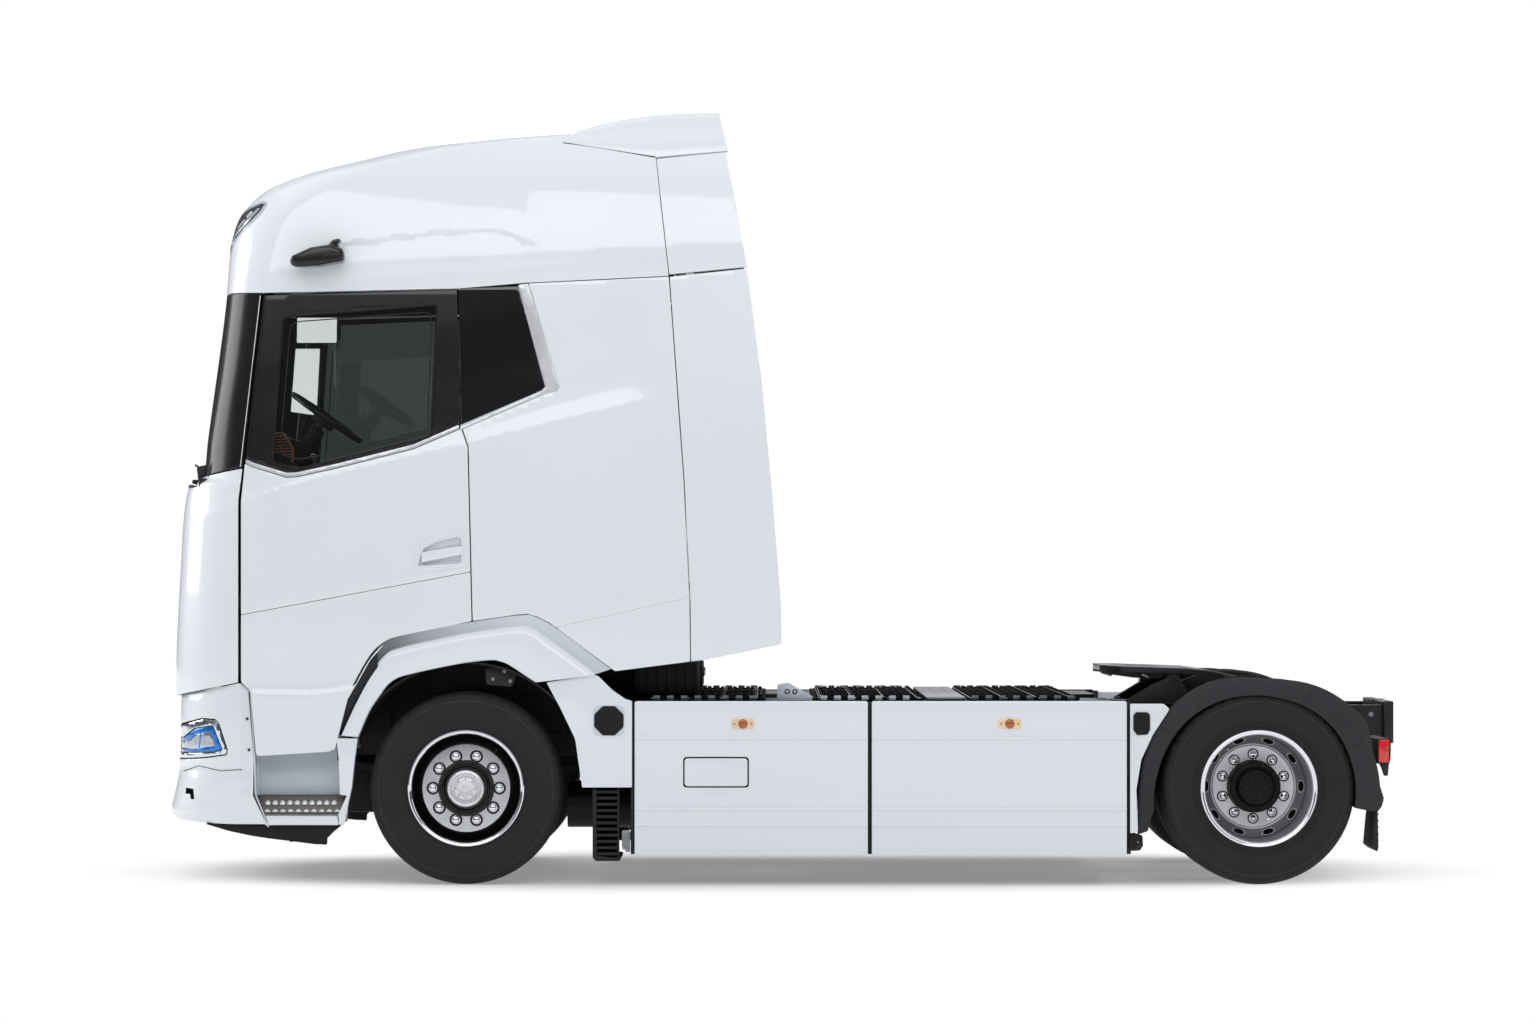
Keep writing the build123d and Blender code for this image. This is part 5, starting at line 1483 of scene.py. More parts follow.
# raised teeth in two rows along the lower tread
for row_z, row_y, m, pitch, sz in ((426, -1206, 1, 38, 13), (386, -1228, 1, 40, 8)):
    for k in range(11):
        x = -2676 + k * pitch
        if x > -2300:
            continue
        t = bmesh.new()
        bmesh.ops.create_uvsphere(t, u_segments=16, v_segments=10, radius=1.0)
        for v in t.verts:
            v.co = Vector((x + v.co.x * 15.5, row_y + v.co.y * 7 + v.co.z * sz * 0.5, row_z + v.co.z * sz + abs(v.co.x) * -4))
        merge(bm, t, m)
for top in (800, 1140):
    box(bm, -2727, -2303, -1169, -910, top - 30, top, r=6)
    for k in range(5):
        box(bm, -2700, -2330, -1150 + k * 44, -1132 + k * 44, top - 2, top + 5, r=2, mat=1)
finish_pair(bm, "step_treads", "chassis", [TREAD, CAPALLOY], ["steps"])

bm = bmesh.new()
t = bmesh.new()
W = [(-2738, -1168), (-2738, -1140), (-2716, -1104), (-2680, -1086), (-2350, -1086), (-2312, -1104), (-2292, -1140), (-2292, -1168)]
lo = [t.verts.new((x, y, 440)) for x, y in W]
hi = [t.verts.new((x, y if y > -1165 else y, 1432)) for x, y in W]
for i in range(len(W) - 1):
    t.faces.new((lo[i], lo[i + 1], hi[i + 1], hi[i]))
bmesh.ops.bevel(t, geom=[e for e in t.edges if not e.is_boundary], offset=14, segments=3, profile=0.5, affect="EDGES", clamp_overlap=True)
geo = bmesh.ops.solidify(t, geom=t.faces[:], thickness=8)
bmesh.ops.recalc_face_normals(t, faces=t.faces)
merge(bm, t)
for x0, x1 in ((-2740, -2728), (-2302, -2290)):
    box(bm, x0, x1, -1168, -900, 314, 1436, r=3, mat=0)
box(bm, -2730, -2300, -905, -896, 314, 1436, r=3)
finish_pair(bm, "step_well_liners", "chassis", [STEPGREY], ["step_wells"])


# ---------------------------------------------------------------- flat sheets with pressed lines
def sheet_grid(x0, x1, z0, z1, y, press, dx=40.0, holes=(), corners=8.0):
    """A flat side sheet: press is (height, how far out) pairs; returns a mesh ready for shell()."""
    zs = sorted({z0, z1, *[z for z, _ in press if z0 < z < z1]})
    fine_z = []
    for a, b in zip(zs[:-1], zs[1:]):
        n = max(1, int((b - a) / 45))
        fine_z += list(np.linspace(a, b, n, endpoint=False))
    fine_z.append(z1)
    nx = max(2, int((x1 - x0) / dx))
    xs = np.linspace(x0, x1, nx + 1)
    pz, pd = [p[0] for p in press], [p[1] for p in press]
    t = bmesh.new()
    g = [[t.verts.new((x, y - float(np.interp(z, pz, pd)), z)) for x in xs] for z in fine_z]
    for A, B in zip(g[:-1], g[1:]):
        for k in range(len(xs) - 1):
            t.faces.new((A[k], A[k + 1], B[k + 1], B[k]))
    out = rounded([(x0, z0), (x1, z0), (x1, z1), (x0, z1)], corners, 3)
    keep(t, out)
    for h in holes:
        keep(t, h, outside=True)
    t.normal_update()
    if sum(f.normal.y for f in t.faces) > 0:
        bmesh.ops.reverse_faces(t, faces=t.faces)
    return t


PRESS = [(100, 0), (300, 0), (304, 6), (312, 6), (318, 1.5), (384, 1.5), (389, 6.5), (397, 6.5), (403, 0), (748, 0), (752, 6.5), (761, 6.5),
         (769, 0), (1000, 0)]
FLAP_OUT = rounded([(-536, 499), (-190, 499), (-190, 665), (-536, 665)], 24, 5)
bm = bmesh.new()
t = sheet_grid(-779, 416, 157, 945, -1232, PRESS, holes=[FLAP_OUT])
shell(t, 26, 4.0, rim_mat=2, in_mat=2)
merge(bm, t)
t = sheet_grid(444, 1751, 157, 945, -1232, PRESS)
shell(t, 26, 4.0, rim_mat=2, in_mat=2)
merge(bm, t)
left = bm
right = bmesh.new()
for a, b in ((-779, 416), (444, 1751)):
    t = sheet_grid(a, b, 157, 945, -1232, PRESS)
    shell(t, 26, 4.0, rim_mat=2, in_mat=2)
    merge(right, t)
r = mirror_y(right)
right.free()
merge(left, r)
for x0, x1 in ((-775, 412), (448, 1747)):
    for s_ in (-1, 1):
        box(left, x0, x1, min(s_ * 1214, s_ * 1206), max(s_ * 1214, s_ * 1206), 936, 948, r=3, mat=0)
for s_ in (-1, 1):
    for x0, x1 in ((404, 456), (-804, -768), (1742, 1778)):
        box(left, x0, x1, min(s_ * 1202, s_ * 1192), max(s_ * 1202, s_ * 1192), 158, 944, r=3, mat=2)
done(left, "side_panel_sheets", "chassis", [PAINT, PAINT, TRIM], ["side_panels"])

bm = bmesh.new()
prism(bm, rounded([(-525, 510), (-201, 510), (-201, 654), (-525, 654)], 18, 5), "y", -1236.5, -1218, 3, 3)
for x in (-480, -246):
    rod(bm, (x - 22, -1222, 650), (x + 22, -1222, 650), 5.5, seg=14, mat=1)
prism(bm, rounded([(-384, 512), (-342, 512), (-342, 524), (-384, 524)], 5, 3), "y", -1237.6, -1233, 1.5, 2, 0)
done(bm, "charge_flap_skin", "charge_flap", [PAINT, STEEL], ["charge_flap"])

# socket behind the flap
bm = bmesh.new()
box(bm, -545, -181, -1205, -1196, 490, 674, r=4)
lathe(bm, [(0, 0), (0, 62), (14, 62), (14, 50), (5, 48), (5, 0)], -363, 584, -1, 1202, 48, 1)
for a, r_ in ((0, 0), (60, 24), (120, 24), (180, 24), (240, 24), (300, 24), (0, 24)):
    x, z = -363 + r_ * math.cos(math.radians(a)), 584 + r_ * math.sin(math.radians(a))
    rod(bm, (x, -1203, z), (x, -1213, z), 5.5, seg=14, mat=2)
done(bm, "charge_socket", "chassis", [TRIM, DARKINT, STEEL])

# side markers
bm = bmesh.new()
for x in (-224, 1151):
    prism(bm, rounded([(x - 58, 808), (x + 58, 808), (x + 58, 856), (x - 58, 856)], 12, 4), "y", -1240, -1228, 3, 2, 0, True)
    for s_ in (-1, 1):
        lathe(bm, [(0, 0), (0, 25), (7, 24), (10, 20), (12, 10), (12.5, 0)], x, 832, s_, 1237, 40, 1)
    for d in (-44, 44):
        rod(bm, (x + d, -1242, 832), (x + d, -1236, 832), 5, seg=12, mat=2, both=True)
done(bm, "side_markers", "chassis", [AMBER_BASE, AMBER, STEEL])

# end panels with their vents
bm = bmesh.new()
prism(bm, rounded([(1772, 935), (1945, 935), (1976, 908), (1889, 775), (1829, 646), (1804, 492), (1813, 276), (1772, 266)],
                  [8, 20, 14, 60, 60, 60, 10, 8], 3), "y", -1235, -1208, 4, 3, 0, True)
VENT = rounded([(1788, 800), (1806, 774), (1860, 776), (1874, 800), (1874, 878), (1860, 892), (1802, 892), (1788, 876)], 12, 4)
prism(bm, VENT, "y", -1243, -1232, 3, 2, 1, True)
prism(bm, inset(VENT, 9), "y", -1245, -1240, 2, 1, 1, True)
for k in range(6):
    z = 796 + k * 15
    box(bm, 1804, 1858, -1247, -1243, z, z + 6, r=2, mat=1, both=True)
box(bm, 1702, 1798, -1203, -1167, 503, 557, r=5, mat=1, both=True)
box(bm, 1764, 1806, -1216, -1190, 190, 262, r=5, mat=1, both=True)
box(bm, 1798, 1830, -1212, -1192, 205, 240, r=6, mat=1, both=True)
done(bm, "end_panel_skins", "chassis", [PAINT, SEAL, SEAL], ["end_panels"])

# battery boxes: housings with lids, ribs and bolts
bm = bmesh.new()
for x0, x1 in ((-740, 390), (460, 1700)):
    box(bm, x0, x1, -1204, -402, 192, 930, r=10, mat=0, both=True)
    box(bm, x0 - 4, x1 + 4, -1204, -404, 926, 944, r=5, mat=0, both=True)
    k = x0 + 60
    while k < x1 - 40:
        box(bm, k, k + 26, -1180, -420, 186, 198, r=4, mat=0, both=True)
        k += 140
    for xe, d in ((x0, -1), (x1, 1)):
        for z in (300, 500, 700, 860):
            box(bm, min(xe - 3 * 0, xe + d * 8), max(xe, xe + d * 8), -1150, -450, z - 8, z + 8, r=3, mat=0, both=True)
        for y in (-1120, -800, -480):
            for z in (250, 880):
                rod(bm, (xe, y, z), (xe + d * 12, y, z), 11, seg=6, mat=1, both=True)
done(bm, "battery_housings", "chassis", [CHASSIS, STEEL], ["battery_boxes"])

bm = bmesh.new()
prism(bm, rounded([(1764, 174), (1764, 262), (1800, 267), (1838, 254), (1841, 200), (1824, 177)], [4, 6, 8, 10, 10, 8], 3), "y", -1204, -1168, 5, 2, 0)
prism(bm, rounded([(1776, 186), (1776, 250), (1800, 254), (1826, 244), (1828, 204), (1816, 189)], [4, 6, 8, 8, 8, 6], 3), "y", -1208, -1203, 2, 2, 0)
for x, z in ((1788, 200), (1788, 238), (1814, 220)):
    rod(bm, (x, -1207, z), (x, -1213, z), 6, 5.4, 6, 1)
done(bm, "panel_lock", "chassis", [CHASSIS, STEEL])

# ---------------------------------------------------------------- catwalk
bm = bmesh.new()


def deck(bm, x0, x1, solid=False):
    box(bm, x0, x1, -1139, 1139, 946, 952, r=2, mat=0)
    if solid:
        box(bm, x0, x1, -1139, 1139, 950, 966, r=5, mat=2)
        for k in range(3):
            x = x0 + (x1 - x0) * (k + 0.5) / 3
            box(bm, x - 26, x + 26, -1130, 1130, 965, 967, r=0.9, mat=2)
        return
    n = int((x1 - x0) / 42)
    for k in range(n):
        a = x0 + (x1 - x0) * k / n
        m = 1 if (k % 4) else 2
        box(bm, a + 4, a + 30, -1138, 1138, 951, 965, r=3, mat=m)
        box(bm, a + 9, a + 13, -1138, 1138, 963, 975, r=1.5, mat=1)
        box(bm, a + 21, a + 25, -1138, 1138, 963, 975, r=1.5, mat=1)
    for y in (-1138, 1122, -400, 384):
        box(bm, x0, x1, y, y + 16, 948, 962, r=3, mat=0)
    k = x0 + 14
    while k < x1 - 50:
        box(bm, k, k + 36, -1143, -1131, 953, 975, r=2.5, mat=3 if 100 < x0 < 800 else 2, both=True)
        box(bm, k + 44, k + 62, -1142, -1130, 950, 969, r=2.5, mat=0, both=True)
        k += 71


deck(bm, -703, -136)
deck(bm, 162, 713)
deck(bm, 726, 930, True)
deck(bm, 945, 1512)
prism(bm, rounded([(-49, 946), (-46, 1032), (8, 1041), (16, 1038), (142, 968), (122, 946)], [4, 12, 10, 10, 8, 4], 3), "y", -1130, -1102, 4, 2, 3)
for x in (4, 44):
    prism(bm, rounded([(x - 15, 984), (x + 12, 984), (x + 15, 1006), (x - 10, 1010)], 7, 3), "y", -1133, -1128, 1.5, 1, 4)
    prism(bm, rounded([(x - 8, 989), (x + 6, 989), (x + 8, 1002), (x - 5, 1004)], 4, 3), "y", -1134.5, -1131, 1, 1, 3)
for x in (-120, 150):
    box(bm, x - 12, x + 12, -1120, 1120, 944, 958, r=4, mat=0)
done(bm, "catwalk_deck", "chassis", [DECKDARK, DECKDARK, DECK, LAV, BLACK], ["catwalk"])

# junction block behind the cab
bm = bmesh.new()
box(bm, -464, -446, -320, 320, 1000, 1130, r=6, mat=0)
for y, m in ((-220, 1), (-110, 2), (0, 0), (110, 1), (220, 2)):
    rod(bm, (-448, y, 1075), (-438, y, 1075), 22, 20, 20, mat=0)
    rod(bm, (-440, y, 1075), (-436, y, 1075), 15, 14, 16, mat=m)
# the caps reuse the lamp lens materials, so they glow a little: painted light
done(bm, "coupling_manifold", "chassis", [TRIM, RED, AMBER])

# ---------------------------------------------------------------- front mudguards and flaps
bm = bmesh.new()
GUARD = rounded([(-1237, 1046), (-996, 1084), (-971, 1079), (-898, 1007), (-831, 960), (-796, 950), (-796, 504),
                 (-1053, 504), (-1089, 754), (-1166, 914)], [6, 16, 16, 30, 30, 10, 8, 8, 120, 80], 4)
prism(bm, GUARD, "y", -1240, -1208, 6, 3, 0, True)
inner = [(-1150, 1056), (-996, 1078), (-974, 1072), (-902, 1002), (-834, 956), (-800, 946), (-800, 506), (-1010, 506),
         (-1030, 754), (-1090, 910)]
inner2 = [(-1122, 1030), (-1006, 1052), (-986, 1046), (-916, 978), (-852, 936), (-822, 926), (-822, 506), (-992, 506),
          (-1010, 754), (-1068, 900)]
t = bmesh.new()
n = len(inner)
A = [t.verts.new((x, -1209, z)) for x, z in inner]
B = [t.verts.new((x, -645, z)) for x, z in inner]
for i in range(n):
    j = (i + 1) % n
    t.faces.new((A[i], A[j], B[j], B[i]))
C = [t.verts.new((x, -645, z)) for x, z in inner2]
D = [t.verts.new((x, -1200, z)) for x, z in inner2]
for i in range(n):
    j = (i + 1) % n
    t.faces.new((B[i], B[j], C[j], C[i]))
    t.faces.new((C[i], C[j], D[j], D[i]))
t.faces.new(D)
t.faces.new(A[::-1])
bmesh.ops.recalc_face_normals(t, faces=t.faces)
merge(bm, mirror_y(t), 1)
merge(bm, t, 1)
box(bm, -798, -742, -698, -502, 602, 658, r=8, mat=1, both=True)
# the round vent in its soft square recess, the recess in the half-shade paint as painted shade
RECESS = rounded([(-996, 768), (-834, 768), (-834, 928), (-996, 928)], 40, 6)
prism(bm, RECESS, "y", -1241.5, -1236, 1.4, 2, 2, True)
OCT = [(-915 + 76 * math.cos(math.radians(a)) / math.cos(math.radians(22.5)), 848 + 76 * math.sin(math.radians(a)) / math.cos(math.radians(22.5)))
       for a in range(22, 382, 45)]
OCT = rounded(OCT, 22, 4)
prism(bm, OCT, "y", -1246, -1238, 3, 3, 1, True)
prism(bm, inset(OCT, 9), "y", -1247.6, -1243, 1.2, 2, 1, True)
for k in range(5):
    z = 806 + k * 21
    w = 52 - abs(k - 2) * 8
    box(bm, -915 - w, -915 + w, -1250, -1246, z - 4, z + 4, r=2, mat=1, both=True)
done(bm, "front_mudguard_skins", "chassis", [PAINT, SEAL, PAINTED_HALF_SHADE, DARKINT], ["front_mudguards"])

bm = bmesh.new()
prism(bm, rounded([(-1000, 500), (-1000, 142), (-984, 123), (-859, 123), (-859, 138), (-978, 150), (-980, 500)], 4, 2), "y", -1214, -662, 3, 2, 0, True)
for k in range(11):
    z = 160 + k * 32
    box(bm, -984, -868, -1213, -1196, z - 8, z + 8, r=6, seg=3, mat=0, both=True)
    box(bm, -984, -878, -1196, -680, z - 4, z + 4, r=3, mat=0, both=True)
for x in (-868,):
    box(bm, x - 4, x + 6, -1210, -1190, 130, 498, r=3, mat=0, both=True)
prism(bm, rounded([(-849, 282), (-806, 282), (-806, 170), (-830, 170), (-836, 196), (-849, 196)], 3, 2), "y", -1212, -1200, 2, 2, 1, True)
prism(bm, rounded([(-846, 206), (-812, 200), (-812, 178), (-846, 184)], 3, 2), "y", -1220, -1211, 2, 2, 1, True)
prism(bm, rounded([(3036, 384), (3030, 330), (3018, 196), (3046, 170), (3052, 196), (3048, 384)], [4, 20, 8, 8, 8, 4], 4), "y", -1236, -868, 3, 2, 0, True)
for k in range(5):
    z = 230 + k * 34
    box(bm, 3044, 3056, -1220, -884, z - 4, z + 4, r=3, mat=0, both=True)
done(bm, "mudflap_sheets", "chassis", [RUBBER, STEEL], ["mudflaps"])

# ---------------------------------------------------------------- wheel housings, with the dark liner behind the front wheels
bm = bmesh.new()
HX, HZ = -1654, 498
t = bmesh.new()
arc = []
for k in range(49):
    a = math.radians(30 + (156 - 30) * k / 48)
    arc.append((HX + 642 * math.cos(a), HZ + 642 * math.sin(a), math.cos(a), math.sin(a)))
rows = []
for x, z, c, s_ in arc:
    rows.append([t.verts.new((x + c * q, y, z + s_ * q)) for y, q in ((-1184, 10), (-1184, 0), (-1100, 0), (-900, 0), (-720, 0), (-545, 0),
                                                                    (-545, 10), (-720, 10), (-900, 10), (-1100, 10))])
for A, B in zip(rows[:-1], rows[1:]):
    m = len(A)
    for j in range(m):
        t.faces.new((A[j], A[(j + 1) % m], B[(j + 1) % m], B[j]))
t.faces.new(rows[0])
t.faces.new(rows[-1][::-1])
bmesh.ops.recalc_face_normals(t, faces=t.faces)
merge(bm, mirror_y(t))
merge(bm, t)
for k in range(2, 46, 4):
    x, z, c, s_ = arc[k]
    t = bmesh.new()
    p = [(-1150, 0), (-1150, -5), (-570, -5), (-570, 0)]
box(bm, -1698, -1602, -638, -562, 1135, 1438, r=8, both=True)
WALL = [(-2250, 700), (-2200, 980), (-2060, 1120), (-1990, 1400), (-900, 1400), (-850, 1010), (-900, 700), (-1000, 560), (-1100, 640), (-2150, 640)]
prism(bm, WALL, "y", -536, -526, 4, 2, 0, True)
for x, z0, z1 in ((-2100, 700, 1100), (-1900, 680, 1380), (-1420, 680, 1380), (-1180, 660, 1390), (-1000, 620, 1390)):
    box(bm, x - 10, x + 10, -544, -534, z0, z1, r=4, both=True)
for z in (760, 960, 1180):
    box(bm, -2100, -900, -543, -534, z - 7, z + 7, r=4, both=True)
done(bm, "wheel_housing_liners", "chassis", [TRIM], ["wheel_housings"])

bm = bmesh.new()
prism(bm, rounded([(-1560, 1118), (-1555, 1030), (-1420, 1020), (-1395, 1095), (-1440, 1128)], 14, 3), "y", -1120, -1112, 3, 2, 0, True)
for x, z in ((-1520, 1060), (-1460, 1100), (-1430, 1050)):
    rod(bm, (x, -1124, z), (x, -1110, z), 10, seg=6, mat=1, both=True)
for z in (880, 800):
    box(bm, -1150, -1060, -560, -540, z, z + 30, r=5, mat=1, both=True)
done(bm, "housing_bracket", "chassis", [CHASSIS, STEEL])

# ---------------------------------------------------------------- rear mudguards
RG = [(1823, 277), (1813, 492), (1838, 646), (1900, 775), (1988, 904), (2079, 1004), (2156, 1034), (2336, 1070), (2520, 1062), (2706, 1040),
      (2850, 968), (2912, 911), (3003, 850), (3030, 670), (3055, 494)]
CX, CZ, RI = 2436, 498, 553


def resamp_len(pts, n):
    p = np.array(pts, float)
    t = np.concatenate([[0], np.cumsum(np.hypot(*np.diff(p, axis=0).T))])
    return pchip(t, p, np.linspace(0, t[-1], n))


bm = bmesh.new()
t = bmesh.new()
po = resamp_len(RG, 84)
MG_IN = [(200.8, 613), (191.7, 553), (170.7, 527), (152.8, 516), (135.3, 508), (116.9, 495), (96.9, 482), (76.8, 477), (55.7, 486), (36.8, 494),
         (19.0, 492), (4.5, 496), (-11.4, 500)]
MG_OUT = [(200.8, 668), (187.6, 623), (176, 612), (164.8, 609), (149.4, 612), (133.2, 615), (119.5, 610), (104.7, 588), (95, 576), (86.7, 569), (75, 580),
          (63, 603), (56.9, 614), (44, 634), (36, 650), (31, 652), (24.7, 636), (18, 618), (9.2, 622), (0.8, 626), (-4.6, 648), (-8.7, 640), (-11.4, 621)]
NM = 150
rows = []
for ang in np.linspace(200.8, -11.4, NM):
    ca, sa = math.cos(math.radians(ang)), math.sin(math.radians(ang))
    lo = float(np.interp(-ang, [-a for a, _ in MG_IN], [r for _, r in MG_IN]))
    hi = float(np.interp(-ang, [-a for a, _ in MG_OUT], [r for _, r in MG_OUT]))
    hi = max(hi, lo + 40)
    fl = max(514.0, lo + 3)
    w = hi - lo

    def at(rad, y):
        return t.verts.new((CX + ca * rad, y, CZ + sa * rad))
    rows.append([at(fl, -582), at(fl, -1226), at(fl - 2, -1236), at(lo + 2, -1240), at(lo, -1243.5), at(lo + 3, -1248), at(lo + w * 0.2, -1250), at(lo + w * 0.45, -1248),
                 at(lo + w * 0.68, -1243), at(lo + w * 0.86, -1234), at(hi, -1222), at(hi, -1214), at(hi - 8, -1204), at(fl + 16, -1196), at(fl + 16, -582)])
m = len(rows[0])
for A, B in zip(rows[:-1], rows[1:]):
    for j in range(m):
        t.faces.new((A[j], A[(j + 1) % m], B[(j + 1) % m], B[j]))
t.faces.new(rows[0])
t.faces.new(rows[-1][::-1])
bmesh.ops.recalc_face_normals(t, faces=t.faces)
merge(bm, mirror_y(t))
merge(bm, t)
t = bmesh.new()
rows = []
for x, z in po[6:78]:
    d = Vector((x - CX, z - CZ)).normalized()
    rows.append([t.verts.new((CX + d.x * q, y, CZ + d.y * q)) for q, y in ((470, -579), (470, -571), (568, -571), (568, -579))])
for A, B in zip(rows[:-1], rows[1:]):
    for j in range(4):
        t.faces.new((A[j], A[(j + 1) % 4], B[(j + 1) % 4], B[j]))
t.faces.new(rows[0])
t.faces.new(rows[-1][::-1])
bmesh.ops.recalc_face_normals(t, faces=t.faces)
merge(bm, mirror_y(t), 1)
merge(bm, t, 1)
for ang in (148, 62, 24):
    ca, sa = math.cos(math.radians(ang)), math.sin(math.radians(ang))
    pipe(bm, [(CX + ca * q, -1249.2, CZ + sa * q) for q in (512, 545, 580)], 1.6, 8, 0, True)
for x in (1937, 2907):
    box(bm, x, x + 26, -640, -400, 785, 820, r=6, mat=1, both=True)
done(bm, "rear_mudguard_shells", "chassis", [GREYTRIM, CHASSIS], ["rear_mudguards"], sharp=40)

# ---------------------------------------------------------------- rear lights
bm = bmesh.new()
prism(bm, rounded([(3050, 624), (3052, 754), (3118, 754), (3122, 700), (3114, 622)], 8, 3), "y", -1198, -642, 6, 3, 0, True)
prism(bm, rounded([(3058, 632), (3058, 748), (3112, 748), (3108, 630)], 8, 3), "y", -1203, -1192, 3, 2, 1, True)
box(bm, 3088, 3106, -1204.5, -1198, 660, 712, r=2, mat=2, both=True)
for y, m_ in ((-1150, 1), (-1040, 2), (-930, 1), (-820, 3), (-720, 1)):
    box(bm, 3112, 3121, y - 46, y + 46, 642, 738, r=6, mat=m_, both=True)
box(bm, 3082, 3113, -650, -402, 654, 716, r=6, mat=0, both=True)
prism(bm, rounded([(3066, 630), (3112, 630), (3107, 566), (3094, 558), (3080, 600)], [4, 4, 8, 8, 10], 3), "y", -1190, -1120, 4, 2, 0, True)
done(bm, "rear_lamp_units", "chassis", [TRIM, RED, AMBER, LENSOFF], ["rear_lights"])

# ---------------------------------------------------------------- rails, crossmembers and what hangs on them
bm = bmesh.new()
for x in range(-2880, 3150, 120):
    for z in (690, 856):
        if (x // 120) % 3 != 1:
            rod(bm, (x, -404, z), (x, -410, z), 11, 10, 6, 0, True)
            rod(bm, (x, -404.5, z), (x, -401, z), 14, 14, 16, 0, True)
for x in (-2950, -2250, -1010, -620, 370, 880, 1720, 2980):
    for z in (700, 773, 846):
        for y in (-440 + 30,):
            rod(bm, (x - 4, -340, z), (x + 34, -340, z), 9, 9, 6, 0, True)
done(bm, "frame_bolts", "chassis", [STEEL])

bm = bmesh.new()
for y, z, r_ in ((-388, 880, 9), (-388, 862, 7), (-386, 846, 6), (-388, 700, 10)):
    rod(bm, (-2290, y, z), (2880, y, z), r_, r_, 12, 0, True)
for x in range(-2250, 2860, 300):
    box(bm, x - 8, x + 8, -392, -372, 688, 894, r=3, mat=1, both=True)
for x0, x1 in ((-2310, -2270), (2860, 2900)):
    box(bm, x0, x1, -402, -368, 676, 900, r=8, mat=1, both=True)
done(bm, "rail_lines", "chassis", [RUBBER, STEEL])

# steering box in the front bay, spare brackets, mounting brackets under the cab
bm = bmesh.new()
box(bm, -2470, -2180, -330, 330, 330, 640, r=20, mat=0)
for k in range(7):
    box(bm, -2478, -2172, -300 + k * 92, -280 + k * 92, 350, 620, r=6, mat=0)
box(bm, -2500, -2330, -470, -402, 640, 820, r=18, mat=0)
rod(bm, (-2420, -470, 700), (-2420, -520, 700), 40, 34, 28)
prism(bm, [(-2440, 690), (-2400, 690), (-2408, 520), (-2432, 520)], "y", -508, -488, 5, 2, 0)
box(bm, -2790, -2690, -470, -402, 700, 900, r=14, mat=0, both=True)
box(bm, -2200, -2120, -520, -402, 700, 880, r=14, mat=0, both=True)
for x in (-2040, -1270):
    box(bm, x - 30, x + 30, -470, -402, 560, 640, r=12, mat=0, both=True)
rod(bm, (-1330, -480, 600), (-1330, -480, 880), 36, 36, 28, 0, True)
rod(bm, (-1330, -480, 470), (-1330, -480, 600), 24, 24, 24, 1, True)
rod(bm, (-1978, -480, 600), (-1978, -480, 880), 36, 36, 28, 0, True)
rod(bm, (-1978, -480, 470), (-1978, -480, 600), 24, 24, 24, 1, True)
done(bm, "front_bay_parts", "chassis", [CAST, STEEL])

# bolsters and a dark tray under the rear of the cab
bm = bmesh.new()
box(bm, -796, -460, -876, 876, 976, 1134, r=14, mat=0)
for k in range(7):
    x = -770 + k * 48
    box(bm, x, x + 20, -882, -872, 992, 1120, r=4, mat=0, both=True)
box(bm, -1000, -790, -632, -606, 900, 1392, r=6, mat=0, both=True)
box(bm, -800, -460, -900, -600, 1128, 1250, r=8, mat=0, both=True)
for x0, x1 in ((-2778, -2702), (-773, -717)):
    box(bm, x0, x1, -398, -322, 908, 1436, r=8, mat=2, both=True)
    box(bm, x0 - 22, x1 + 22, -420, -300, 906, 930, r=6, mat=2, both=True)
    rod(bm, ((x0 + x1) / 2, -360, 1380), ((x0 + x1) / 2, -360, 1438), 70, 62, 32, 1, True)
box(bm, -773, -717, -398, 398, 1334, 1438, r=8, mat=2)
done(bm, "cab_mount_parts", "chassis", [TRIM, RUBBER, CHASSIS], ["cab_mounts"])

# crossmembers with pressed webs
bm = bmesh.new()
for x in (-2950, -2250, -1010, -620, 370, 880, 1720, 2980):
    box(bm, x + 10, x + 20, -389, 389, 667, 878, r=3)
    box(bm, x, x + 30, -389, 389, 866, 880, r=4)
    box(bm, x, x + 30, -389, 389, 665, 679, r=4)
    for y in (-240, 0, 240):
        rod(bm, (x + 6, y, 772), (x + 24, y, 772), 52, 52, 32)
prism(bm, [(-430, 702), (430, 702), (430, 927), (-430, 927)], "x", 3182, 3238, 8, 3)
for y in (-380, -300, 300, 380):
    for z in (740, 890):
        rod(bm, (3236, y, z), (3240, y, z), 13, 12, 6, 1)
rod(bm, (3210, 0, 928), (3210, 0, 930), 40, 40, 32, 1)
box(bm, -3088, -3062, -640, 640, 566, 872, r=10, mat=0)
done(bm, "crossmember_forms", "chassis", [CHASSIS, STEEL], ["crossmembers"])

# ---------------------------------------------------------------- fifth wheel
FWX, FWZ = 2065, 1040
OUTL = [(-384, -250), (-290, -430), (250, -430), (440, -330), (495, -200), (130, -62), (60, -62), (60, 62), (130, 62), (495, 200),
        (440, 330), (250, 430), (-290, 430), (-384, 250)]
OUTL = rounded(OUTL, [60, 70, 60, 60, 30, 10, 30, 30, 10, 30, 60, 60, 70, 60], 6)
bm = bmesh.new()
t = bmesh.new()
lo = [t.verts.new((x, y, 0)) for x, y in OUTL]
f = t.faces.new(lo)
bmesh.ops.triangulate(t, faces=[f])
for xx in (-300, -150, 0, 60, 90, 120, 160, 190, 240, 300, 360, 420):
    bmesh.ops.bisect_plane(t, geom=t.verts[:] + t.edges[:] + t.faces[:], dist=0.05, plane_co=(xx, 0, 0), plane_no=(1, 0, 0))
for yy in (-300, -150, 0, 150, 300):
    bmesh.ops.bisect_plane(t, geom=t.verts[:] + t.edges[:] + t.faces[:], dist=0.05, plane_co=(0, yy, 0), plane_no=(0, 1, 0))
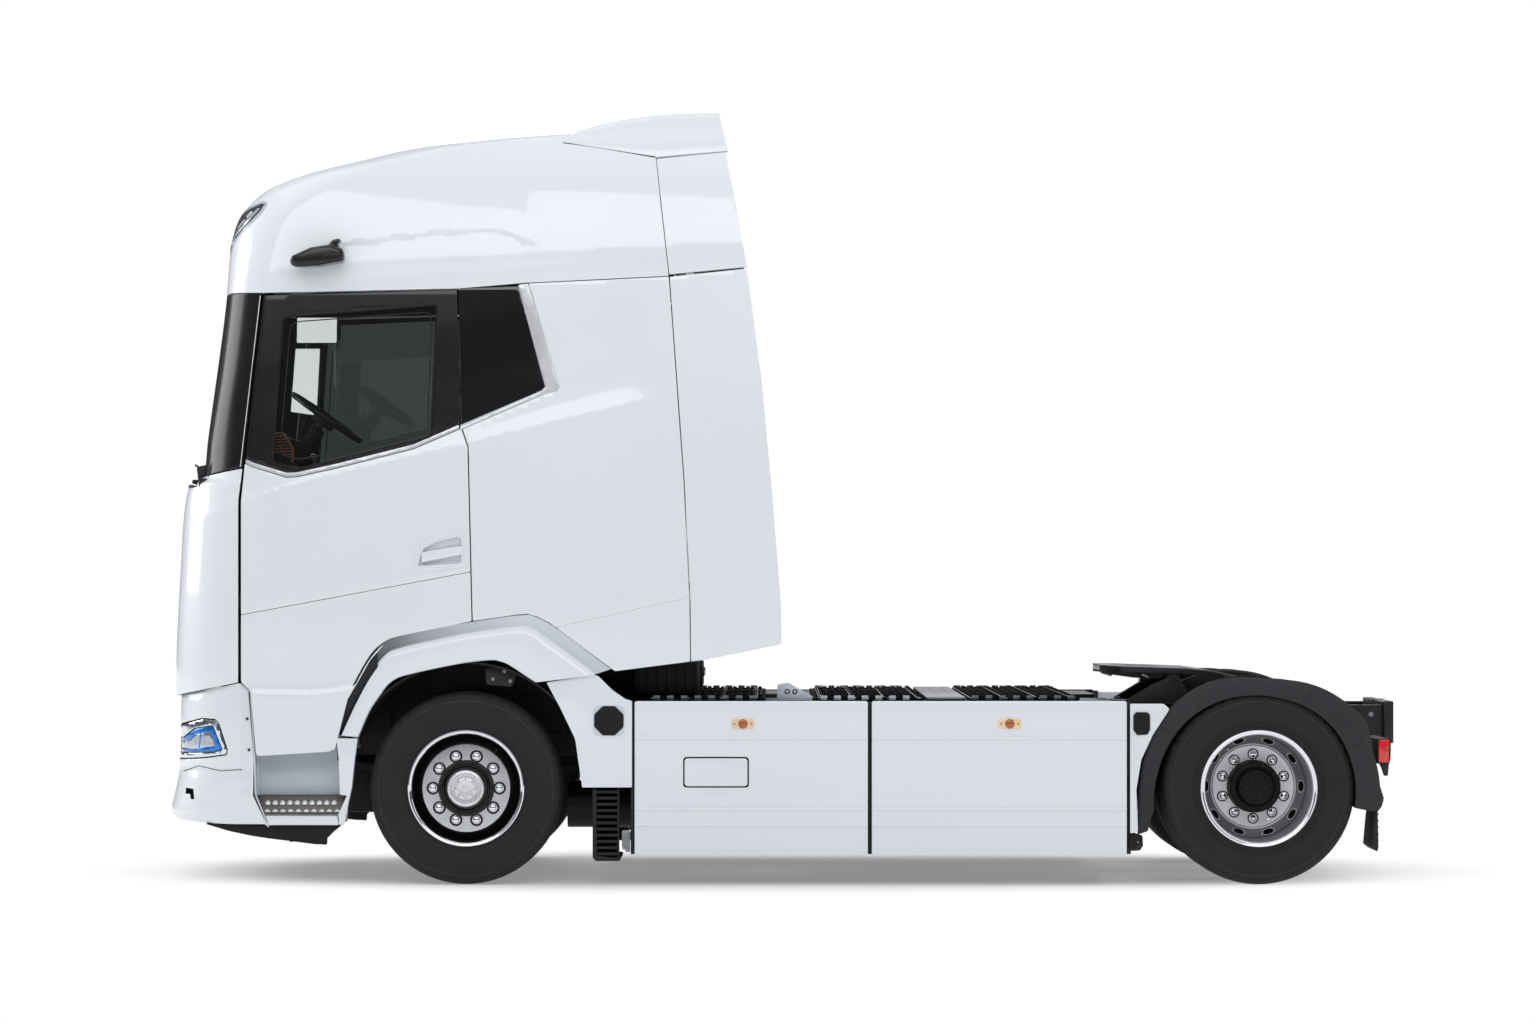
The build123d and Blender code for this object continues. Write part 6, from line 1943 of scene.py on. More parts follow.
TOPX, TOPZ = [-430, 60, 90, 120, 160, 190, 500], [64, 64, 63.5, 62.5, 60, 57, 4]
BOTX, BOTZ = [-430, 60, 190, 500], [34, 34, 26, -20]
for v in t.verts:
    v.co.z = float(np.interp(v.co.x, TOPX, TOPZ))
t.normal_update()
if sum(f.normal.z for f in t.faces) < 0:
    bmesh.ops.reverse_faces(t, faces=t.faces)
shell_faces = list(t.faces)
bnd = [e for e in t.edges if e.is_boundary]
outd = {}
for e in bnd:
    f = e.link_faces[0]
    d = e.verts[1].co - e.verts[0].co
    o = d.cross(f.normal).normalized()
    mid = (e.verts[0].co + e.verts[1].co) / 2
    if o.dot(f.calc_center_median() - mid) > 0:
        o.negate()
    for v in e.verts:
        outd.setdefault(v, Vector()).__iadd__(o)
ring0 = {v: v for v in outd}
for q, dz in ((-0.5, 0), ):
    pass
src = ring0
for inset_, dz in ((0.9, -0.8), (1.8, -3.0), (2.0, -7)):
    new = {v: t.verts.new(v.co + outd[v].normalized() * inset_ + Vector((0, 0, dz))) for v in outd}
    for e in bnd:
        a, b = e.verts
        t.faces.new((src[a], src[b], new[b], new[a]))
    src = new
under = {v: t.verts.new((v.co.x, v.co.y, float(np.interp(v.co.x, BOTX, BOTZ)))) for v in list(outd)}
for e in bnd:
    a, b = e.verts
    t.faces.new((src[a], src[b], under[b], under[a]))
cp = dict(under)
for f in shell_faces:
    for v in f.verts:
        if v not in cp:
            cp[v] = t.verts.new((v.co.x, v.co.y, float(np.interp(v.co.x, BOTX, BOTZ))))
    try:
        t.faces.new([cp[v] for v in reversed(f.verts)])
    except ValueError:
        pass
bmesh.ops.recalc_face_normals(t, faces=t.faces)
# the top faces take the lighter plate metal: painted sheen
for f in shell_faces:
    f.material_index = 2
merge(bm, t)
# wear pads and grease grooves drawn as fine raised arcs on the top plate
for r_ in (150, 235, 320):
    for a0, a1 in ((70, 170), (190, 290)):
        line = [(r_ * math.cos(math.radians(a)), r_ * math.sin(math.radians(a)), 64.4) for a in np.linspace(a0, a1, 30)]
        pipe(bm, line, 2.2, 6, 1)
# ribs, jaw and release bar under the plate
for y in (-300, 300):
    prism(bm, [(-380, 36), (-380, 20), (-200, 2), (60, 2), (120, 30)], "y", y - 8, y + 8, 2, 1, 0)
prism(bm, [(-330, -280), (-318, -280), (-318, 280), (-330, 280)], "z", 6, 36, 2, 1, 0)
for y in (-280, 270):
    box(bm, -180, 60, y, y + 12, 4, 36, r=3)
box(bm, -148, 52, -74, 74, -31, 36, r=9)
pipe(bm, [(-90, -70, 14), (-110, -200, 10), (-130, -330, 8), (-140, -418, 10)], 9, 12, 1)
pipe(bm, [(-140, -418, 10), (-150, -426, 14), (-165, -424, 20), (-170, -410, 22)], 8, 12, 1)
for y in (-405, 370):
    lathe(bm, [(0, 18.6), (0, 39), (5, 41), (32, 41), (37, 39), (37, 18.6)], 0, 0, 1, y, 48, 0)
    box(bm, -38, 38, y + 2, y + 35, 6, 36, r=5)
ca, sa = math.cos(math.radians(2)), math.sin(math.radians(2))
for v in bm.verts:
    x, z = v.co.x, v.co.z
    v.co.x, v.co.z = FWX + x * ca + z * sa, FWZ - x * sa + z * ca
done(bm, "fifth_wheel_plate", "fifth_wheel", [FIFTH, STEEL, PLATE_TOP_PAINTED_SHEEN], ["fifth_wheel"], sharp=40)

CHEEK = [(-268, -120), (-115, -27), (-30, 12), (-14, 24), (14, 24), (30, 12), (70, -50), (108, -120), (-268, -120)][:-1]
bm = bmesh.new()
for y0, y1 in ((-360, -345), (-430, -415)):
    prism(bm, [(FWX + x, FWZ + z) for x, z in rounded(CHEEK, [6, 30, 10, 8, 8, 10, 20, 6], 3)], "y", y0, y1, 2.5, 2, 0, True)
rod(bm, (FWX, -430, FWZ), (FWX, -345, FWZ), 17.6, seg=32, mat=0, both=True)
rod(bm, (FWX, -432, FWZ), (FWX, -426, FWZ), 20, 17, 6, 0, True)
box(bm, FWX - 278, FWX + 178, -428, 428, 907, 920, r=4)
for x in (FWX - 240, FWX - 120, FWX + 20, FWX + 140):
    for y in (-390, -300):
        rod(bm, (x, y, 918), (x, y, 932), 13, 12, 6, 1, True)
for x in (-190, 60):
    prism(bm, [(FWX + x, 920), (FWX + x + 14, 920), (FWX + x + 14, 958), (FWX + x, 958)], "y", -416, -358, 2, 1, 0, True)
done(bm, "fifth_wheel_brackets", "chassis", [CAST, STEEL], ["fifth_wheel_base"])


# ---------------------------------------------------------------- tyres
def arc_pts(pts, n=3):
    """A closed (u, r) outline with every corner lightly rounded."""
    return rounded(pts, 6, n)


def tyre(bm, x, z, side, yc, width, bead, lines=True):
    """One tyre: crowned tread with grooves and shoulder blocks, and sidewalls with raised rings."""
    h = width / 2
    prof = [(bead, 287), (bead + 3, 296), (bead + 4, 304), (h * 0.93, 336), (h * 0.945, 344), (h * 0.95, 346), (h * 0.985, 372), (h * 0.993, 382),
            (h, 386), (h, 392), (h * 0.992, 396), (h * 0.99, 410), (h * 0.985, 436), (h * 0.985, 441), (h * 0.975, 447), (h * 0.955, 458),
            (h * 0.93, 470), (h * 0.905, 480), (h * 0.885, 484), (h * 0.86, 487), (h * 0.82, 491.5), (h * 0.74, 494)]
    gro = []
    for g in (0.60, 0.20):
        gro += [(h * (g + 0.045), 496.5), (h * (g + 0.035), 484), (h * (g - 0.035), 484), (h * (g - 0.045), 496.8 if g > 0.3 else 497.8)]
    outer_ = prof + gro
    mirror = [(-u, r) for u, r in reversed(outer_)]
    inner_ = [(-h * 0.66, 287), (-h * 0.74, 320), (-(h * 0.95 - 18), 350), (-(h - 18), 395), (-(h * 0.98 - 18), 435), (-(h * 0.86 - 18), 458), (0, 462),
              (h * 0.86 - 18, 458), (h * 0.98 - 18, 435), (h - 18, 395), (h * 0.95 - 18, 350), (h * 0.74, 320), (h * 0.66, 287)]
    full = outer_ + mirror + inner_
    seg = 192
    t = bmesh.new()
    n = len(full)
    vs = []
    for k in range(seg):
        a = k * math.tau / seg
        notch = k % 4 == 0
        ca, sa = math.cos(a), math.sin(a)
        ring = []
        for i, (u, r) in enumerate(full):
            rr = r
            if notch and 478 < r < 493 and i < n - 13:
                rr = r - 6.5
            ring.append(t.verts.new((x + rr * ca, side * (yc + u), z + rr * sa)))
        vs.append(ring)
    k0 = len(outer_) + len(mirror)
    for k in range(seg):
        A, B = vs[k], vs[(k + 1) % seg]
        for i in range(n):
            j = (i + 1) % n
            f = t.faces.new((A[i], A[j], B[j], B[i]))
            f.material_index = 0
    bmesh.ops.recalc_face_normals(t, faces=t.faces)
    merge(bm, t)
    # raised rings on the sidewall; the outer one is in lighter rubber as a painted highlight on the shoulder
    for rr, w in ((318, 1.6), (336, 1.2), (452, 1.4)):
        line = [(x + rr * math.cos(a), side * (yc + float(np.interp(rr, [304, 346, 386, 396, 447, 458], [bead + 4, h * 0.95, h, h * 0.992, h * 0.975, h * 0.955]))),
                 z + rr * math.sin(a)) for a in np.linspace(0, math.tau, 96, endpoint=False)]
        pipe(bm, line, w, 6, 1 if rr > 400 else 0, closed=True)


def nut(bm, x, y, z, side, r, h, mat, seat=None, seat_mat=0):
    """A wheel nut with its flange and domed end, pointing outwards."""
    if seat:
        lathe(bm, [(-2, 0), (-2, seat), (1.6, seat), (2.2, seat - 2), (1.0, seat - 5), (1.0, 0)], x, z, side, y, 20, seat_mat)
    lathe(bm, [(0, 0), (0, r * 1.22), (3, r * 1.22), (4.5, r * 1.1), (4.5, 0)], x, z, side, y, 20, mat)
    t = bmesh.new()
    ring = []
    for u, rr in ((4, r), (h * 0.7, r), (h * 0.9, r * 0.82), (h, r * 0.45)):
        ring.append([t.verts.new((x + rr * math.cos(k * math.tau / 12) * (1.0 if k % 2 else 0.95), side * (y + u),
                                  z + rr * math.sin(k * math.tau / 12) * (1.0 if k % 2 else 0.95))) for k in range(12)])
    for A, B in zip(ring[:-1], ring[1:]):
        for k in range(12):
            t.faces.new((A[k], A[(k + 1) % 12], B[(k + 1) % 12], B[k]))
    t.faces.new(ring[-1])
    t.faces.new(ring[0][::-1])
    bmesh.ops.recalc_face_normals(t, faces=t.faces)
    merge(bm, t, mat)


FX, RX, AZ = -1654, 2436, 498
for side, word in ((-1, "left"), (1, "right")):
    # steered wheel
    bm = bmesh.new()
    tyre(bm, FX, AZ, side, 1035, 385, 157)
    done(bm, f"front_{word}_tyre_form", f"front_{word}_wheel", [TYRE, TYRE_RING_PAINTED_HIGHLIGHT], [f"front_{word}_tyre"], sharp=40)
    bm = bmesh.new()
    Y = 1035
    # barrel, black inside, polished lip
    rim = [(-168, 274), (-168, 296), (-163, 301), (-158, 299), (-156, 288), (-100, 285), (100, 285), (152, 287), (158, 296), (163, 301), (169, 300),
           (172, 294), (170, 287), (165, 281), (158, 277), (120, 274), (84, 270), (88, 262), (108, 240), (112, 232), (104, 228), (86, 226), (64, 266), (40, 270), (-150, 272)]
    mats = [0] * len(rim)
    for i in range(len(rim)):
        if 8 <= i <= 12:
            mats[i] = 1
        if 13 <= i <= 21:
            mats[i] = 2
    lathe(bm, rim, FX, AZ, side, Y, 128, mats=mats)
    disc = [(88, 226), (106, 230), (126, 233), (137, 231), (141, 226), (142, 200), (142, 146), (138, 142), (138, 136), (143, 132), (143, 126), (120, 124),
            (110, 130), (118, 216), (96, 220)]
    lathe(bm, disc, FX, AZ, side, Y, 128, mats=[2, 2, 1, 1, 0, 0, 0, 2, 2, 2, 2, 2, 2, 2, 2])
    ring = [(120, 124), (141, 124), (150, 121), (153, 116), (150, 111), (146, 108), (146, 98), (120, 98)]
    lathe(bm, ring, FX, AZ, side, Y, 96, mats=[2] * 8)
    capring = [(120, 98), (160, 98), (186, 96), (196, 91), (199, 84), (196, 78), (188, 74), (186, 62), (120, 62)]
    lathe(bm, capring, FX, AZ, side, Y, 96, mats=[2, 2, 5, 5, 5, 3, 5, 2, 2])
    cap = [(120, 0), (120, 62), (190, 62), (200, 60), (206, 56), (209, 50), (210, 42), (208, 36), (208, 12), (209, 0)]
    lathe(bm, cap, FX, AZ, side, Y, 96, mats=[5] * 10)
    for k in range(8):
        a = k * math.tau / 8
        rod(bm, (FX + 49 * math.cos(a), side * (Y + 206), AZ + 49 * math.sin(a)), (FX + 49 * math.cos(a), side * (Y + 210.5), AZ + 49 * math.sin(a)), 3.2, seg=8, mat=4)
    for k in range(10):
        a = math.radians(36 * k)
        nut(bm, FX + 171.5 * math.cos(a), Y + 142, AZ + 171.5 * math.sin(a), side, 18.5, 34, 3, 34, 2)
    # brake disc and back plate behind the spokes
    back = [(-36, 50), (-36, 108), (-20, 112), (96, 112), (108, 150), (96, 160), (80, 120), (60, 50)]
    lathe(bm, back, FX, AZ, side, Y, 64, mats=[4] * 8)
    # valve
    rod(bm, (FX + 246 * math.cos(0.9), side * (Y + 100), AZ + 246 * math.sin(0.9)), (FX + 250 * math.cos(0.9), side * (Y + 138), AZ + 250 * math.sin(0.9)), 4, 3, 10, 3)
    done(bm, f"front_{word}_wheel_form", f"front_{word}_wheel", [ALLOY, CHROME, BLACK, CHROME, CAST, CAPALLOY], [f"front_{word}_wheel"])
    # twin wheels
    bm = bmesh.new()
    for yc in (740, 1087):
        tyre(bm, RX, AZ, side, yc, 310, 142)
    done(bm, f"rear_{word}_tyre_forms", f"rear_{word}_wheels", [TYRE, TYRE_RING_PAINTED_HIGHLIGHT], [f"rear_{word}_tyres"], sharp=40)
    bm = bmesh.new()
    Y = 1087
    rim = [(-153, 276), (-154, 296), (-149, 301), (-144, 299), (-142, 288), (-100, 285), (100, 285), (140, 287), (144, 297), (149, 301), (154, 300),
           (157, 294), (155, 287), (150, 281), (140, 277), (110, 274), (20, 271), (-60, 270), (-104, 268), (-120, 256), (-134, 238), (-146, 222), (-151, 210),
           (-152, 190), (-152, 138), (-165, 138), (-165, 214), (-152, 238), (-132, 270)]
    mats = [0] * len(rim)
    for i in (9, 10, 11, 12):
        mats[i] = 1
    for i in (14, 15, 16, 17, 18, 19, 20):
        mats[i] = 5
    # index 6 is the glowing disc face material: painted light
    for i in (9, 10, 12, 21, 22, 23):
        mats[i] = 6
    lathe(bm, rim, RX, AZ, side, Y, 128, mats=mats)
    inner_rim = [(-u, r) for u, r in reversed(rim)]
    lathe(bm, inner_rim, RX, AZ, side, 739, 96, mats=[0] * len(rim))
    # hand holes on the slope of the disc
    for k in range(10):
        a = math.radians(36 * k)
        ca, sa = math.cos(a), math.sin(a)
        t = bmesh.new()
        rings = []
        for q, lift in ((1.0, 3.2), (0.86, 4.0), (0.8, 2.4)):
            ring = []
            for m_ in range(20):
                b = m_ * math.tau / 20
                tang, rad = 36 * q * math.cos(b), 16.5 * q * math.sin(b)
                r_ = 247 + rad
                u = float(np.interp(r_, [222, 238, 256, 268], [-146, -134, -120, -104])) + lift * 0.8
                ring.append(t.verts.new((RX + (r_ + lift * 0 ) * ca - tang * sa, side * (Y + u), AZ + r_ * sa + tang * ca)))
            rings.append(ring)
        for A, B in zip(rings[:-1], rings[1:]):
            for m_ in range(20):
                f = t.faces.new((A[m_], A[(m_ + 1) % 20], B[(m_ + 1) % 20], B[m_]))
                f.material_index = 0
        f = t.faces.new(rings[-1])
        f.material_index = 2
        base_ring = []
        for m_ in range(20):
            b = m_ * math.tau / 20
            tang, rad = 36 * math.cos(b), 16.5 * math.sin(b)
            r_ = 247 + rad
            u = float(np.interp(r_, [222, 238, 256, 268], [-146, -134, -120, -104])) - 3
            base_ring.append(t.verts.new((RX + r_ * ca - tang * sa, side * (Y + u), AZ + r_ * sa + tang * ca)))
        for m_ in range(20):
            t.faces.new((base_ring[m_], base_ring[(m_ + 1) % 20], rings[0][(m_ + 1) % 20], rings[0][m_]))
        t.faces.new(base_ring[::-1])
        bmesh.ops.recalc_face_normals(t, faces=t.faces)
        merge(bm, t)
    for k in range(10):
        a = math.radians(18 + 36 * k)
        nut(bm, RX + 168 * math.cos(a), Y - 152, AZ + 168 * math.sin(a), side, 19, 30, 3, 29, 2)
    for rr, u in ((214, -148.6), (268, -103), (283, -152.0 + 300)):
        line = [(RX + rr * math.cos(a), side * (Y + u), AZ + rr * math.sin(a)) for a in np.linspace(0, math.tau, 96, endpoint=False)]
        pipe(bm, line, 2.2, 6, 2, closed=True)
    rod(bm, (RX + 185 * math.cos(-1.15), side * (Y - 152), AZ + 185 * math.sin(-1.15)), (RX + 187 * math.cos(-1.15), side * (Y - 128), AZ + 187 * math.sin(-1.15)), 8, 6, 14, 3)
    rod(bm, (RX + 254 * math.cos(2.2), side * (Y - 118), AZ + 254 * math.sin(2.2)), (RX + 240 * math.cos(2.2), side * (Y - 60), AZ + 240 * math.sin(2.2)), 4, 3, 10, 3)
    done(bm, f"rear_{word}_rim_forms", f"rear_{word}_wheels", [RIMGREY, CHROME, BLACK, CHROME, STEEL, RIMDARK, RIMFACE_PAINTED_GLOW], [f"rear_{word}_rims"])
    bm = bmesh.new()
    hub = [(642, 62), (642, 118), (660, 120), (660, 213), (668, 216), (694, 216), (700, 212), (700, 136), (904, 134), (904, 193), (908, 196), (918, 196),
           (921, 193), (921, 136), (1012, 134), (1052, 132), (1058, 128), (1062, 104), (1080, 101), (1092, 96), (1100, 88), (1104, 60), (1106, 24), (1106, 0),
           (1010, 0), (1010, 62)]
    lathe(bm, hub, RX, AZ, side, 0, 96, mats=[0] * len(hub))
    for k in range(10):
        a = math.radians(36 * k)
        rod(bm, (RX + 116 * math.cos(a), side * 1058, AZ + 116 * math.sin(a)), (RX + 116 * math.cos(a), side * 1068, AZ + 116 * math.sin(a)), 9, 8, 6, 1)
    for k in range(16):
        a = math.tau * k / 16
        p0 = (RX + 100 * math.cos(a), side * 1074, AZ + 100 * math.sin(a))
        p1 = (RX + 70 * math.cos(a), side * 1104, AZ + 70 * math.sin(a))
        rod(bm, p0, p1, 5, 4, 8, 0)
    for k in range(6):
        a = math.tau * k / 6
        rod(bm, (RX + 44 * math.cos(a), side * 1102, AZ + 44 * math.sin(a)), (RX + 44 * math.cos(a), side * 1108, AZ + 44 * math.sin(a)), 7, 6.4, 6, 1)
    done(bm, f"rear_{word}_hub_form", f"rear_{word}_wheels", [HUBBLACK, CAST], [f"rear_{word}_hub"])


# ---------------------------------------------------------------- cab interior
bm = bmesh.new()
DASH = rounded([(-2998, 1496), (-2930, 1496), (-2880, 1850), (-2622, 1900), (-2552, 1990), (-2522, 2138), (-2600, 2222), (-2700, 2243),
                (-2976, 2190), (-2998, 2140)], [6, 20, 60, 60, 50, 40, 50, 60, 30, 10], 5)
DIN = [(-1128, 0), (1128, 0)]
prism(bm, DASH, "y", -1100, 1100, 10, 3, 0)
# driver's cowl, screens, vents, switches
prism(bm, rounded([(-2800, 2225), (-2770, 2330), (-2700, 2352), (-2560, 2300), (-2520, 2215), (-2560, 2150)], 26, 5), "y", -860, -340, 12, 3, 0)
prism(bm, rounded([(-2572, 2165), (-2548, 2275), (-2560, 2290), (-2590, 2180)], 5, 2), "y", -800, -400, 4, 2, 2)
prism(bm, rounded([(-2562, 2120), (-2544, 2250), (-2560, 2260), (-2580, 2120)], 5, 2), "y", -290, 60, 4, 2, 2)
for y in (-980, 120, 980):
    for k in range(6):
        z = 2020 + k * 20
        x = -2556 + (z - 2020) * 0.20
        box(bm, x - 6, x + 10, y - 70, y + 70, z, z + 7, r=2, mat=1)
for k in range(8):
    box(bm, -2566, -2548, 200 + k * 60, 244 + k * 60, 2062, 2092, r=4, mat=2)
for z in (1700, 1780):
    prism(bm, [(-2905, z), (-2885, z), (-2880, z + 30), (-2900, z + 30)], "y", -700, 700, 4, 2, 1)
# brown side vent near the window; its paint glows a little as painted light
VB = rounded([(-2674, 2340), (-2612, 2340), (-2562, 2253), (-2567, 2140), (-2674, 2162)], 12, 3)
prism(bm, VB, "y", -1036, -968, 6, 2, 3)
for k in range(11):
    z = 2166 + k * 16
    x1 = float(np.interp(z, [2140, 2253, 2340], [-2570, -2566, -2616]))
    prism(bm, [(-2668, z - 4), (x1 - 4, z), (x1 - 4, z + 8), (-2668, z + 4)], "y", -1046, -1034, 1.5, 1, 4)
# steering column
L = math.radians(35)
ux, uz = math.sin(L), math.cos(L)
WC = (-2430, -600, 2432)
def col(d):
    return (WC[0] - ux * d, WC[1], WC[2] - uz * d)
rod(bm, col(455), col(70), 47, 40, 32, 1)
rod(bm, col(70), col(16), 14, 14, 24, 2)
for s_ in (-1, 1):
    pipe(bm, [(col(80)[0], -600 + s_ * 40, col(80)[2]), (col(70)[0] + 6, -600 + s_ * 120, col(70)[2] + 4), (col(60)[0] + 8, -600 + s_ * 175, col(60)[2] + 8)], 8, 10, 2)
box(bm, -2998, -2960, -1110, 1110, 1500, 1640, r=8)
for y in (-700, -560, -460):
    prism(bm, rounded([(-2900, 1530), (-2860, 1530), (-2790, 1640), (-2815, 1660)], 8, 3), "y", y - 32, y + 32, 5, 2, 2)
done(bm, "dashboard_form", "chassis", [DARKINT, TRIM, BLACK, BROWN_PAINTED_GLOW, BROWN2], ["dashboard"])

# steering wheel: padded rim, three spokes, boss
bm = bmesh.new()
X = Vector((math.cos(L), 0, -math.sin(L)))
Yv = Vector((0, 1, 0))
Zv = Vector((ux, 0, uz))
C = Vector(WC)
t = bmesh.new()
rings = []
for k in range(72):
    a = k * math.tau / 72
    d = X * math.cos(a) + Yv * math.sin(a)
    thick = 15.5 + (1.4 if abs(math.sin(a)) > 0.8 else 0)
    rings.append([t.verts.new(C + d * (212 + thick * 0.92 * math.cos(b)) + Zv * (thick * math.sin(b))) for b in [j * math.tau / 16 for j in range(16)]])
for k in range(72):
    A, B = rings[k], rings[(k + 1) % 72]
    for j in range(16):
        f = t.faces.new((A[j], A[(j + 1) % 16], B[(j + 1) % 16], B[j]))
        # the top band takes the glowing green material: painted light
        f.material_index = 1 if 30 <= k < 42 else 0
bmesh.ops.recalc_face_normals(t, faces=t.faces)
merge(bm, t)


def disc_at(bm, d0, d1, r0, r1, mat=0, seg=40):
    rod(bm, C + Zv * d0, C + Zv * d1, r0, r1, seg, mat, False, 4)


disc_at(bm, -50, -15, 60, 68, 2)
disc_at(bm, -15, 2, 68, 58, 2)
for a in (0, 120, 240):
    d = X * math.cos(math.radians(a)) + Yv * math.sin(math.radians(a))
    e = Zv.cross(d)
    t = bmesh.new()
    pts = []
    for q, w, h0, h1 in ((50, 22, -16, -3), (110, 17, -15, -4), (170, 15, -12, -2), (202, 21, -8, 2)):
        pts.append([t.verts.new(C + d * q + e * w * sx + Zv * hh) for sx, hh in ((-1, h0), (1, h0), (1, h1), (-1, h1))])
    for A, B in zip(pts[:-1], pts[1:]):
        for j in range(4):
            t.faces.new((A[j], A[(j + 1) % 4], B[(j + 1) % 4], B[j]))
    t.faces.new(pts[0][::-1])
    t.faces.new(pts[-1])
    bmesh.ops.recalc_face_normals(t, faces=t.faces)
    bmesh.ops.bevel(t, geom=[e_ for e_ in t.edges if e_.calc_face_angle(0) > 0.7], offset=3, segments=2, profile=0.5, affect="EDGES", clamp_overlap=True)
    merge(bm, t, 2)
for s_ in (-1, 1):
    for k in range(3):
        p = C + X * (-20 + k * 20) + Yv * (s_ * 86) + Zv * -2
        rod(bm, p, p + Zv * 4, 7, 6, 16, 3)
done(bm, "steering_wheel_form", "steering_wheel", [LEATHER, GREEN_MARK_PAINTED_GLOW, DARKINT, STEEL], ["steering_wheel"])

# mirror displays on the pillars
bm = bmesh.new()


def card(bm, pts, y0, y1, face):
    prism(bm, rounded(inset(pts, -9), 12, 3), "y", y0, y1, 4, 2, 0)
    prism(bm, rounded(pts, 5, 2), "y", y0 - 2.5 if face < 0 else y1 - 1, y0 + 1 if face < 0 else y1 + 2.5, 1, 1, 1)


card(bm, [(-2738, 2902), (-2516, 2902), (-2514, 3042), (-2736, 3042)], 896, 918, -1)
card(bm, [(-2772, 2515), (-2629, 2494), (-2609, 2868), (-2745, 2868)], 896, 918, -1)
pipe(bm, [(-2690, 915, 2500), (-2720, 960, 2430), (-2760, 1000, 2300)], 9, 10, 0)
prism(bm, rounded([(-1054, 2500), (-920, 2500), (-920, 2870), (-1040, 2870)], 12, 3), "x", -2780, -2756, 4, 2, 0)
prism(bm, rounded([(-1044, 2510), (-930, 2510), (-930, 2860), (-1030, 2860)], 5, 2), "x", -2757, -2753, 1, 1, 1)
prism(bm, rounded([(-2800, 3130), (-2800, 3250), (-2740, 3330), (-2600, 3330), (-2560, 3300), (-2620, 3150), (-2680, 3120)], 20, 4), "y", -860, 860, 10, 2, 2)
for y in (-420, 0, 420):
    box(bm, -2600, -2574, y - 130, y + 130, 3200, 3290, r=4, mat=2)
# blind behind the right window, in the glowing blind material: painted light
prism(bm, rounded([(-2510, 2800), (-1840, 2840), (-1840, 3040), (-2510, 3010)], 8, 3), "y", 1084, 1092, 3, 2, 3)
for k in range(9):
    pipe(bm, [(-2500 + k * 80, 1082, 2806 + k * 4), (-2500 + k * 80, 1082, 3006 + k * 3)], 3, 8, 3)
done(bm, "pillar_displays", "chassis", [BLACK, SCREEN_GREY, DARKINT, BLIND_PAINTED_GLOW])

# floor mat, rear wall liner, grab rails
bm = bmesh.new()
box(bm, -2700, -1250, -870, 870, 1489, 1496, r=3, mat=0)
for k in range(12):
    box(bm, -2650 + k * 110, -2636 + k * 110, -850, 850, 1494, 1499, r=1.5, mat=0)
box(bm, -572, -561, -1060, 1060, 1500, 3560, r=5, mat=1)
for z in (2200, 2700, 3200):
    box(bm, -580, -570, -1040, 1040, z - 5, z + 5, r=3, mat=1)
pipe(bm, [(-2660, -1130, 2400), (-2652, -1110, 2480), (-2640, -1108, 2760), (-2640, -1124, 2860)], 12, 12, 0, True)
done(bm, "cabin_liners", "chassis", [RUBBER, LINER])

# inner cards of the doors
bm = bmesh.new()
CARD = rounded([(-2770, 2120), (-2770, 1080), (-2700, 720), (-2420, 740), (-2310, 1010), (-2190, 1210), (-2060, 1310), (-1680, 1400), (-1700, 2210),
                (-2050, 2200), (-2500, 2105)], 24, 3)
piece(bm, CARD, by=-40, depth=14, lip=4, mat=0)
y = side_out(-2300, 1900) + 54
prism(bm, rounded([(-2600, 1905), (-2590, 1960), (-1820, 2010), (-1790, 1990), (-1800, 1935), (-2560, 1880)], 14, 3), "y", y - 4, y + 42, 8, 3, 1)
pipe(bm, [(-1900, y + 4, 2050), (-1900, y + 30, 2056), (-1800, y + 30, 2064), (-1800, y + 4, 2070)], 7, 10, 2)
prism(bm, rounded([(-2640, 1120), (-2640, 1330), (-2240, 1400), (-2200, 1300), (-2300, 1130)], 20, 3), "y", y - 6, y + 34, 8, 3, 1)
for k in range(10):
    a = k * math.tau / 10
    rod(bm, (-2560 + 30 * math.cos(a), y - 4, 1760 + 30 * math.sin(a)), (-2560 + 30 * math.cos(a), y + 2, 1760 + 30 * math.sin(a)), 4, 4, 8, 2)
finish_sides(bm, "door_card", [DARKINT, INTERIOR, STEEL])


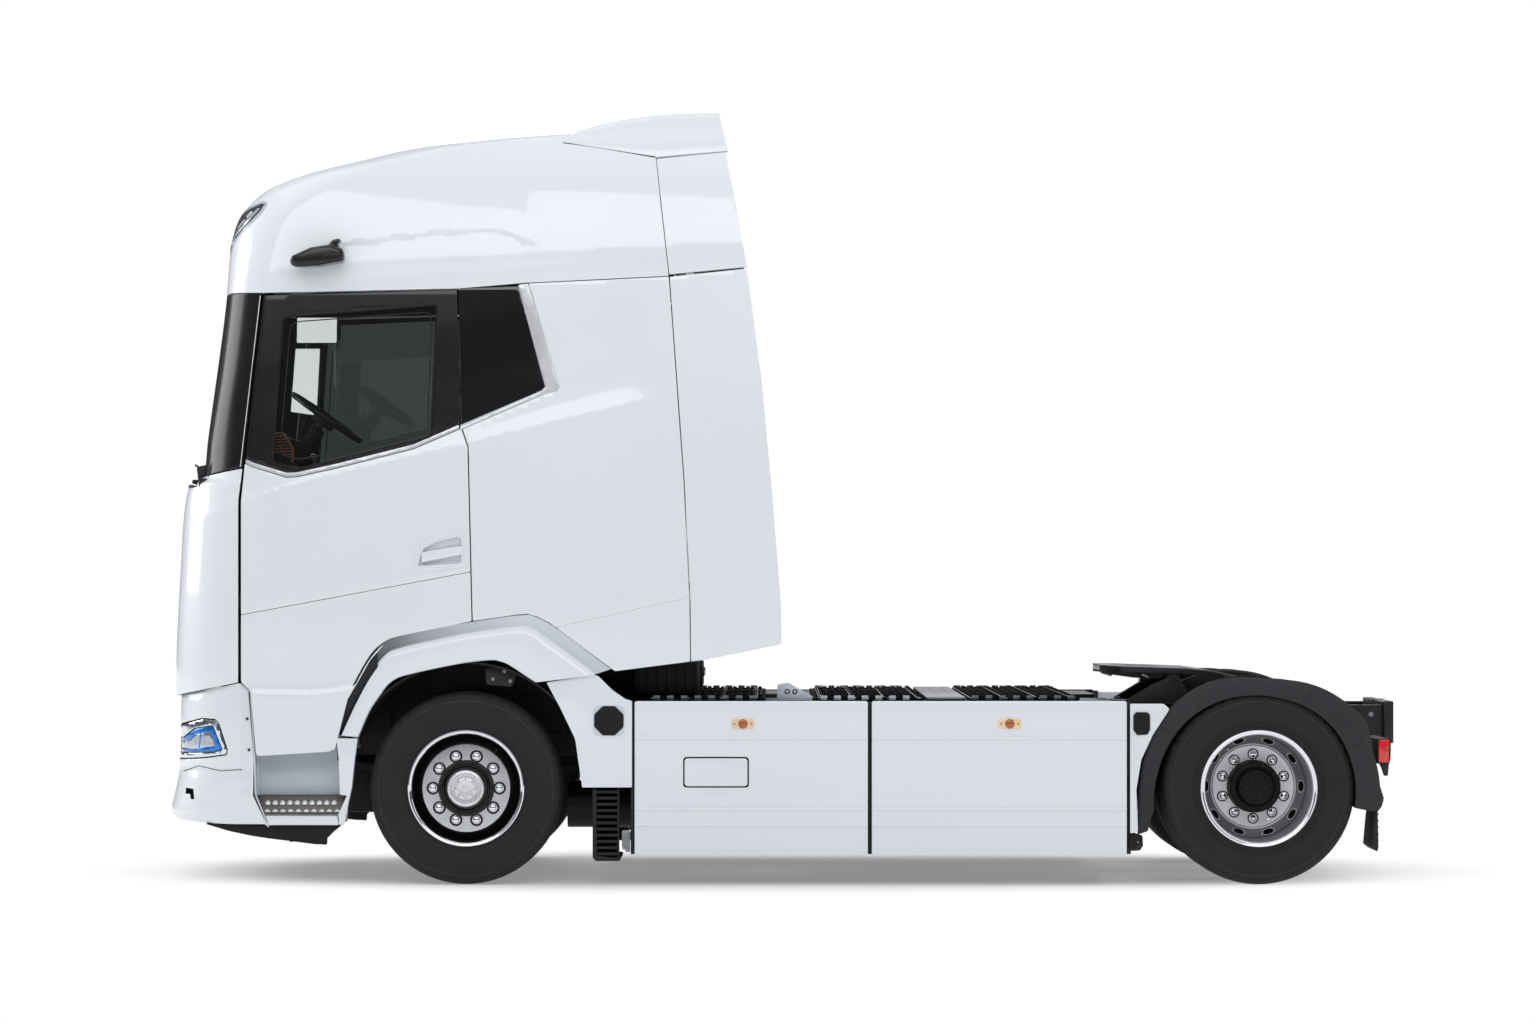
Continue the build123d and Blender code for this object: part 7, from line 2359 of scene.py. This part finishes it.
# ---------------------------------------------------------------- seats and bunk: cloth forms
def soft(bm, voxel, cap, pressure=4.0, steps=20):
    """Inflate a closed form as cloth with a little pressure, and return its mesh in metres."""
    bmesh.ops.scale(bm, vec=(0.001,) * 3, verts=bm.verts)
    me = bpy.data.meshes.new("soft_start")
    bm.to_mesh(me)
    bm.free()
    ob = bpy.data.objects.new("soft_start", me)
    scene.collection.objects.link(ob)
    rm = ob.modifiers.new("remesh", "REMESH")
    rm.mode = "VOXEL"
    rm.voxel_size = voxel
    dg = bpy.context.evaluated_depsgraph_get()
    start = bpy.data.meshes.new_from_object(ob.evaluated_get(dg))
    ob.modifiers.clear()
    ob.data = start
    bpy.data.meshes.remove(me)
    p0 = np.empty(len(start.vertices) * 3)
    start.vertices.foreach_get("co", p0)
    p0 = p0.reshape(-1, 3)
    cl = ob.modifiers.new("cloth", "CLOTH")
    cl.settings.quality = 4
    cl.settings.use_pressure = True
    cl.settings.uniform_pressure_force = pressure
    cl.settings.effector_weights.gravity = 0.0
    cl.collision_settings.use_collision = False
    cl.point_cache.frame_start, cl.point_cache.frame_end = 1, steps
    for fr in range(1, steps + 1):
        scene.frame_set(fr)
    dg = bpy.context.evaluated_depsgraph_get()
    end = bpy.data.meshes.new_from_object(ob.evaluated_get(dg))
    p1 = np.empty(len(end.vertices) * 3)
    end.vertices.foreach_get("co", p1)
    p1 = p1.reshape(-1, 3)
    if not np.isfinite(p1).all():
        p1 = p0
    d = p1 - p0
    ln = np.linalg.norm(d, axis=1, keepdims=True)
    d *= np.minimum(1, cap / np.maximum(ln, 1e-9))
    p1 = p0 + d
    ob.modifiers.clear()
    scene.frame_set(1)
    start.vertices.foreach_set("co", p1.ravel())
    start.update()
    bpy.data.objects.remove(ob)
    return start


def sew(me, lines, depth, width):
    """Press sewn channels into a soft mesh: lines are (function of points -> distance, mask)."""
    n = len(me.vertices)
    p = np.empty(n * 3)
    me.vertices.foreach_get("co", p)
    p = p.reshape(-1, 3)
    no = np.empty(n * 3)
    me.vertex_normals.foreach_get("vector", no)
    no = no.reshape(-1, 3)
    for dist, mask in lines:
        d = dist(p)
        w = np.exp(-(d / width) ** 2) * mask(p, no)
        p = p - no * (w * depth)[:, None]
    me.vertices.foreach_set("co", p.ravel())
    me.update()
    return me


def soft_piece(name, me, body, mats, nodes=(), mirror=False):
    if mirror:
        me = me.copy()
        me.transform(Matrix.Scale(-1, 4, (0, 1, 0)))
        me.flip_normals()
    for poly in me.polygons:
        poly.use_smooth = True
    ob = link(name, me, body, mats, nodes)
    return ob


def cushion_form(pts, y0, y1, r):
    b_ = bmesh.new()
    prism(b_, rounded(pts, r, 4), "y", y0, y1, min(r, 30), 4)
    return b_


seat = soft(cushion_form([(-2064, 1836), (-1612, 1836), (-1612, 1930), (-2000, 1954), (-2060, 1930)], -844, -356, 40), 0.010, 0.024)
ux_ = lambda p: p[:, 0]
sew(seat, [(lambda p: p[:, 1] + 0.455, lambda p, n: (n[:, 2] > 0.3) * 1.0), (lambda p: p[:, 1] + 0.745, lambda p, n: (n[:, 2] > 0.3) * 1.0),
           (lambda p: p[:, 0] + 1.90, lambda p, n: (n[:, 2] > 0.3) * (abs(p[:, 1] + 0.6) < 0.145) * 1.0),
           (lambda p: p[:, 0] + 1.76, lambda p, n: (n[:, 2] > 0.3) * (abs(p[:, 1] + 0.6) < 0.145) * 1.0)], 0.011, 0.010)
soft_piece("left_seat_cushion", seat, "chassis", [SEATCLOTH], ["seat_cushions"])
soft_piece("right_seat_cushion", seat, "chassis", [SEATCLOTH], ["seat_cushions"], mirror=True)
back = soft(cushion_form([(-1600, 1975), (-1578, 1972), (-1484, 2530), (-1468, 2722), (-1514, 2726), (-1545, 2556), (-1630, 2010)], -836, -364, 24), 0.010, 0.022)
sew(back, [(lambda p: p[:, 1] + 0.455, lambda p, n: (n[:, 0] < -0.3) * (p[:, 2] < 2.5) * 1.0), (lambda p: p[:, 1] + 0.745, lambda p, n: (n[:, 0] < -0.3) * (p[:, 2] < 2.5) * 1.0),
           (lambda p: p[:, 2] - 2.50, lambda p, n: (abs(n[:, 0]) > 0.3) * 1.0),
           (lambda p: p[:, 2] - 2.15, lambda p, n: (n[:, 0] < -0.3) * (abs(p[:, 1] + 0.6) < 0.145) * 1.0),
           (lambda p: p[:, 2] - 2.32, lambda p, n: (n[:, 0] < -0.3) * (abs(p[:, 1] + 0.6) < 0.145) * 1.0)], 0.011, 0.010)
soft_piece("left_seat_back", back, "chassis", [SEATCLOTH])
soft_piece("right_seat_back", back, "chassis", [SEATCLOTH], mirror=True)
mat_ = soft(cushion_form([(-1214, 1972), (-596, 1972), (-596, 2086), (-1214, 2086)], -1092, 1092, 36), 0.017, 0.022)
sew(mat_, [(lambda p, k=k: p[:, 1] - k, lambda p, n: (n[:, 2] > 0.3) * 1.0) for k in (-0.72, -0.36, 0.0, 0.36, 0.72)], 0.009, 0.016)
soft_piece("bunk_mattress", mat_, "chassis", [MATTRESS], ["bunk"])
pil = soft(cushion_form([(-1120, 2104), (-700, 2104), (-716, 2190), (-1104, 2190)], 640, 1010, 46), 0.012, 0.026)
soft_piece("bunk_pillow", pil, "chassis", [PILLOW])

bm = bmesh.new()
box(bm, -1226, -586, -1100, 1100, 1494, 1930, r=12, mat=0)
box(bm, -1230, -586, -1108, 1108, 1926, 1958, r=8, mat=1)
for k in range(3):
    y0 = -1050 + k * 710
    box(bm, -1236, -1224, y0, y0 + 670, 1540, 1890, r=6, mat=1)
    rod(bm, (-1244, y0 + 335, 1850), (-1232, y0 + 335, 1850), 18, 18, 24, 2)
done(bm, "bunk_locker", "chassis", [INTERIOR, DARKINT, STEEL])

bm = bmesh.new()
for y0 in (-800,):
    box(bm, -1956, -1564, y0 + 4, y0 + 396, 1492, 1540, r=8, mat=0, both=True)
    box(bm, -1920, -1600, y0 + 40, y0 + 360, 1536, 1770, r=16, mat=0, both=True)
    for k in range(6):
        box(bm, -1928, -1592, y0 + 34, y0 + 366, 1556 + k * 34, 1570 + k * 34, r=6, mat=0, both=True)
    box(bm, -1958, -1562, y0 + 2, y0 + 398, 1768, 1818, r=10, mat=0, both=True)
prism(bm, rounded([(-1598, 1704), (-1532, 1704), (-1424, 2546), (-1448, 2546), (-1562, 1816), (-1598, 1816)], 8, 3), "y", -800, -400, 8, 2, 0, True)
for y in (-830, -380):
    prism(bm, rounded([(-2000, 1800), (-1620, 1800), (-1610, 1840), (-1990, 1830)], 10, 3), "y", y, y + 12, 4, 2, 0, True)
for y in (-842, -350):
    prism(bm, rounded([(-1900, 2170), (-1600, 2190), (-1560, 2240), (-1600, 2250), (-1890, 2226), (-1912, 2200)], 18, 3), "y", y - 18, y + 18, 8, 2, 1, True)
done(bm, "seat_frames", "chassis", [INTERIOR, DARKINT], ["seat_bases"])

# ---------------------------------------------------------------- roof deflector
HTOP = [(-1172, 3868), (-1120, 3896), (-1075, 3918), (-971, 3948), (-867, 3970), (-762, 3987), (-658, 3998), (-554, 4005), (-450, 4009), (-345, 4010)]
HBOT = [(-1172, 3850), (-677, 3767), (-480, 3788), (-313, 3806)]
HW = [(1108, 3700), (1092, 3850), (1040, 3960), (1000, 4050)]


def hood_half(z):
    return float(np.interp(z, [p[1] for p in HW], [p[0] for p in HW]))


def skin_half(z):
    return float(np.interp(z, CAB_ROWS[:, 0], CAB_ROWS[:, 2]))


bm = bmesh.new()
t = bmesh.new()
xs = list(np.linspace(-1166, -352, 46))
rows = []
for i, x in enumerate(xs):
    zt = line_at(HTOP, x)
    sh = max(0.0, (x + 700) / 348) ** 1.5 * 42
    zb = line_at(HBOT, x) + 4
    wb = skin_half(zb - 4) + 1.5
    lean = 0.34
    wt = wb - (zt - zb) * lean
    r_ = min(44, (zt - zb) * 0.42 + 0.5)
    prof = [(-(wb - (z - zb) * lean), z) for z in (zb, zb + (zt - r_ - zb) * 0.5)]
    for a in range(0, 91, 15):
        a_ = math.radians(a)
        prof.append((-(wt - r_ + r_ * math.cos(a_)), zt - r_ + r_ * math.sin(a_)))
    crown = float(np.interp(x, [-1172, -960, -703, -352], [72, 26, 4, 0]))
    for k in range(1, 21):
        q = k / 20
        prof.append((-(wt - r_) * (1 - q), zt + crown * math.sin(q * math.pi / 2) ** 0.8))
    row = []
    for y, z in prof:
        row.append(t.verts.new((x + max(0.0, zt - z) / 187 * sh, y, z)))
    rows.append(row)
for A, B in zip(rows[:-1], rows[1:]):
    for j in range(len(A) - 1):
        t.faces.new((A[j], B[j], B[j + 1], A[j + 1]))
t.normal_update()
if sum(f.normal.z * f.calc_area() for f in t.faces) < 0:
    bmesh.ops.reverse_faces(t, faces=t.faces)
shell(t, 24, 2.5, rim_mat=0, in_mat=1, open_y=0.0)
join_halves(t)
merge(bm, t)
line = [(x, -(skin_half(line_at(HBOT, x)) + 0.8), line_at(HBOT, x) + 1.5) for x in np.linspace(-1160, -680, 40)]
pipe(bm, line, 3.2, 8, 2, False)
pipe(bm, [(x, -y, z) for x, y, z in line], 3.2, 8, 2, False)
done(bm, "roof_deflector_skin", "chassis", [PAINT, TRIM, SEAL], ["roof_deflector"])

# ---------------------------------------------------------------- rear wall with its capped trailer sockets
bm = bmesh.new()
box(bm, -548, -516, -1116, 1116, 1446, 3560, r=10, mat=0)
# the roof's own rear end, closing the room between the wall's top and the roof skin
zs = [3540, 3597, 3640, 3683, 3725, 3765, 3810, 3853, 3886]
prism(bm, [(-(skin_half(z) - 34), z) for z in zs] + [(skin_half(z) - 34, z) for z in reversed(zs)], "x", -702, -520, 8, 2, 0)
for y in (-900, -600, -300, 0, 300, 600, 900):
    prism(bm, rounded([(y - 70, 1560), (y + 70, 1560), (y + 70, 3440), (y - 70, 3440)], 40, 5), "x", -520, -511, 6, 3, 0)
box(bm, -530, -508, -1090, 1090, 1470, 1520, r=8, mat=0)
prism(bm, rounded([(-420, 1500), (420, 1500), (420, 1720), (-420, 1720)], 26, 4), "x", -518, -496, 8, 3, 1)
for k, m_ in ((-2, 3), (-1, 5), (0, 2), (1, 5), (2, 4)):
    y0 = k * 120
    rod(bm, (-500, y0, 1630), (-474, y0, 1630), 34, 32, 28, 1)
    rod(bm, (-478, y0, 1630), (-448, y0, 1630), 26, 24, 28, 5)
    rod(bm, (-452, y0, 1630), (-436, y0, 1630), 30, 27, 28, m_)
    box(bm, -488, -440, y0 - 7, y0 + 7, 1658, 1672, r=3, mat=2)
    for dy, dz in ((-36, -34), (36, -34), (-36, 34), (36, 34)):
        rod(bm, (-497, y0 + dy, 1630 + dz), (-489, y0 + dy, 1630 + dz), 6, 5, 6, 5)
done(bm, "rear_wall_and_sockets", "chassis", [PAINT, TRIM, BLACK, COIL_RED, COIL_BLUE, STEEL], ["cab_rear_wall"])


# ---------------------------------------------------------------- CAD nodes that show as they are
CAD_MATS = {
    "frame_rails": CHASSIS, "crossmembers": CHASSIS, "front_axle": CAST, "front_springs": CAST, "rear_axle": CAST,
    "air_springs": RUBBER, "drive_unit": CAST, "air_tanks": CHASSIS, "battery_boxes": TRIM, "side_panels": PAINT,
    "end_panels": PAINT, "catwalk": DECK, "front_mudguards": PAINT, "wheel_housings": TRIM, "rear_mudguards": GREYTRIM,
    "mudflaps": RUBBER, "rear_lights": RED, "fifth_wheel_base": CAST, "bumper": PAINT, "headlamps": LAMP,
    "front_skirt": TRIM, "steps": STEPGREY, "step_wells": STEPGREY, "cab_mounts": CHASSIS, "cab_floor": INTERIOR,
    "cab_rear_wall": PAINT, "cab_front": PAINT, "corner_panels": PAINT, "a_pillars": DARKINT, "fixed_glass": GLASS,
    "cab_sides": PAINT, "roof": PAINT, "arch_trims": PAINT, "side_deflectors": PAINT, "roof_deflector": PAINT,
    "camera_arms": BLACK, "dashboard": DARKINT, "seat_bases": INTERIOR, "seat_cushions": SEATCLOTH, "bunk": MATTRESS,
    "left_door": PAINT, "left_door_glass": GLASS, "right_door": PAINT, "right_door_glass": GLASS, "front_panel": PAINT,
    "charge_flap": PAINT, "fifth_wheel": CAST, "steering_wheel": LEATHER, "left_knuckle": CAST, "right_knuckle": CAST,
    "front_left_wheel": ALLOY, "front_right_wheel": ALLOY, "front_left_tyre": TYRE, "front_right_tyre": TYRE,
    "rear_left_rims": ALLOY, "rear_left_hub": CAST, "rear_left_tyres": TYRE, "rear_right_rims": ALLOY,
    "rear_right_hub": CAST, "rear_right_tyres": TYRE,
}
for node, mt in CAD_MATS.items():
    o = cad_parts[node]
    o.data.materials.clear()
    o.data.materials.append(mt)


# ---------------------------------------------------------------- finish
base.free()
base2.free()
